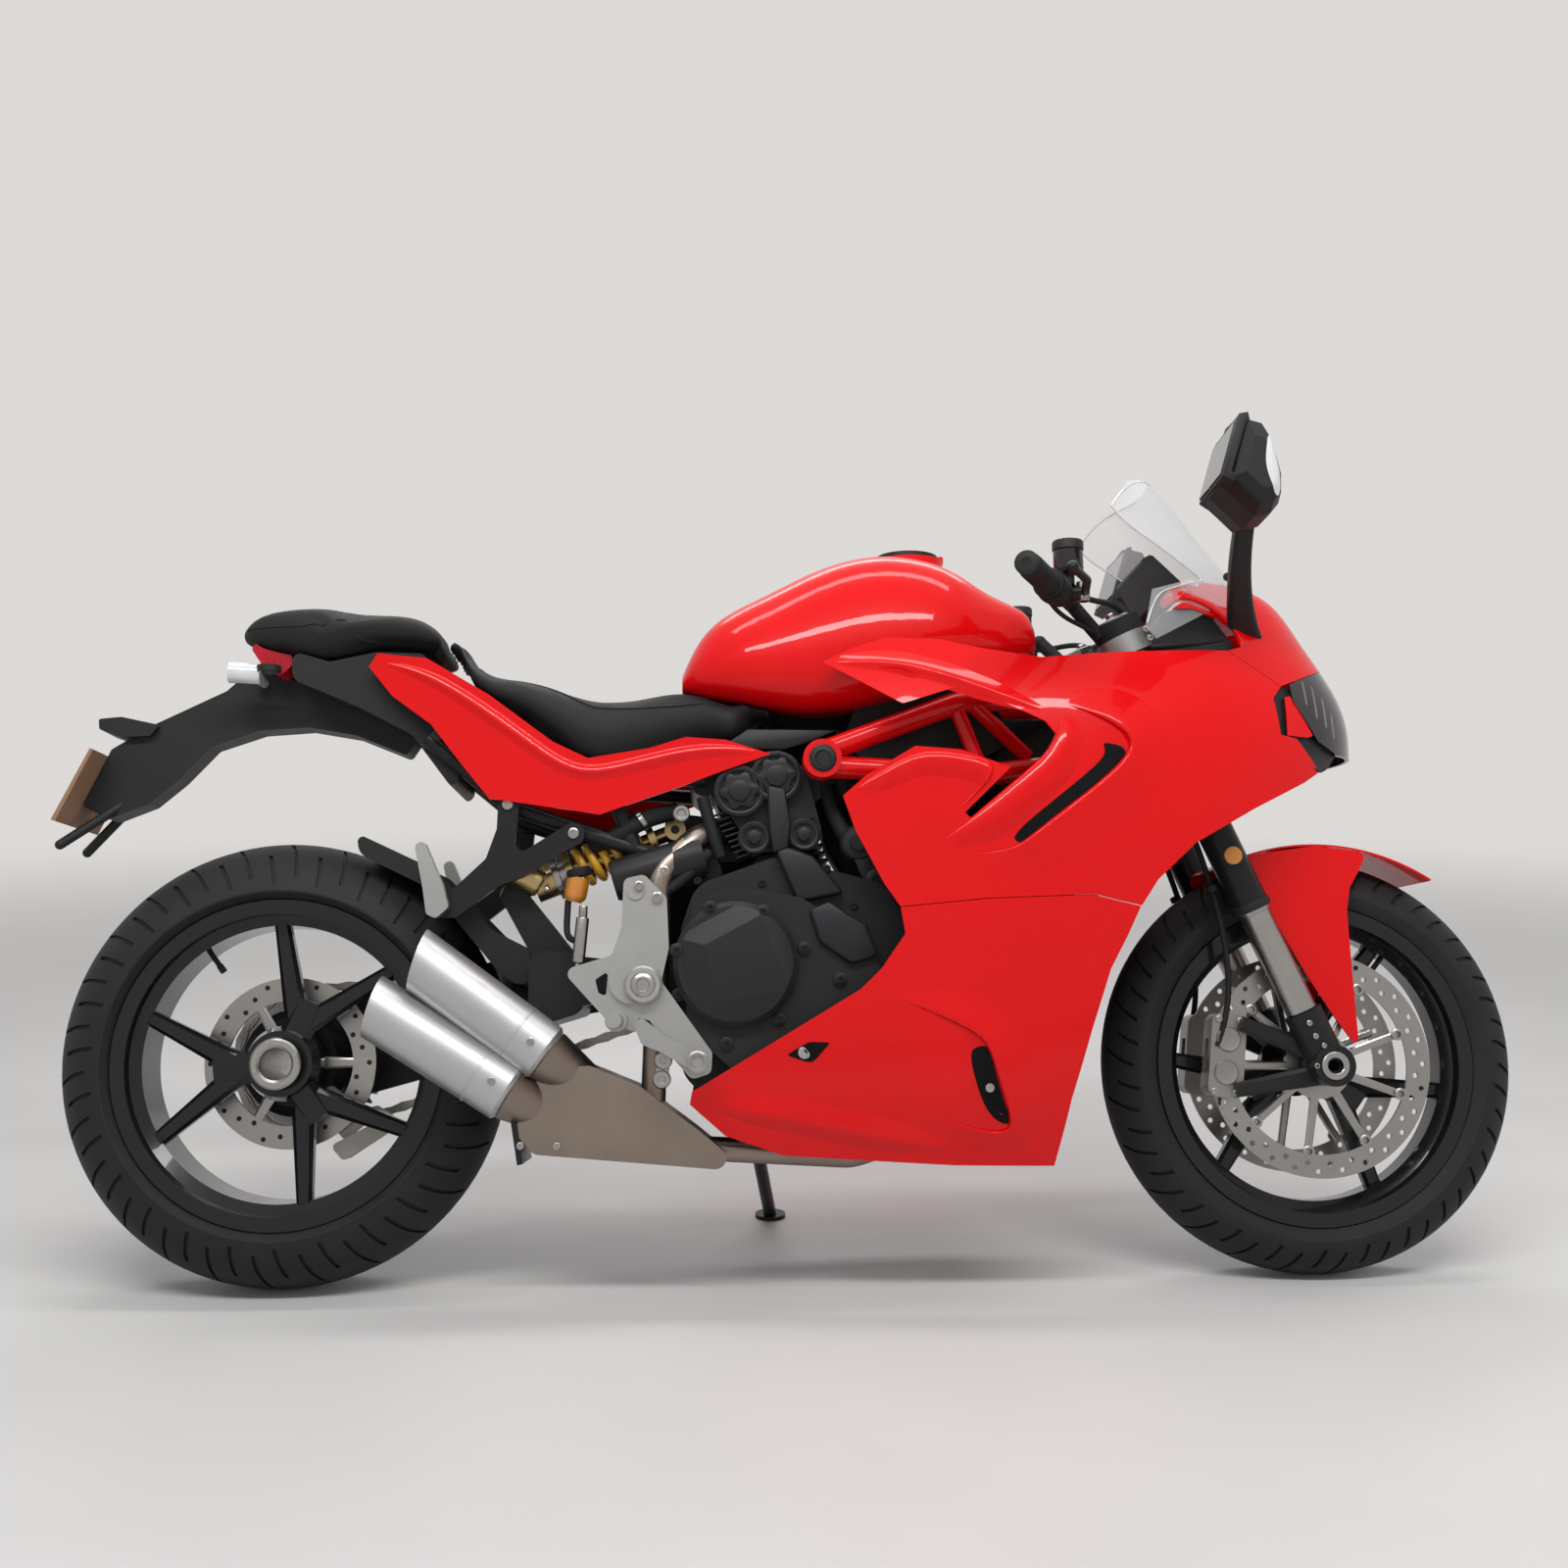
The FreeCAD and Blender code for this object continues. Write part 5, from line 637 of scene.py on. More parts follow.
def make_cushion(node, name, swell, cap):
    """A seat swollen by cloth simulation from a slightly slimmer copy of its base."""
    pick(frame["nodes"][node])
    bpy.ops.object.duplicate()
    seat = bpy.context.object
    seat.parent = None
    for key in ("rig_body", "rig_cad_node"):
        del seat[key]
    facing_out(seat)
    apply_modifier(seat, "REMESH", mode="VOXEL", voxel_size=0.0055)
    apply_modifier(seat, "SMOOTH", factor=0.5, iterations=3)
    normals = [corner.normal.copy() for corner in seat.data.vertices]
    for corner, normal in zip(seat.data.vertices, normals):
        corner.co -= normal * 0.0022
    frames = 16
    rest = [corner.co.copy() for corner in seat.data.vertices]
    pick(seat)
    cloth = seat.modifiers.new("cloth", "CLOTH")
    cloth.settings.use_pressure = True
    cloth.settings.uniform_pressure_force = swell
    cloth.settings.effector_weights.gravity = 0.0
    cloth.settings.quality = 5
    cloth.settings.tension_stiffness = 30.0
    cloth.settings.compression_stiffness = 30.0
    cloth.point_cache.frame_start = 1
    cloth.point_cache.frame_end = frames
    for step in range(1, frames + 1):
        bpy.context.scene.frame_set(step)
    bpy.ops.object.modifier_apply(modifier=cloth.name)
    bpy.context.scene.frame_set(1)
    for corner, was in zip(seat.data.vertices, rest):
        move = corner.co - was
        if move.length > cap * millimetre:
            corner.co = was + move.normalized() * cap * millimetre
    apply_modifier(seat, "SMOOTH", factor=0.5, iterations=2)
    # The mesh already leans with its base, so only its name, finish and body are set.
    bpy.ops.object.shade_smooth()
    dress(seat, name, "seat_vinyl")
    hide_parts(node)
    return seat


def make_seam(name, seat, route, radius):
    """A sewn welt that lies on the seat's cover along the route."""
    places = []
    for i in range(len(route) - 1):
        start, end = route[i], route[i + 1]
        for step in range(10):
            hit, spot, normal, index = seat.closest_point_on_mesh(leaned @ start.lerp(end, step / 10.0))
            places.append(spot + normal * (radius * 0.0002))
    welt = hose(places, radius, 4)
    welt.data.transform(leaned.inverted())
    settle([welt], name, "seat_vinyl", 60.0)


rider_cushion = make_cushion("rider_seat", "rider_cushion", 3.0, 3.0)
pillion_cushion = make_cushion("pillion_seat", "pillion_cushion", 3.0, 3.0)
for side, word in ((-1.0, "right"), (1.0, "left")):
    make_seam("rider_seam_" + word, rider_cushion,
        along([(262, 60, 884), (330, 92, 838), (440, 112, 812), (540, 108, 822), (640, 96, 830)], side),
        1.5)
    make_seam("pillion_seam_" + word, pillion_cushion,
        along([(-60, 62, 938), (20, 92, 935), (110, 100, 928), (190, 88, 918)], side), 1.5)


# Spring and damper

damper_ends = at(322, -60, 552), at(555.7, -60, 644)


def make_spring():
    """Six turns of yellow wire round the damper."""
    start, end = damper_ends
    coil_radius = 25.0 * millimetre
    first, span = 0.405, 0.41
    places = []
    turns, steps = 6.0, 20
    for i in range(int(turns * steps) + 1):
        turn = 2 * math.pi * i / steps
        share = first + span * i / (turns * steps)
        places.append(Vector((coil_radius * math.cos(turn), coil_radius * math.sin(turn),
            share * (end - start).length)))
    coil = hose(places, 6.3, 3)
    coil.data.transform(aim(start, end))
    settle([coil], "shock_coil", "spring_paint", 60.0)
    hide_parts("shock_spring")


def make_damper_fittings():
    """Remote canister beside the damper with its screw, and the collar over the spring."""
    can = turned(at(330, -96, 585), at(372, -96, 560),
        [(17, 0), (19, 2), (19, 40), (17, 43), (9, 43), (9, 0)])
    neck = peg(at(342, -96, 578), at(344, -66, 575), 7.0, 20, 0.6)
    settle([can, neck], "damper_canister", "damper")
    collar = turned(*damper_ends, [(26, 66), (33, 67), (33, 75), (27, 76), (27, 86), (31, 87), (31, 93),
        (24, 94)])
    settle([collar], "spring_collar", "steel")
    screws = bolts([at(374, -96, 558.8)], at(42, 0, -25), 5.0, 4.0)
    settle([screws], "canister_screw", "steel")


make_spring()
make_damper_fittings()


# Exhaust

def make_silencer_fittings():
    """Bolts, front seams and dark liners of both silencers, with a black disc closing each pipe as painted
    shade.
    """
    screws, bands, liners = [], [], []
    for rear, front in ((at(195, -165, 465), at(385, -165, 325)), (at(134, -165, 402), at(335, -165, 275))):
        run = (front - rear).normalized()
        up = run.cross(right).normalized()
        if up.z < 0:
            up = -up
        spot = front - run * 0.028 + (right * 0.93 + up * 0.1).normalized() * 0.0412
        screws.append(bolts([spot], right, 5.5, 3.5))
        length = (front - rear).length * 1000
        bands.append(turned(rear, front, [(42.0, length - 54), (42.9, length - 53), (42.9, length - 51),
            (42.0, length - 50), (40.0, length - 52)]))
        liners.append(turned(rear, front, [(30.2, 20), (24.0, 21), (22.5, 58), (26.0, 59.5), (29.9, 59.5),
            (29.9, 40)]))
        # A black disc that closes the pipe behind the liner: painted shade for the depth of the outlet.
        liners.append(turned(rear, front, [(22.5, 57), (22.5, 59.5), (0.0, 59.5), (0.0, 57)]))
    settle(screws, "silencer_bolts", "steel")
    settle(bands, "silencer_seams", "silencer_alloy")
    settle(liners, "silencer_liners_and_shade", "black_metal")


make_silencer_fittings()


# Engine

def make_clutch_cap():
    """Faceted cap on the clutch cover."""
    centre = at(640, -171, 448)
    cap = peg(centre, at(640, -186, 448), 79.0, 64)
    apply_modifier(cap, "BEVEL", width=0.004, segments=2, limit_method="ANGLE", angle_limit=0.9)
    cuts = ((at(606, -186, 477), (-0.16, -1.0, 0.3)), (at(702, -186, 446), (0.3, -1.0, 0.12)),
        (at(640, -186, 400), (0.04, -1.0, -0.26)), (at(606, -186, 440), (-0.26, -1.0, -0.06)))
    cut_away(cap, cuts)
    broken_edges(cap, 0.7, 2, 9.0)
    settle([cap], "clutch_cap", "cover_black", 20.0)


def make_cover_bolts():
    """Bolts on raised bosses round the clutch and belt covers."""
    spots = [(606, 525), (678, 519), (560, 467), (562, 407), (628, 340), (700, 372), (736, 469), (785, 426)]
    places, bosses = [], []
    for x, z in spots:
        seat = touching("engine_covers", x, z, -1.0, -150)
        bosses.append(peg(seat + at(0, 2, 0), seat + at(0, -5, 0), 9.5, 24, 1.0))
        places.append(seat + at(0, -5, 0))
    settle(bosses, "cover_bosses", "engine_grey")
    for x, z in ((679, 562), (807, 529), (770, 582), (751, 652), (588, 566)):
        places.append(touching("engine_covers", x, z, -1.0, -126))
    settle([bolts(places, right, 5.6, 5.5)], "cover_bolts", "black_metal")


def star_outline(x, z, outer, inner, points, first=0.0):
    corners = []
    for i in range(points * 4):
        turn = math.radians(first) + 2 * math.pi * i / (points * 4)
        reach = outer if i % 4 in (0, 1) else inner
        corners.append((x + reach * math.cos(turn), z + reach * math.sin(turn)))
    return corners


def make_belt_details():
    """Notched cam covers, ribbed belt windows and pulley caps on the belt covers."""
    covers, rings, ribs = [], [], []
    for x, z, radius in ((648, 692, 33), (700, 713, 33), (978, 570, 26), (968, 520, 26)):
        face = touching("engine_covers", x, z, -1.0, -130)
        y = face.y * 1000
        rings.append(turned(face + at(0, 1, 0), face + at(0, -20, 0),
            [(radius + 3, 0), (radius + 3, 5), (radius - 1, 7), (radius - 4, 6), (radius - 4, 0)]))
        covers.append(cut_plate(star_outline(x, z, radius - 5, radius - 11, 6), y - 7, y + 1, 1.0))
        covers.append(peg(at(x, y - 5, z), at(x, y - 12, z), radius * 0.46, 32, 1.6))
    for x, z in ((668, 626), (738, 630)):
        face = touching("engine_covers", x, z, -1.0, -130)
        y = face.y * 1000
        rings.append(turned(face + at(0, 1, 0), face + at(0, -20, 0),
            [(23, 0), (23, 4), (20, 6), (16, 5), (16, 0)]))
        covers.append(peg(at(x, y + 1, z), at(x, y - 9, z), 10.5, 6, 1.2))
    for i in range(9):
        x, z = 621 + i * 4.0, 662 - i * 7.5
        face = touching("engine_covers", x, z, -1.0, -112)
        ribs.append(peg(face + at(-9, 1, -3), face + at(9, -2.5, 3), 1.7, 8))
    settle(covers, "belt_cover_caps", "cover_black")
    settle(rings, "belt_cover_rings", "cover_black")
    settle(ribs, "belt_window_ribs", "engine_grey")


def make_heat_shield():
    """Black shield round the rear header pipe, and the hoses behind the belt covers with their clips."""
    shield = turned(at(470, -118, 566), at(606, -118, 606),
        [(27, 0), (30, 6), (30, 120), (27, 132), (24, 132), (24, 0)])
    settle([shield], "header_shield", "cover_black")
    screw = bolts([at(542, -147, 578)], right, 7.0, 5.0)
    settle([screw], "shield_bolt", "steel")
    hoses = [hose(along([(560, -96, 668), (520, -104, 660), (490, -108, 640), (462, -100, 626),
        (440, -86, 622)]), 13.0), hose(along([(596, -120, 684), (604, -124, 652), (612, -126, 624),
        (620, -122, 600)]), 9.0), hose(along([(540, -140, 548), (566, -138, 562), (592, -132, 590),
        (604, -124, 606)]), 8.0)]
    settle(hoses, "engine_hoses", "grip_rubber", 60.0)
    clips = [turned(at(512, -105, 655), at(498, -107, 645), [(13.5, 0), (14.8, 1), (14.8, 7), (13.5, 8)]),
        turned(at(566, -128, 659), at(566, -146, 659),
        [(12, 0), (12, 16), (10.5, 18), (7, 18), (5.5, 14), (0, 14), (0, 0)], 32)]
    settle(clips, "hose_clips", "steel")


make_clutch_cap()
make_cover_bolts()
make_belt_details()
make_heat_shield()


# Foot controls

def make_foot_control_details():
    """Pivot bosses, bolts, the brake's cylinder, cup and hose, and the link under the plate."""
    plates, polished, screws, rubber = [], [], [], []
    for side, facing in both:
        seat = touching("footrest_plates", 514, 420, side, side * 166)
        plates.append(turned(seat - facing * 0.002, seat + facing * 0.05,
            [(26, 0), (26, 9), (23, 12), (17, 12), (17, 4), (17, 0)]))
        polished.append(turned(seat, seat + facing * 0.05,
            [(16.4, 0), (16.4, 10), (14, 12), (9, 12.5), (8, 10), (0, 10), (0, 0)]))
        for x, z, radius in ((533, 540, 7.5), (508, 556, 6.5)):
            spot = touching("footrest_plates", x, z, side, side * 166)
            screws.append(bolts([spot], facing, radius, 6.0))
    y = -150
    polished.append(peg(at(424, y, 452), at(430, y, 514), 9.0, 24, 1.5))
    polished.append(peg(at(430, y, 512), at(431, y, 530), 6.0, 16, 1.0))
    polished.append(peg(at(421, y, 430), at(424, y, 456), 3.6, 12, 0.6))
    for x, z in ((541, 318), (539, 292)):
        polished.append(turned(at(x, -143, z), at(x, -166, z),
            [(12.5, 0), (12.5, 14), (11, 15.5), (5, 15.5), (4.4, 14), (0, 14), (0, 0)]))
    polished.append(cut_plate([(532, 318), (530, 292), (548, 292), (550, 318)], -152, -146, 0.8))
    toe = touching("foot_levers", 588, 316, -1.0, -186)
    polished.append(turned(toe + at(0, 1, 0), toe + at(0, -30, 0),
        [(15, 0), (15, 5), (12.5, 6.5), (9.5, 6), (9.5, 0)]))
    rubber.append(hose(along([(407, -112, 541), (406, -114, 520), (405, -118, 500), (408, -130, 486),
        (420, -144, 482)]), 4.6))
    rubber.append(turned(at(423, -110, 574), at(419, -110, 592),
        [(17, 0), (17.5, 1), (17.5, 9), (16, 12), (0, 12), (0, 0)]))
    settle(plates, "footrest_bosses", "cast_alloy")
    settle(polished, "brake_cylinder_and_links", "steel")
    settle(screws, "footrest_bolts", "steel")
    settle(rubber, "rear_brake_hose", "grip_rubber")
    cup = turned(at(416, -110, 544), at(422, -110, 574),
        [(10, -6), (15, 0), (16, 4), (16, 29), (0, 29), (0, -6)])
    settle([cup], "rear_fluid_cup", "amber_cup")


make_foot_control_details()
settle(screws_on("passenger_brackets", ((323, 674), (415, 633)), 130, 7.5, 4.0), "bracket_bolts", "steel")


# Fairing

def make_scoops():
    """Raised blades and lips round the two slots, and near-black floors painted in the slots as shade, on
    both side fairings.
    """
    blade_line = [(1090, 782, 0.75, -0.2, 0.0), (1080, 762, 0.8, -0.5, 0.8), (1066, 731, 0.6, -0.8, 1.0),
        (1030, 701, 0.6, -0.8, 1.0), (995, 671, 0.6, -0.8, 1.0), (960, 642, 0.6, -0.8, 0.8),
        (938, 624, 0.6, -0.8, 0.3), (922, 612, 0.6, -0.8, 0.0)]
    blade_columns = [(1.0, 0.0, -3.0), (1.2, 5.5, 0.0), (6.0, 9.0, 0.0), (19.0, 12.5, 0.0),
        (34.0, 8.0, 0.0), (50.0, 1.0, 0.0), (54.0, 0.0, -2.5)]
    lip_line = [(1098, 796, 0.3, 0.95, 0.0), (1126, 786, 0.35, 0.93, 0.4), (1158, 772, 0.5, 0.86, 0.8),
        (1182, 752, 0.95, 0.3, 1.0), (1180, 727, 0.8, -0.6, 1.0), (1134, 686, 0.6, -0.8, 1.0),
        (1088, 652, 0.6, -0.8, 1.0), (1046, 620, 0.6, -0.8, 0.9), (1024, 603, 0.3, -0.95, 0.6),
        (1000, 594, 0.1, -1.0, 0.25), (968, 592, 0.0, -1.0, 0.0)]
    lip_columns = [(-1.5, 0.0, -3.0), (-0.6, 7.0, 0.0), (3.0, 10.5, 0.0), (14.0, 8.5, 0.0),
        (38.0, 3.5, 0.0), (64.0, 0.6, 0.0), (78.0, 0.0, -2.0)]
    slot = [((1140, 744), (1172, 738)), ((1150, 730), (1177, 724)), ((1128, 707), (1152, 700)),
        ((1064, 657), (1086, 650)), ((1030, 630), (1048, 620)), ((1014, 612), (1026, 604))]
    ridge("side_fairings", "scoop_blades", blade_line, blade_columns)
    ridge("side_fairings", "scoop_lips", lip_line, lip_columns)
    # Near-black floors across the slots: painted shade in the openings.
    settle(on_both("side_fairings", across_a_gap(slot, 1.2, 1.2, 1.2), 3.0, 2), "scoop_slot_painted_shade",
        "painted_shade_black", 40.0)


def make_wing_creases():
    """The crease along the wing beside the tank, and the shoulder of the lower panel."""
    wing_line = [(786, 867, -0.3, -1.0, 0.2), (822, 865, -0.2, -1.0, 0.8), (868, 862, -0.1, -1.0, 1.0),
        (916, 848, -0.3, -1.0, 1.0), (966, 829, -0.35, -1.0, 0.9), (1016, 808, -0.4, -1.0, 0.6),
        (1060, 790, -0.4, -1.0, 0.0)]
    wing_columns = [(-24.0, 0.0, -1.5), (-14.0, 2.5, 0.0), (-3.0, 7.0, 0.0), (2.0, 7.0, 0.0),
        (9.0, 1.5, 0.0), (20.0, 0.0, -1.5)]
    shoulder_line = [(806, 682, 0.6, -0.8, 0.0), (836, 701, 0.5, -0.85, 0.8), (885, 730, 0.2, -1.0, 1.0),
        (925, 729, 0.0, -1.0, 1.0), (966, 721, -0.2, -1.0, 1.0), (998, 709, -0.6, -0.8, 1.0),
        (974, 680, -0.8, -0.5, 0.8), (950, 656, -0.8, -0.6, 0.0)]
    shoulder_columns = [(-5.0, 0.0, -2.5), (-3.5, 3.0, 0.0), (4.0, 7.0, 0.0), (12.0, 6.0, 0.0),
        (26.0, 1.5, 0.0), (36.0, 0.0, -1.5)]
    ridge("side_fairings", "wing_creases", wing_line, wing_columns)
    ridge("side_fairings", "fairing_shoulders", shoulder_line, shoulder_columns)


def make_inner_panels():
    """Near-black panel inside the fairing and plates behind the slots, both painted shade, and the caps on
    the frame's bosses.
    """
    # Painted shade: a near-black panel where the inside of the fairing lies in shade.
    panel = cut_plate([(590, 690), (640, 790), (800, 792), (1000, 812), (1120, 812), (1130, 700),
        (1080, 590), (1000, 500), (905, 540), (860, 640), (780, 700), (700, 740)], -26, 26, 3.0)
    settle([panel], "inner_painted_shade_panel", "painted_shade_black")
    # Painted shade: near-black plates behind the slots.
    outline = [(1000, 600), (1040, 592), (1190, 712), (1180, 752), (1120, 740), (1010, 650)]
    settle([cut_plate(outline, side * 150, side * 166, 3.0) for side, facing in both], "slot_painted_shade_plates",
        "painted_shade_black")
    caps = []
    for side, facing in both:
        seat = touching("frame_trellis", 763.5, 733, side, side * 140)
        caps.append(turned(seat - facing * 0.002, seat + facing * 0.05,
            [(19, 0), (19, 4), (17, 6), (11, 7), (9, 5), (0, 5), (0, 0)]))
    settle(caps, "frame_boss_caps", "cover_black")


def make_tail_ledges():
    """The ledge along the tail panels, and the black covers ahead of them."""
    line = [(150, 876, -0.2, -1.0, 0.0), (205, 862, -0.5, -0.9, 0.9), (290, 806, -0.5, -0.85, 1.0),
        (360, 752, -0.45, -0.9, 1.0), (420, 712, -0.1, -1.0, 1.0), (480, 722, 0.1, -1.0, 1.0),
        (560, 744, 0.15, -1.0, 1.0), (625, 751, 0.1, -1.0, 0.8), (672, 745, 0.1, -1.0, 0.0)]
    columns = [(-13.0, 0.0, -1.5), (-9.0, 3.0, 0.0), (-2.0, 5.5, 0.0), (2.0, 5.5, 0.0), (7.0, 1.2, 0.0),
        (18.0, 0.0, -1.5)]
    ridge("tail_panels", "tail_ledges", line, columns)
    outline = [(627, 762), (660, 784), (790, 782), (745, 764), (713, 754), (632, 754)]
    settle([cut_plate(outline, side * 66, side * 112, 3.0) for side, facing in both], "seat_side_covers",
        "cover_black")


make_scoops()
make_wing_creases()
make_inner_panels()
make_tail_ledges()


# Cockpit and nose

def bar_place(share, side):
    """Place along the clip-on bar, from its clamp (0) to its end (1)."""
    return at(1127.7 - 102.0 * share, side * (128.0 + 232.0 * share), 962.0 - 2.0 * share)


def make_bar_details():
    """Ribbed grips, knurled weights, switch buttons, pot caps and hoses on both clip-ons."""
    black, rubber, red, bright, cups = [], [], [], [], []
    for side, facing in both:
        end, inner = bar_place(1.0, side), bar_place(0.0, side)
        outward = (end - inner).normalized()
        teeth = [(15.0, 0), (16.6, 0.6)]
        for i in range(5):
            teeth += [(16.6, 1.6 + i * 2.4), (15.7, 2.2 + i * 2.4), (15.7, 3.0 + i * 2.4)]
        teeth += [(16.6, 14.0), (13.5, 15.6), (7.0, 15.6), (6.0, 14.0), (0.0, 14.0), (0.0, 0.0)]
        black.append(turned(end, end + outward, teeth, 40))
        flange = bar_place(0.556, side)
        rubber.append(turned(flange, flange + outward,
            [(16, 0), (21, 0.5), (22, 2.5), (21, 4.5), (16, 6)], 40))
        for i in range(15):
            start = bar_place(0.6 + i * 0.0235, side)
            rubber.append(turned(start, start + outward,
                [(16.6, 0), (17.8, 0.8), (17.8, 2.9), (16.6, 3.7)], 28))
        pod = bar_place(0.46, side)
        up_back = at(-0.55, 0, 0.83) * 1000
        for step, radius, group in ((-13, 6.5, red), (2, 4.8, bright), (13, 4.8, black)):
            spot = pod + outward * (step * millimetre) + up_back * 0.019
            group.append(peg(spot, spot + up_back * 0.007, radius, 20, 1.2))
        seam = bar_place(0.44, side)
        black.append(turned(seam, seam + outward, [(21.5, 0), (23.0, 0.8), (23.0, 4.2), (21.5, 5.0)], 40))
        foot = at(1109.6, side * 204, 989.9)
        cups.append(turned(foot, foot + at(0, 0, 40),
            [(20.2, 2), (21.0, 4), (21.0, 30), (20.2, 31), (18.0, 30), (18.0, 3)], 40))
        black.append(turned(foot + at(0, 0, 31), foot + at(0, 0, 60),
            [(20.3, 0), (22.0, 0.6), (22.0, 11.5), (20.5, 14.0), (0.0, 14.6), (0.0, 0.0)], 40))
        for turn in (0.7, 3.84):
            screw = foot + at(14 * math.cos(turn), 14 * math.sin(turn), 45)
            bright.append(peg(screw, screw + at(0, 0, 2.4), 3.2, 16, 0.5))
        pump = at(1094.2 + 37, side * 204, 961.3)
        bright.append(turned(pump + at(-2, 0, -13), pump + at(-2, 0, 15),
            [(8.5, 0), (9.5, 1), (9.5, 27), (8.5, 28), (0, 28), (0, 0)], 24))
        rubber.append(hose(along([(1122, 190, 963), (1146, 170, 958), (1170, 150, 962), (1205, 120, 958),
            (1218, 96, 930), (1216, 84, 896)], side), 4.2))
        rubber.append(hose(along([(1084, 196, 950), (1100, 172, 938), (1128, 150, 930), (1168, 120, 920),
            (1192, 96, 900)], side), 3.4))
    settle(black, "bar_weights_and_caps", "black_plastic", body="steering")
    settle(rubber, "grip_ribs_and_hoses", "grip_rubber", body="steering")
    settle(red, "stop_buttons", "body_paint", body="steering")
    settle(bright, "lever_pivots", "steel", body="steering")
    settle(cups, "fluid_cups", "smoked_lens", body="steering")


def make_clamp_details():
    """Stem nut, fork caps, and pinch bolts on both clamps."""
    bright, capped, nuts = [], [], []
    top = 0.988
    stem = up_the_fork(top + 0.012, 0.0, 0.0)
    along_stem = (up_the_fork(top + 0.1, 0.0, 0.0) - stem).normalized()
    nuts.append(turned(stem - along_stem * 0.002, stem + along_stem,
        [(22, 0), (24, 1), (24, 8), (22, 10), (12, 10), (11, 8), (0, 8), (0, 0)], 6))
    for side, facing in both:
        cap = on_leg(1.012, side)
        capped.append(turned(cap - along_stem * millimetre, cap + along_stem,
            [(25, 0), (25.6, 1.2), (25.6, 4.5), (24, 6), (17, 6), (16, 4), (9.5, 4), (9, 9), (0, 9),
            (0, 0)], 48))
        nuts.append(peg(cap + along_stem * 0.008, cap + along_stem * 0.014, 7.0, 6, 0.8))
        for height in (0.966, 0.98):
            spot = on_leg(height, side, 0.027, 0.1405)
            bright.append(bolts([spot], facing, 4.6, 5.0))
        for height in (0.778, 0.792):
            spot = on_leg(height, side, 0.014, 0.1405)
            bright.append(bolts([spot], facing, 4.6, 4.0))
    settle(bright, "clamp_bolts", "steel", body="steering")
    settle(capped, "fork_caps", "cast_alloy", body="steering")
    settle(nuts, "stem_and_fork_nuts", "steel", body="steering")


def make_screen_trim():
    """Bright cut edges of the screen, its screws, and the ridge over the nose opening."""
    edges = []
    border = [(1193, 1112), (1203, 1128), (1228, 1157), (1252, 1163), (1270, 1166)]
    lower = [(1193, 1112), (1211, 1089), (1262, 1057), (1304, 1022), (1330, 1000), (1312, 1000),
        (1268, 985), (1248, 976), (1232, 930)]
    for side, facing in both:
        for line in (border, lower):
            spots = [touching("windscreen", x, z, side, side * 120) for x, z in line]
            spots = [spot for spot in spots if spot.y * side > 0.02]
            edges.append(hose(spots, 1.3, 8))
    settle(edges, "screen_edges", "clear_lens")
    screws = screws_on("nose_cowl", ((1362, 1008), (1376, 994)), 110, 6.0, 3.0)
    settle(screws, "screen_screws", "black_plastic")
    line = [(1262, 956, -0.5, 1.0, 0.0), (1290, 972, -0.2, 1.0, 0.8), (1318, 965, 0.4, 1.0, 1.0),
        (1346, 944, 0.7, 0.7, 1.0), (1366, 918, 0.9, 0.3, 0.8), (1372, 898, 1.0, 0.0, 0.0)]
    columns = [(0.5, 0.0, -2.5), (1.0, 6.0, 0.0), (6.0, 8.0, 0.0), (16.0, 4.0, 0.0), (34.0, 0.0, -1.5)]
    ridge("nose_cowl", "nose_ridges", line, columns)


def sheet_between(pairs, side, first, last, sunk, wall=2.0):
    """A skin spanning two CAD nodes' edges: (x, z) on one and (x, z) on the other, row by row."""
    rows = []
    depth = Vector((0.0, side * sunk * millimetre, 0.0))
    for near, far in pairs:
        start = touching(first, near[0], near[1], side, side * 150)
        end = touching(last, far[0], far[1], side, side * 120)
        rows.append([start - depth, start.lerp(end, 0.5) - depth, end - depth])
    piece = sheet_of(rows)
    face_toward(piece, left * side)
    apply_modifier(piece, "SUBSURF", levels=2, render_levels=2)
    return apply_modifier(piece, "SOLIDIFY", thickness=wall * millimetre, offset=-1.0)


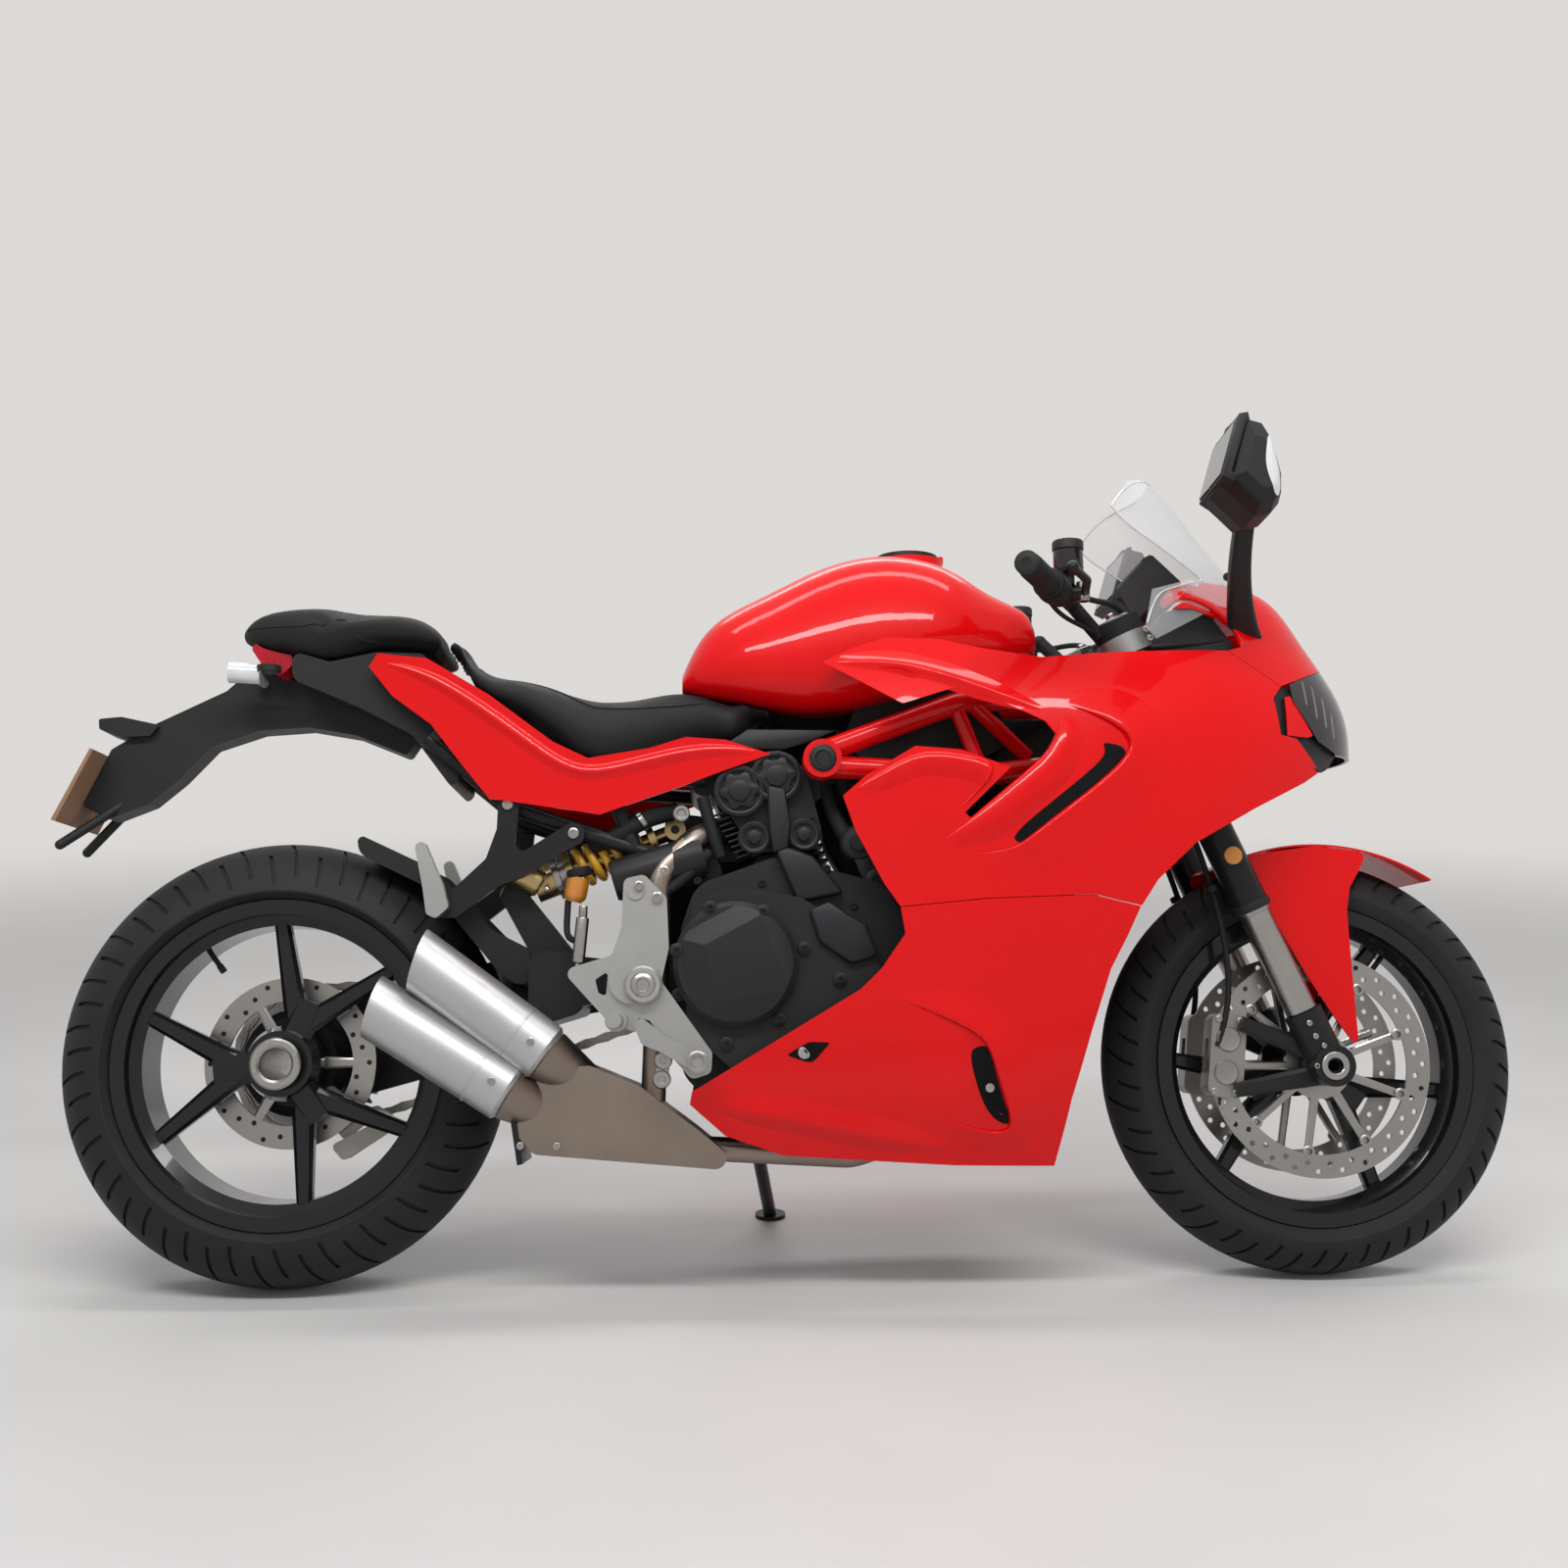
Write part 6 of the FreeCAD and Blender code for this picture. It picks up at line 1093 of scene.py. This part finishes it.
def make_headlight_surround():
    """Black recess round a red fin beside the headlight, the lamp's ribs and the nose's dark lining."""
    recesses, fins, ribs, linings = [], [], [], []
    upper = [((1398, 828), (1441, 842)), ((1398, 800), (1444, 815)), ((1402, 778), (1458, 792))]
    lower = [((1406, 752), (1480, 762)), ((1440, 744), (1500, 752)), ((1476, 706), (1520, 752))]
    cuts = ((at(1424, 0, 800), (-1.0, 0.0, 0.05)), (at(1460, 0, 764), (0.0, 0.0, -1.0)),
        (at(1445, 0, 806), (0.85, 0.0, 0.5)), (at(1440, 0, 826), (-0.3, 0.0, 1.0)))
    for side, facing in both:
        recesses.append(sheet_between(upper + lower, side, "side_fairings", "headlight", 7.0, 3.0))
        fin = sheet_between(upper + [((1406, 758), (1478, 766))], side, "side_fairings", "headlight", 0.5,
            2.5)
        fins.append(cut_away(fin, cuts))
        for x, top, bottom in ((1462, 852, 812), (1478, 846, 792), (1494, 830, 780), (1508, 806, 766)):
            heights = [top - step * (top - bottom) / 4 for step in range(5)]
            ribs.append(skin_patch("headlight", [[(x - 1.5, z, 0.5), (x + 1.5, z, 0.5)] for z in heights],
                side, 1.0, 1))
        linings.append(cut_plate([(1236, 882), (1232, 916), (1262, 952), (1296, 962), (1336, 944),
            (1364, 905), (1372, 878)], side * 112, side * 120, 1.5))
        linings.append(peg(at(1240, side * 122, 900), at(1352, side * 116, 912), 4.5, 16, 1.0))
    settle(recesses, "headlight_recesses", "cover_black", 40.0)
    settle(fins, "headlight_fins", "body_paint")
    settle(ribs, "headlight_ribs", "caliper_metal")
    settle(linings, "nose_linings", "cover_black")


def make_mirror_lenses():
    """Clear indicator lenses along the front of the mirrors."""
    pairs = [((1337, 1124), (1345, 1124)), ((1332, 1104), (1347, 1102)), ((1330, 1082), (1350, 1080)),
        ((1336, 1060), (1352, 1058)), ((1343, 1044), (1350, 1042))]
    settle(on_both("mirrors", across_a_gap(pairs, 1.4, 2.2, 1.2), 1.5, 2), "mirror_lenses", "clear_lens",
        50.0)


make_bar_details()
make_clamp_details()
make_screen_trim()
make_headlight_surround()
make_mirror_lenses()


# Fork and front wheel

def make_fork_details():
    """Reflectors, straps, wipers, hoses, axle nut and pinch bolts on the fork."""
    amber, pale, bright, rubber, black = [], [], [], [], []
    for side, facing in both:
        high = on_leg(0.68, side)
        black.append(turned(on_leg(0.553, side), high,
            [(25, 0), (28.5, 1), (29, 6), (28, 12), (25.5, 14)], 48))
        bright.append(turned(on_leg(0.548, side), high, [(21, 0), (24, 0.5), (24, 5), (21, 6)], 48))
        face = on_leg(0.636, side, 0.0, 0.1335)
        amber.append(peg(face - facing * 0.004, face + facing * 0.004, 13.0, 32, 1.6))
        pale.append(turned(on_leg(0.70, side), on_leg(0.8, side),
            [(25.6, 0), (27.0, 0.5), (27.0, 4.0), (25.6, 4.5)], 40))
        rubber.append(hose([up_the_fork(0.765, 0.01, side * 0.112), up_the_fork(0.70, 0.012, side * 0.1),
            up_the_fork(0.62, 0.006, side * 0.094), up_the_fork(0.52, -0.012, side * 0.09),
            up_the_fork(0.44, -0.046, side * 0.088), up_the_fork(0.40, -0.088, side * 0.086)], 4.4))
        for height in (0.715, 0.6):
            rubber.append(turned(up_the_fork(height, 0.0, side * 0.1),
                up_the_fork(height + 0.1, 0.0, side * 0.1), [(4.5, 0), (8.5, 0.6), (8.5, 9), (4.5, 10)],
                20))
        for across in (-14, 14):
            spot = front_axle + at(-20 + across * 0.4, side * 134, 14 + across)
            bright.append(bolts([spot], facing, 3.6, 2.6))
        hub = front_axle + at(0, side * 134, 0)
        bright.append(turned(hub, hub + facing, [(11.0, 0), (18.5, 0), (19.5, 1.2), (19.5, 4.4),
            (18.0, 5.6), (12.5, 5.6), (11.0, 4.4)], 48))
        for height in (0.41, 0.43):
            bright.append(bolts([on_leg(height - 0.05, side, -0.006, 0.1315)], facing, 4.0, 3.0))
    settle(amber, "fork_reflectors", "amber_cup", body="steering")
    settle(pale, "fork_straps", "clear_lens", body="steering")
    settle(bright, "fork_trim", "steel", body="steering")
    settle(rubber, "front_brake_hoses", "grip_rubber", 60.0, body="steering")
    settle(black, "fork_wipers", "black_plastic", body="steering")


def make_caliper_details():
    """Pistons' caps, bridge bolts and bleed screw on the two calipers."""
    caps, screws = [], []
    turn = math.radians(174.0)
    outward = spoke(turn, 1.0)
    tangent = Vector((-outward.z, 0.0, outward.x))
    centre = front_axle + outward * 0.139
    for side, facing in both:
        middle = centre + Vector((0.0, side * 0.066, 0.0)) + facing * 0.021
        for end in (-1, 1):
            spot = middle + tangent * (end * 0.0235)
            caps.append(turned(spot - facing * millimetre, spot + facing,
                [(16.5, 0), (17.5, 0.8), (17.5, 2.6), (16.0, 4.2), (13.0, 3.4), (0, 3.4), (0, 0)], 40))
            for rise in (-1, 1):
                place = middle + tangent * (end * 0.051) + outward * (rise * 0.0155)
                screws.append(bolts([place], facing, 4.6, 3.4))
        bleed = middle + tangent * 0.0565 - facing * 0.012
        screws.append(peg(bleed, bleed + tangent * 0.014, 3.2, 12, 0.6))
    settle(caps, "caliper_caps", "caliper_metal", body="steering")
    settle(screws, "caliper_bolts", "steel", body="steering")


def make_disc_bobbins():
    """Silver bobbins between the front discs and their carriers."""
    parts = []
    for side, facing in both:
        for i in range(9):
            turn = 2 * math.pi * i / 9 + 0.35
            spot = front_axle + spoke(turn, 0.1235, side * 0.0655)
            parts.append(turned(spot, spot + facing,
                [(4.0, 0), (8.5, 0), (8.5, 4.0), (7.0, 5.0), (4.5, 5.0), (4.0, 4.0)], 20))
    settle(parts, "disc_bobbins", "steel", body="front_wheel")


def make_wheel_trim():
    """Valves and balance weights in both rims."""
    radius = 0.205
    for name, axle, turn in (("front", front_axle, 0.9), ("rear", rear_axle, 2.2)):
        body = name + "_wheel"
        reach = spoke(turn, 1.0)
        stem = peg(axle + reach * (radius + 0.002), axle + reach * (radius - 0.034), 4.0, 16, 0.6)
        cap = peg(axle + reach * (radius - 0.031), axle + reach * (radius - 0.043), 5.0, 16, 0.8)
        settle([stem, cap], name + "_valve", "black_plastic", body=body)
        spot = axle + spoke(turn + 2.0, 1.0) * (radius + 0.001)
        weight = peg(spot + at(0, -9, 0), spot + at(0, 9, 0), 4.2, 8, 0.8)
        settle([weight], name + "_balance_weight", "cast_alloy", body=body)


make_fork_details()
make_caliper_details()
make_disc_bobbins()
make_wheel_trim()
settle(screws_on("front_fender", ((1392, 560), (1422, 498)), 66, 6.5, 3.0), "fender_bolts",
    "black_plastic", body="steering")


# Rear wheel, chain and exhaust

def make_rear_disc_details():
    """Black faces painted in the rear disc's holes as the shade seen through them, the sprocket's bolts and
    the wheel nut.
    """
    hole_shade, screws, nuts = [], [], []
    # Black discs in the disc's holes: painted shade where the holes show through.
    for i in range(30):
        turn = 2 * math.pi * i / 30
        radius = (0.1135, 0.105, 0.0975)[i % 3]
        x, z = radius * math.cos(turn), radius * math.sin(turn)
        for side in (-1.0, 1.0):
            spot = touching("rear_disc", x * 1000, (rear_axle.z + z) * 1000, side)
            hole_shade.append(peg(spot - at(0, side * 0.4, 0), spot + at(0, side * 0.25, 0), 3.7, 12))
    settle(hole_shade, "rear_disc_hole_shade", "black_metal", body="rear_wheel")
    for i in range(6):
        turn = 2 * math.pi * i / 6 + 0.3
        spot = rear_axle + spoke(turn, 0.062)
        seat = touching("rear_sprocket", spot.x * 1000, spot.z * 1000, 1.0, 150)
        screws.append(bolts([seat], left, 6.5, 5.0))
    settle(screws, "sprocket_bolts", "steel", body="rear_wheel")
    hub = rear_axle + at(0, -79.0, 0)
    nuts.append(turned(hub, hub + right, [(22.5, -2), (33.0, -2), (35.5, 0), (35.5, 5), (33.0, 7),
        (26.0, 7), (22.5, 4)], 48))
    for i in range(4):
        spot = hub + spoke(math.pi * i / 2 + 0.4, 0.0305) + right * 0.0065
        nuts.append(peg(spot, spot + right * 0.0018, 2.6, 12, 0.4))
    settle(nuts, "rear_wheel_nut", "steel", body="rear_wheel")


def chain_places():
    """Pins of the chain in turn: over the top run, round both sprockets and back below."""
    pitch = 0.015875
    small, large = pitch / (2 * math.sin(math.pi / 15)), pitch / (2 * math.sin(math.pi / 43))
    drive, driven = at(572, 0, 432), rear_axle
    gap = drive - driven
    tilt = math.atan2(gap.z, gap.x)
    spread = math.acos((large - small) / gap.length)
    top, low = tilt + spread, tilt - spread
    line = [driven + spoke(top, large)]
    line += [drive + spoke(top + (low - top) * i / 12, small) for i in range(12)]
    line += [drive + spoke(low, small), driven + spoke(low, large)]
    line += [driven + spoke(low + (top - 2 * math.pi - low) * i / 40, large) for i in range(1, 40)]
    line.append(line[0])
    total = sum((b - a).length for a, b in zip(line, line[1:]))
    count = 2 * round(total / pitch / 2)
    step, places, walked, goal = total / count, [], 0.0, 0.0
    for a, b in zip(line, line[1:]):
        length = (b - a).length
        while goal <= walked + length and len(places) < count:
            places.append(a.lerp(b, (goal - walked) / length))
            goal += step
        walked += length
    return places


def make_chain_links():
    """Waisted side plates and pin heads, one pattern copied along both sides of the chain."""
    waist = [(-12.6, 0), (-11.4, 3.4), (-8, 4.8), (-4.6, 4.2), (0, 3.0), (4.6, 4.2), (8, 4.8),
        (11.4, 3.4), (12.6, 0), (11.4, -3.4), (8, -4.8), (4.6, -4.2), (0, -3.0), (-4.6, -4.2), (-8, -4.8),
        (-11.4, -3.4)]
    plate = cut_plate(waist, -0.8, 0.8)
    heads = [peg(at(x, 1.6, 0), at(x, -1.6, 0), 2.4, 10) for x in (-7.94, 7.94)]
    pattern = joined([plate] + heads)
    places = chain_places()
    copies = []
    for i, place in enumerate(places):
        ahead = places[(i + 1) % len(places)]
        middle = (place + ahead) / 2
        turn = math.atan2(ahead.z - place.z, ahead.x - place.x)
        for side in (-1, 1):
            mesh = pattern.data.copy()
            across = 0.1447 + side * (0.0098 if i % 2 else 0.0086)
            mesh.transform(Matrix.Translation((middle.x, across, middle.z))
                @ Matrix.Rotation(-turn, 4, "Y"))
            copies.append(new_object("link", mesh))
    bpy.data.objects.remove(pattern)
    settle(copies, "chain_links", "steel")


def make_exhaust_details():
    """Strap and bolts of the collector box."""
    strap = cut_plate([(326, 300), (334, 303), (353, 182), (345, 180)], -167.6, -38.4, 0.8)
    screws = bolts([at(349, -166, 206), at(333, -166, 286), at(398, -166, 205)], right, 5.0, 3.2)
    settle([strap], "box_strap", "black_metal")
    settle([screws], "box_bolts", "steel")


def make_tail_details():
    """Lens steps on the tail lamp, rims on the indicators, and screws on the tail panels."""
    settle(screws_on("tail_panels", ((223, 775),), 120, 8.0, 2.6), "tail_panel_screws", "black_metal")
    ribs, sleeves = [], []
    for side, facing in both:
        spot = at(-36, side * 99, 869)
        sleeves.append(turned(spot - at(-15, 0, 0), spot + at(15, 0, 0),
            [(15.2, 0), (17.0, 0.6), (17.0, 9.0), (15.2, 10.0)], 32))
        for i in range(3):
            x = -30 + i * 10
            seat = touching("tail_light", x, 893 - i * 3, side, side * 66)
            ribs.append(peg(seat + at(-2, 0, 9), seat + at(3, 0, -9), 1.3, 8))
    settle(ribs, "tail_lamp_ribs", "red_lens")
    settle(sleeves, "indicator_rims", "black_plastic")


def make_fork_sleeves():
    """Bright lower tubes, and the bare upper tubes under the top clamp."""
    sleeves = []
    for side, facing in both:
        low, high = on_leg(0.397, side), on_leg(0.549, side)
        sleeves.append(turned(low, high, [(21.4, 0), (22.0, 0), (22.0, 151), (21.4, 151)], 48))
        low, high = on_leg(0.845, side), on_leg(0.957, side)
        sleeves.append(turned(low, high, [(25.9, 0), (26.5, 0), (26.5, 111), (25.9, 111)], 48))
    settle(sleeves, "bare_fork_tubes", "steel", body="steering")


def make_mirror_faces():
    """Mirror housings drawn back at their outer ends, with the glass turned towards the rider."""
    housings, glasses = [], []
    top, low = Vector((1308.0, 1163.0)), Vector((1280.0, 1066.0))
    for side, facing in both:
        rows = []
        for y, back in ((268, 4.0), (320, 8.0), (372, 14.0), (400, 17.0)):
            y *= side
            rows.append([Vector(place) * millimetre
                for place in ((top.x + 6, y, top.y - 6), (top.x - back * 0.35, y, top.y - 8),
                (low.x - back * 0.35 + 2, y, low.y + 4), (low.x + 12, y, low.y - 4))])
        piece = sheet_of(rows)
        face_toward(piece, Vector((-1.0, 0.0, 0.0)))
        apply_modifier(piece, "SOLIDIFY", thickness=0.014, offset=-1.0)
        housings.append(broken_edges(piece, 2.0, 3))
        bpy.ops.mesh.primitive_plane_add(size=1.0)
        glass = bpy.context.object
        face = ((272, 4.0, 0.1), (390, 15.0, 0.1), (272, 4.0, 0.94), (390, 15.0, 0.94))
        for corner, (y, back, share) in zip(glass.data.vertices, face):
            x = top.x - back * 0.35 + (low.x + 2 - top.x) * share - 1.2
            corner.co = Vector((x, side * y, top.y - 8 + (low.y - top.y + 12) * share)) * millimetre
        face_toward(glass, Vector((-1.0, 0.0, 0.0)))
        apply_modifier(glass, "SOLIDIFY", thickness=0.0025, offset=0.0)
        glasses.append(glass)
    settle(housings, "mirror_backs", "black_plastic")
    glass = settle(glasses, "mirror_faces", "mirror_glass")
    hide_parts("mirror_glasses")


make_rear_disc_details()
make_chain_links()
make_exhaust_details()
make_tail_details()
make_fork_sleeves()
make_mirror_faces()


# Lower fairing, engine front and belt covers

def make_belly_scoops():
    """Lips of the lower slots, the low crease, and near-black floors painted as shade in the slots and the
    small window, on both panels.
    """
    lip_line = [(858, 398, 0.3, 1.0, 0.0), (914, 375, 0.4, 0.9, 0.6), (962, 352, 0.6, 0.8, 1.0),
        (980, 332, 0.95, 0.3, 1.0), (990, 296, 0.95, 0.25, 1.0), (1003, 258, 0.95, 0.25, 1.0),
        (1014, 226, 0.8, -0.6, 0.9), (998, 214, -0.2, -1.0, 0.6), (940, 230, -0.25, -1.0, 0.3),
        (884, 254, -0.3, -1.0, 0.0)]
    lip_columns = [(-1.5, 0.0, -2.5), (-0.6, 5.0, 0.0), (3.0, 8.0, 0.0), (12.0, 6.5, 0.0),
        (30.0, 2.5, 0.0), (48.0, 0.4, 0.0), (56.0, 0.0, -1.5)]
    slot = [((953, 330), (979, 336)), ((956, 304), (988, 296)), ((968, 266), (1001, 258)),
        ((980, 243), (1010, 232)), ((994, 232), (1006, 228))]
    crease_line = [(610, 256, 0.2, 1.0, 0.0), (660, 248, 0.15, 1.0, 0.9), (720, 237, 0.15, 1.0, 1.0),
        (800, 219, 0.15, 1.0, 1.0), (870, 206, 0.12, 1.0, 0.8), (930, 197, 0.1, 1.0, 0.0)]
    crease_columns = [(-22.0, 0.0, -1.5), (-13.0, 3.5, 0.0), (-2.0, 7.5, 0.0), (2.0, 7.5, 0.0),
        (16.0, 3.5, 0.0), (36.0, 0.0, -1.5)]
    window = [((x, low), (x, top)) for x, low, top in ((710, 323, 325), (725, 318, 334),
        (738, 313.5, 341.5), (745, 315, 341), (755, 327, 340.5), (765, 338, 340))]
    node = "belly_fairings"
    ridge(node, "belly_lips", lip_line, lip_columns)
    # Near-black floors across the lower slots: painted shade.
    settle(on_both(node, across_a_gap(slot, 0.9, 0.9, 0.9), 2.5, 2), "belly_slot_painted_shade", "painted_shade_black",
        40.0)
    ridge(node, "belly_creases", crease_line, crease_columns)
    # The small window is a near-black patch: painted shade.
    settle(on_both(node, across_a_gap(window, 0.8, 0.8, 0.8), 2.0, 2), "belly_window_painted_shade", "painted_shade_black")
    alloy = []
    for side, facing in both:
        seat = touching(node, 732, 327, side, side * 160)
        alloy.append(turned(seat, seat + facing,
            [(8.5, -2), (8.5, 1.2), (6.5, 1.8), (4, 1.8), (3.5, 1.0), (0, 1.0), (0, -2)], 24))
        # The slot's bolt stands as far out as the panel beside the slot.
        seat = touching(node, 1008, 285, side, side * 160)
        seat.x, seat.z = 0.980, 0.278
        alloy.append(turned(seat, seat + facing,
            [(6, -2), (6, 4), (5, 5), (3, 5), (2.5, 3.5), (0, 3.5), (0, -2)], 24))
    settle(alloy, "belly_window_bolts", "cast_alloy")
    # Near-black plates behind the lower slots: painted shade.
    outline = [(950, 226), (944, 330), (975, 345), (1024, 226)]
    settle([cut_plate(outline, side * 140, side * 150, 2.0) for side, facing in both], "belly_duct_painted_shade",
        "painted_shade_black")


def make_belt_spines():
    """Sculpted blocks on the belt covers, and the coolant pump with its hoses."""
    spines = []
    for outline, low, high in (([(697, 604), (716, 611), (750, 598), (793, 546), (728, 533)], -150, -128),
            ([(686, 702), (712, 696), (720, 640), (716, 608), (694, 602), (688, 640)], -141, -124),
            ([(742, 522), (772, 534), (798, 514), (822, 502), (838, 458), (800, 446), (756, 478)], -168,
            -140)):
        spine = cut_plate(outline, low, high)
        broken_edges(spine, 6.0, 3, 40.0)
        spines.append(spine)
    settle(spines, "belt_cover_spines", "engine_grey", 25.0)
    pump = [turned(at(816, -96, 620), at(816, -130, 620),
        [(24, 0), (26, 2), (26, 14), (22, 18), (12, 19), (11, 24), (0, 24), (0, 0)], 40),
        turned(at(842, -104, 566), at(842, -130, 566),
        [(16, 0), (17, 1.5), (17, 12), (14, 14), (7, 14), (6, 11), (0, 11), (0, 0)], 32),
        cut_plate([(806, 606), (828, 612), (852, 560), (830, 548)], -112, -98, 3.0)]
    settle(pump, "coolant_pump", "engine_grey")
    lines = [hose(along([(792, -92, 716), (806, -104, 684), (822, -108, 652), (834, -112, 618),
        (846, -112, 580), (862, -108, 540), (880, -100, 520)]), 9.5),
        hose(along([(772, -84, 704), (780, -92, 668), (790, -96, 640), (812, -100, 612)]), 12.0)]
    settle(lines, "coolant_hoses", "grip_rubber", 60.0)


def make_painted_shade_fill():
    """Plain near-black plates that fill the middle of the motorcycle behind its covers, as painted shade."""
    # Painted shade: near-black plates where the middle of the motorcycle lies in shade.
    tray = cut_plate([(640, 800), (690, 842), (815, 842), (880, 800)], -40, 40, 4.0)
    block = cut_plate([(758, 700), (800, 716), (905, 700), (930, 600), (960, 520), (905, 470), (866, 500),
        (812, 560), (776, 620)], -44, 44, 4.0)
    back = cut_plate([(556, 672), (655, 660), (655, 560), (604, 516), (580, 450), (540, 455), (532, 560)],
        -40, -32, 2.0)
    settle([tray, block, back], "inner_painted_shade_plates", "painted_shade_black")


make_belly_scoops()
make_belt_spines()
make_painted_shade_fill()


# Floor and light

pale = (0.72, 0.7, 0.68, 1.0)


def make_floor():
    """A round pale floor that fades, far off, into the pale surroundings."""
    bpy.ops.mesh.primitive_circle_add(vertices=96, radius=40.0, fill_type="NGON")
    floor = bpy.context.object
    floor.name = "floor"
    surface = bpy.data.materials.new("pale floor")
    surface.use_nodes = True
    tree = surface.node_tree
    shader = tree.nodes["Principled BSDF"]
    dial(shader, {"Roughness": 0.55})
    place = add_node(tree, "TexCoord")
    mottle = add_node(tree, "TexNoise")
    dial(mottle, {"Scale": 3.0})
    shade = add_node(tree, "ValToRGB")
    shade.color_ramp.elements[0].color = (0.6, 0.59, 0.58, 1.0)
    shade.color_ramp.elements[1].color = (0.66, 0.65, 0.64, 1.0)
    reach = add_node(tree, "VectorMath", operation="LENGTH")
    fade = add_node(tree, "MapRange", interpolation_type="SMOOTHSTEP")
    dial(fade, {"From Min": 1.6, "From Max": 7.0})
    glow = add_node(tree, "Emission")
    dial(glow, {"Color": pale})
    join = add_node(tree, "MixShader")
    link(tree, (place, "Object", mottle, "Vector"), (mottle, "Fac", shade, "Fac"),
        (shade, "Color", shader, "Base Color"), (place, "Object", reach, 0),
        (reach, "Value", fade, "Value"), (fade, "Result", join, "Fac"), (shader, "BSDF", join, 1),
        (glow, "Emission", join, 2), (join, "Shader", tree.nodes["Material Output"], "Surface"))
    floor.data.materials.append(surface)


def make_light(name, place, turn, width, length, power, mirrored=True):
    bpy.ops.object.light_add(type="AREA", location=place, rotation=[math.radians(a) for a in turn])
    light = bpy.context.object
    light.name = name
    light.data.shape = "RECTANGLE"
    light.data.size = width
    light.data.size_y = length
    light.data.energy = power
    light.visible_glossy = mirrored


def make_surroundings():
    """A pale room where it is seen, and a softer light everywhere else."""
    world = bpy.data.worlds.new("pale room")
    world.use_nodes = True
    tree = world.node_tree
    shown = tree.nodes["Background"]
    dial(shown, {"Color": pale, "Strength": 1.0})
    soft = add_node(tree, "Background")
    dial(soft, {"Color": (0.9, 0.92, 0.95, 1.0), "Strength": 0.3})
    path = add_node(tree, "LightPath")
    seen = add_node(tree, "Math", operation="MAXIMUM")
    either = add_node(tree, "Math", operation="MAXIMUM")
    join = add_node(tree, "MixShader")
    link(tree, (path, "Is Camera Ray", seen, 0), (path, "Is Transmission Ray", seen, 1),
        (seen, "Value", either, 0), (path, "Is Glossy Ray", either, 1), (either, "Value", join, "Fac"),
        (soft, "Background", join, 1), (shown, "Background", join, 2),
        (join, "Shader", tree.nodes["World Output"], "Surface"))
    bpy.context.scene.world = world


make_floor()
make_surroundings()
make_light("ceiling strip near", (-0.2, -1.9, 2.9), (28, 0, 0), 3.4, 0.3, 72)
make_light("ceiling strip over", (0.0, 0.0, 3.1), (0, 0, 0), 3.2, 0.3, 28)
make_light("ceiling strip far", (0.2, 2.0, 2.8), (-34, 0, 0), 3.2, 0.5, 32)
make_light("side fill", (-1.2, -4.2, 1.3), (80, 0, -12), 3.0, 1.6, 14, False)
make_light("front fill", (3.2, -1.2, 1.6), (70, 0, 72), 1.8, 1.6, 20, False)

bpy.data.objects.remove(bolt)
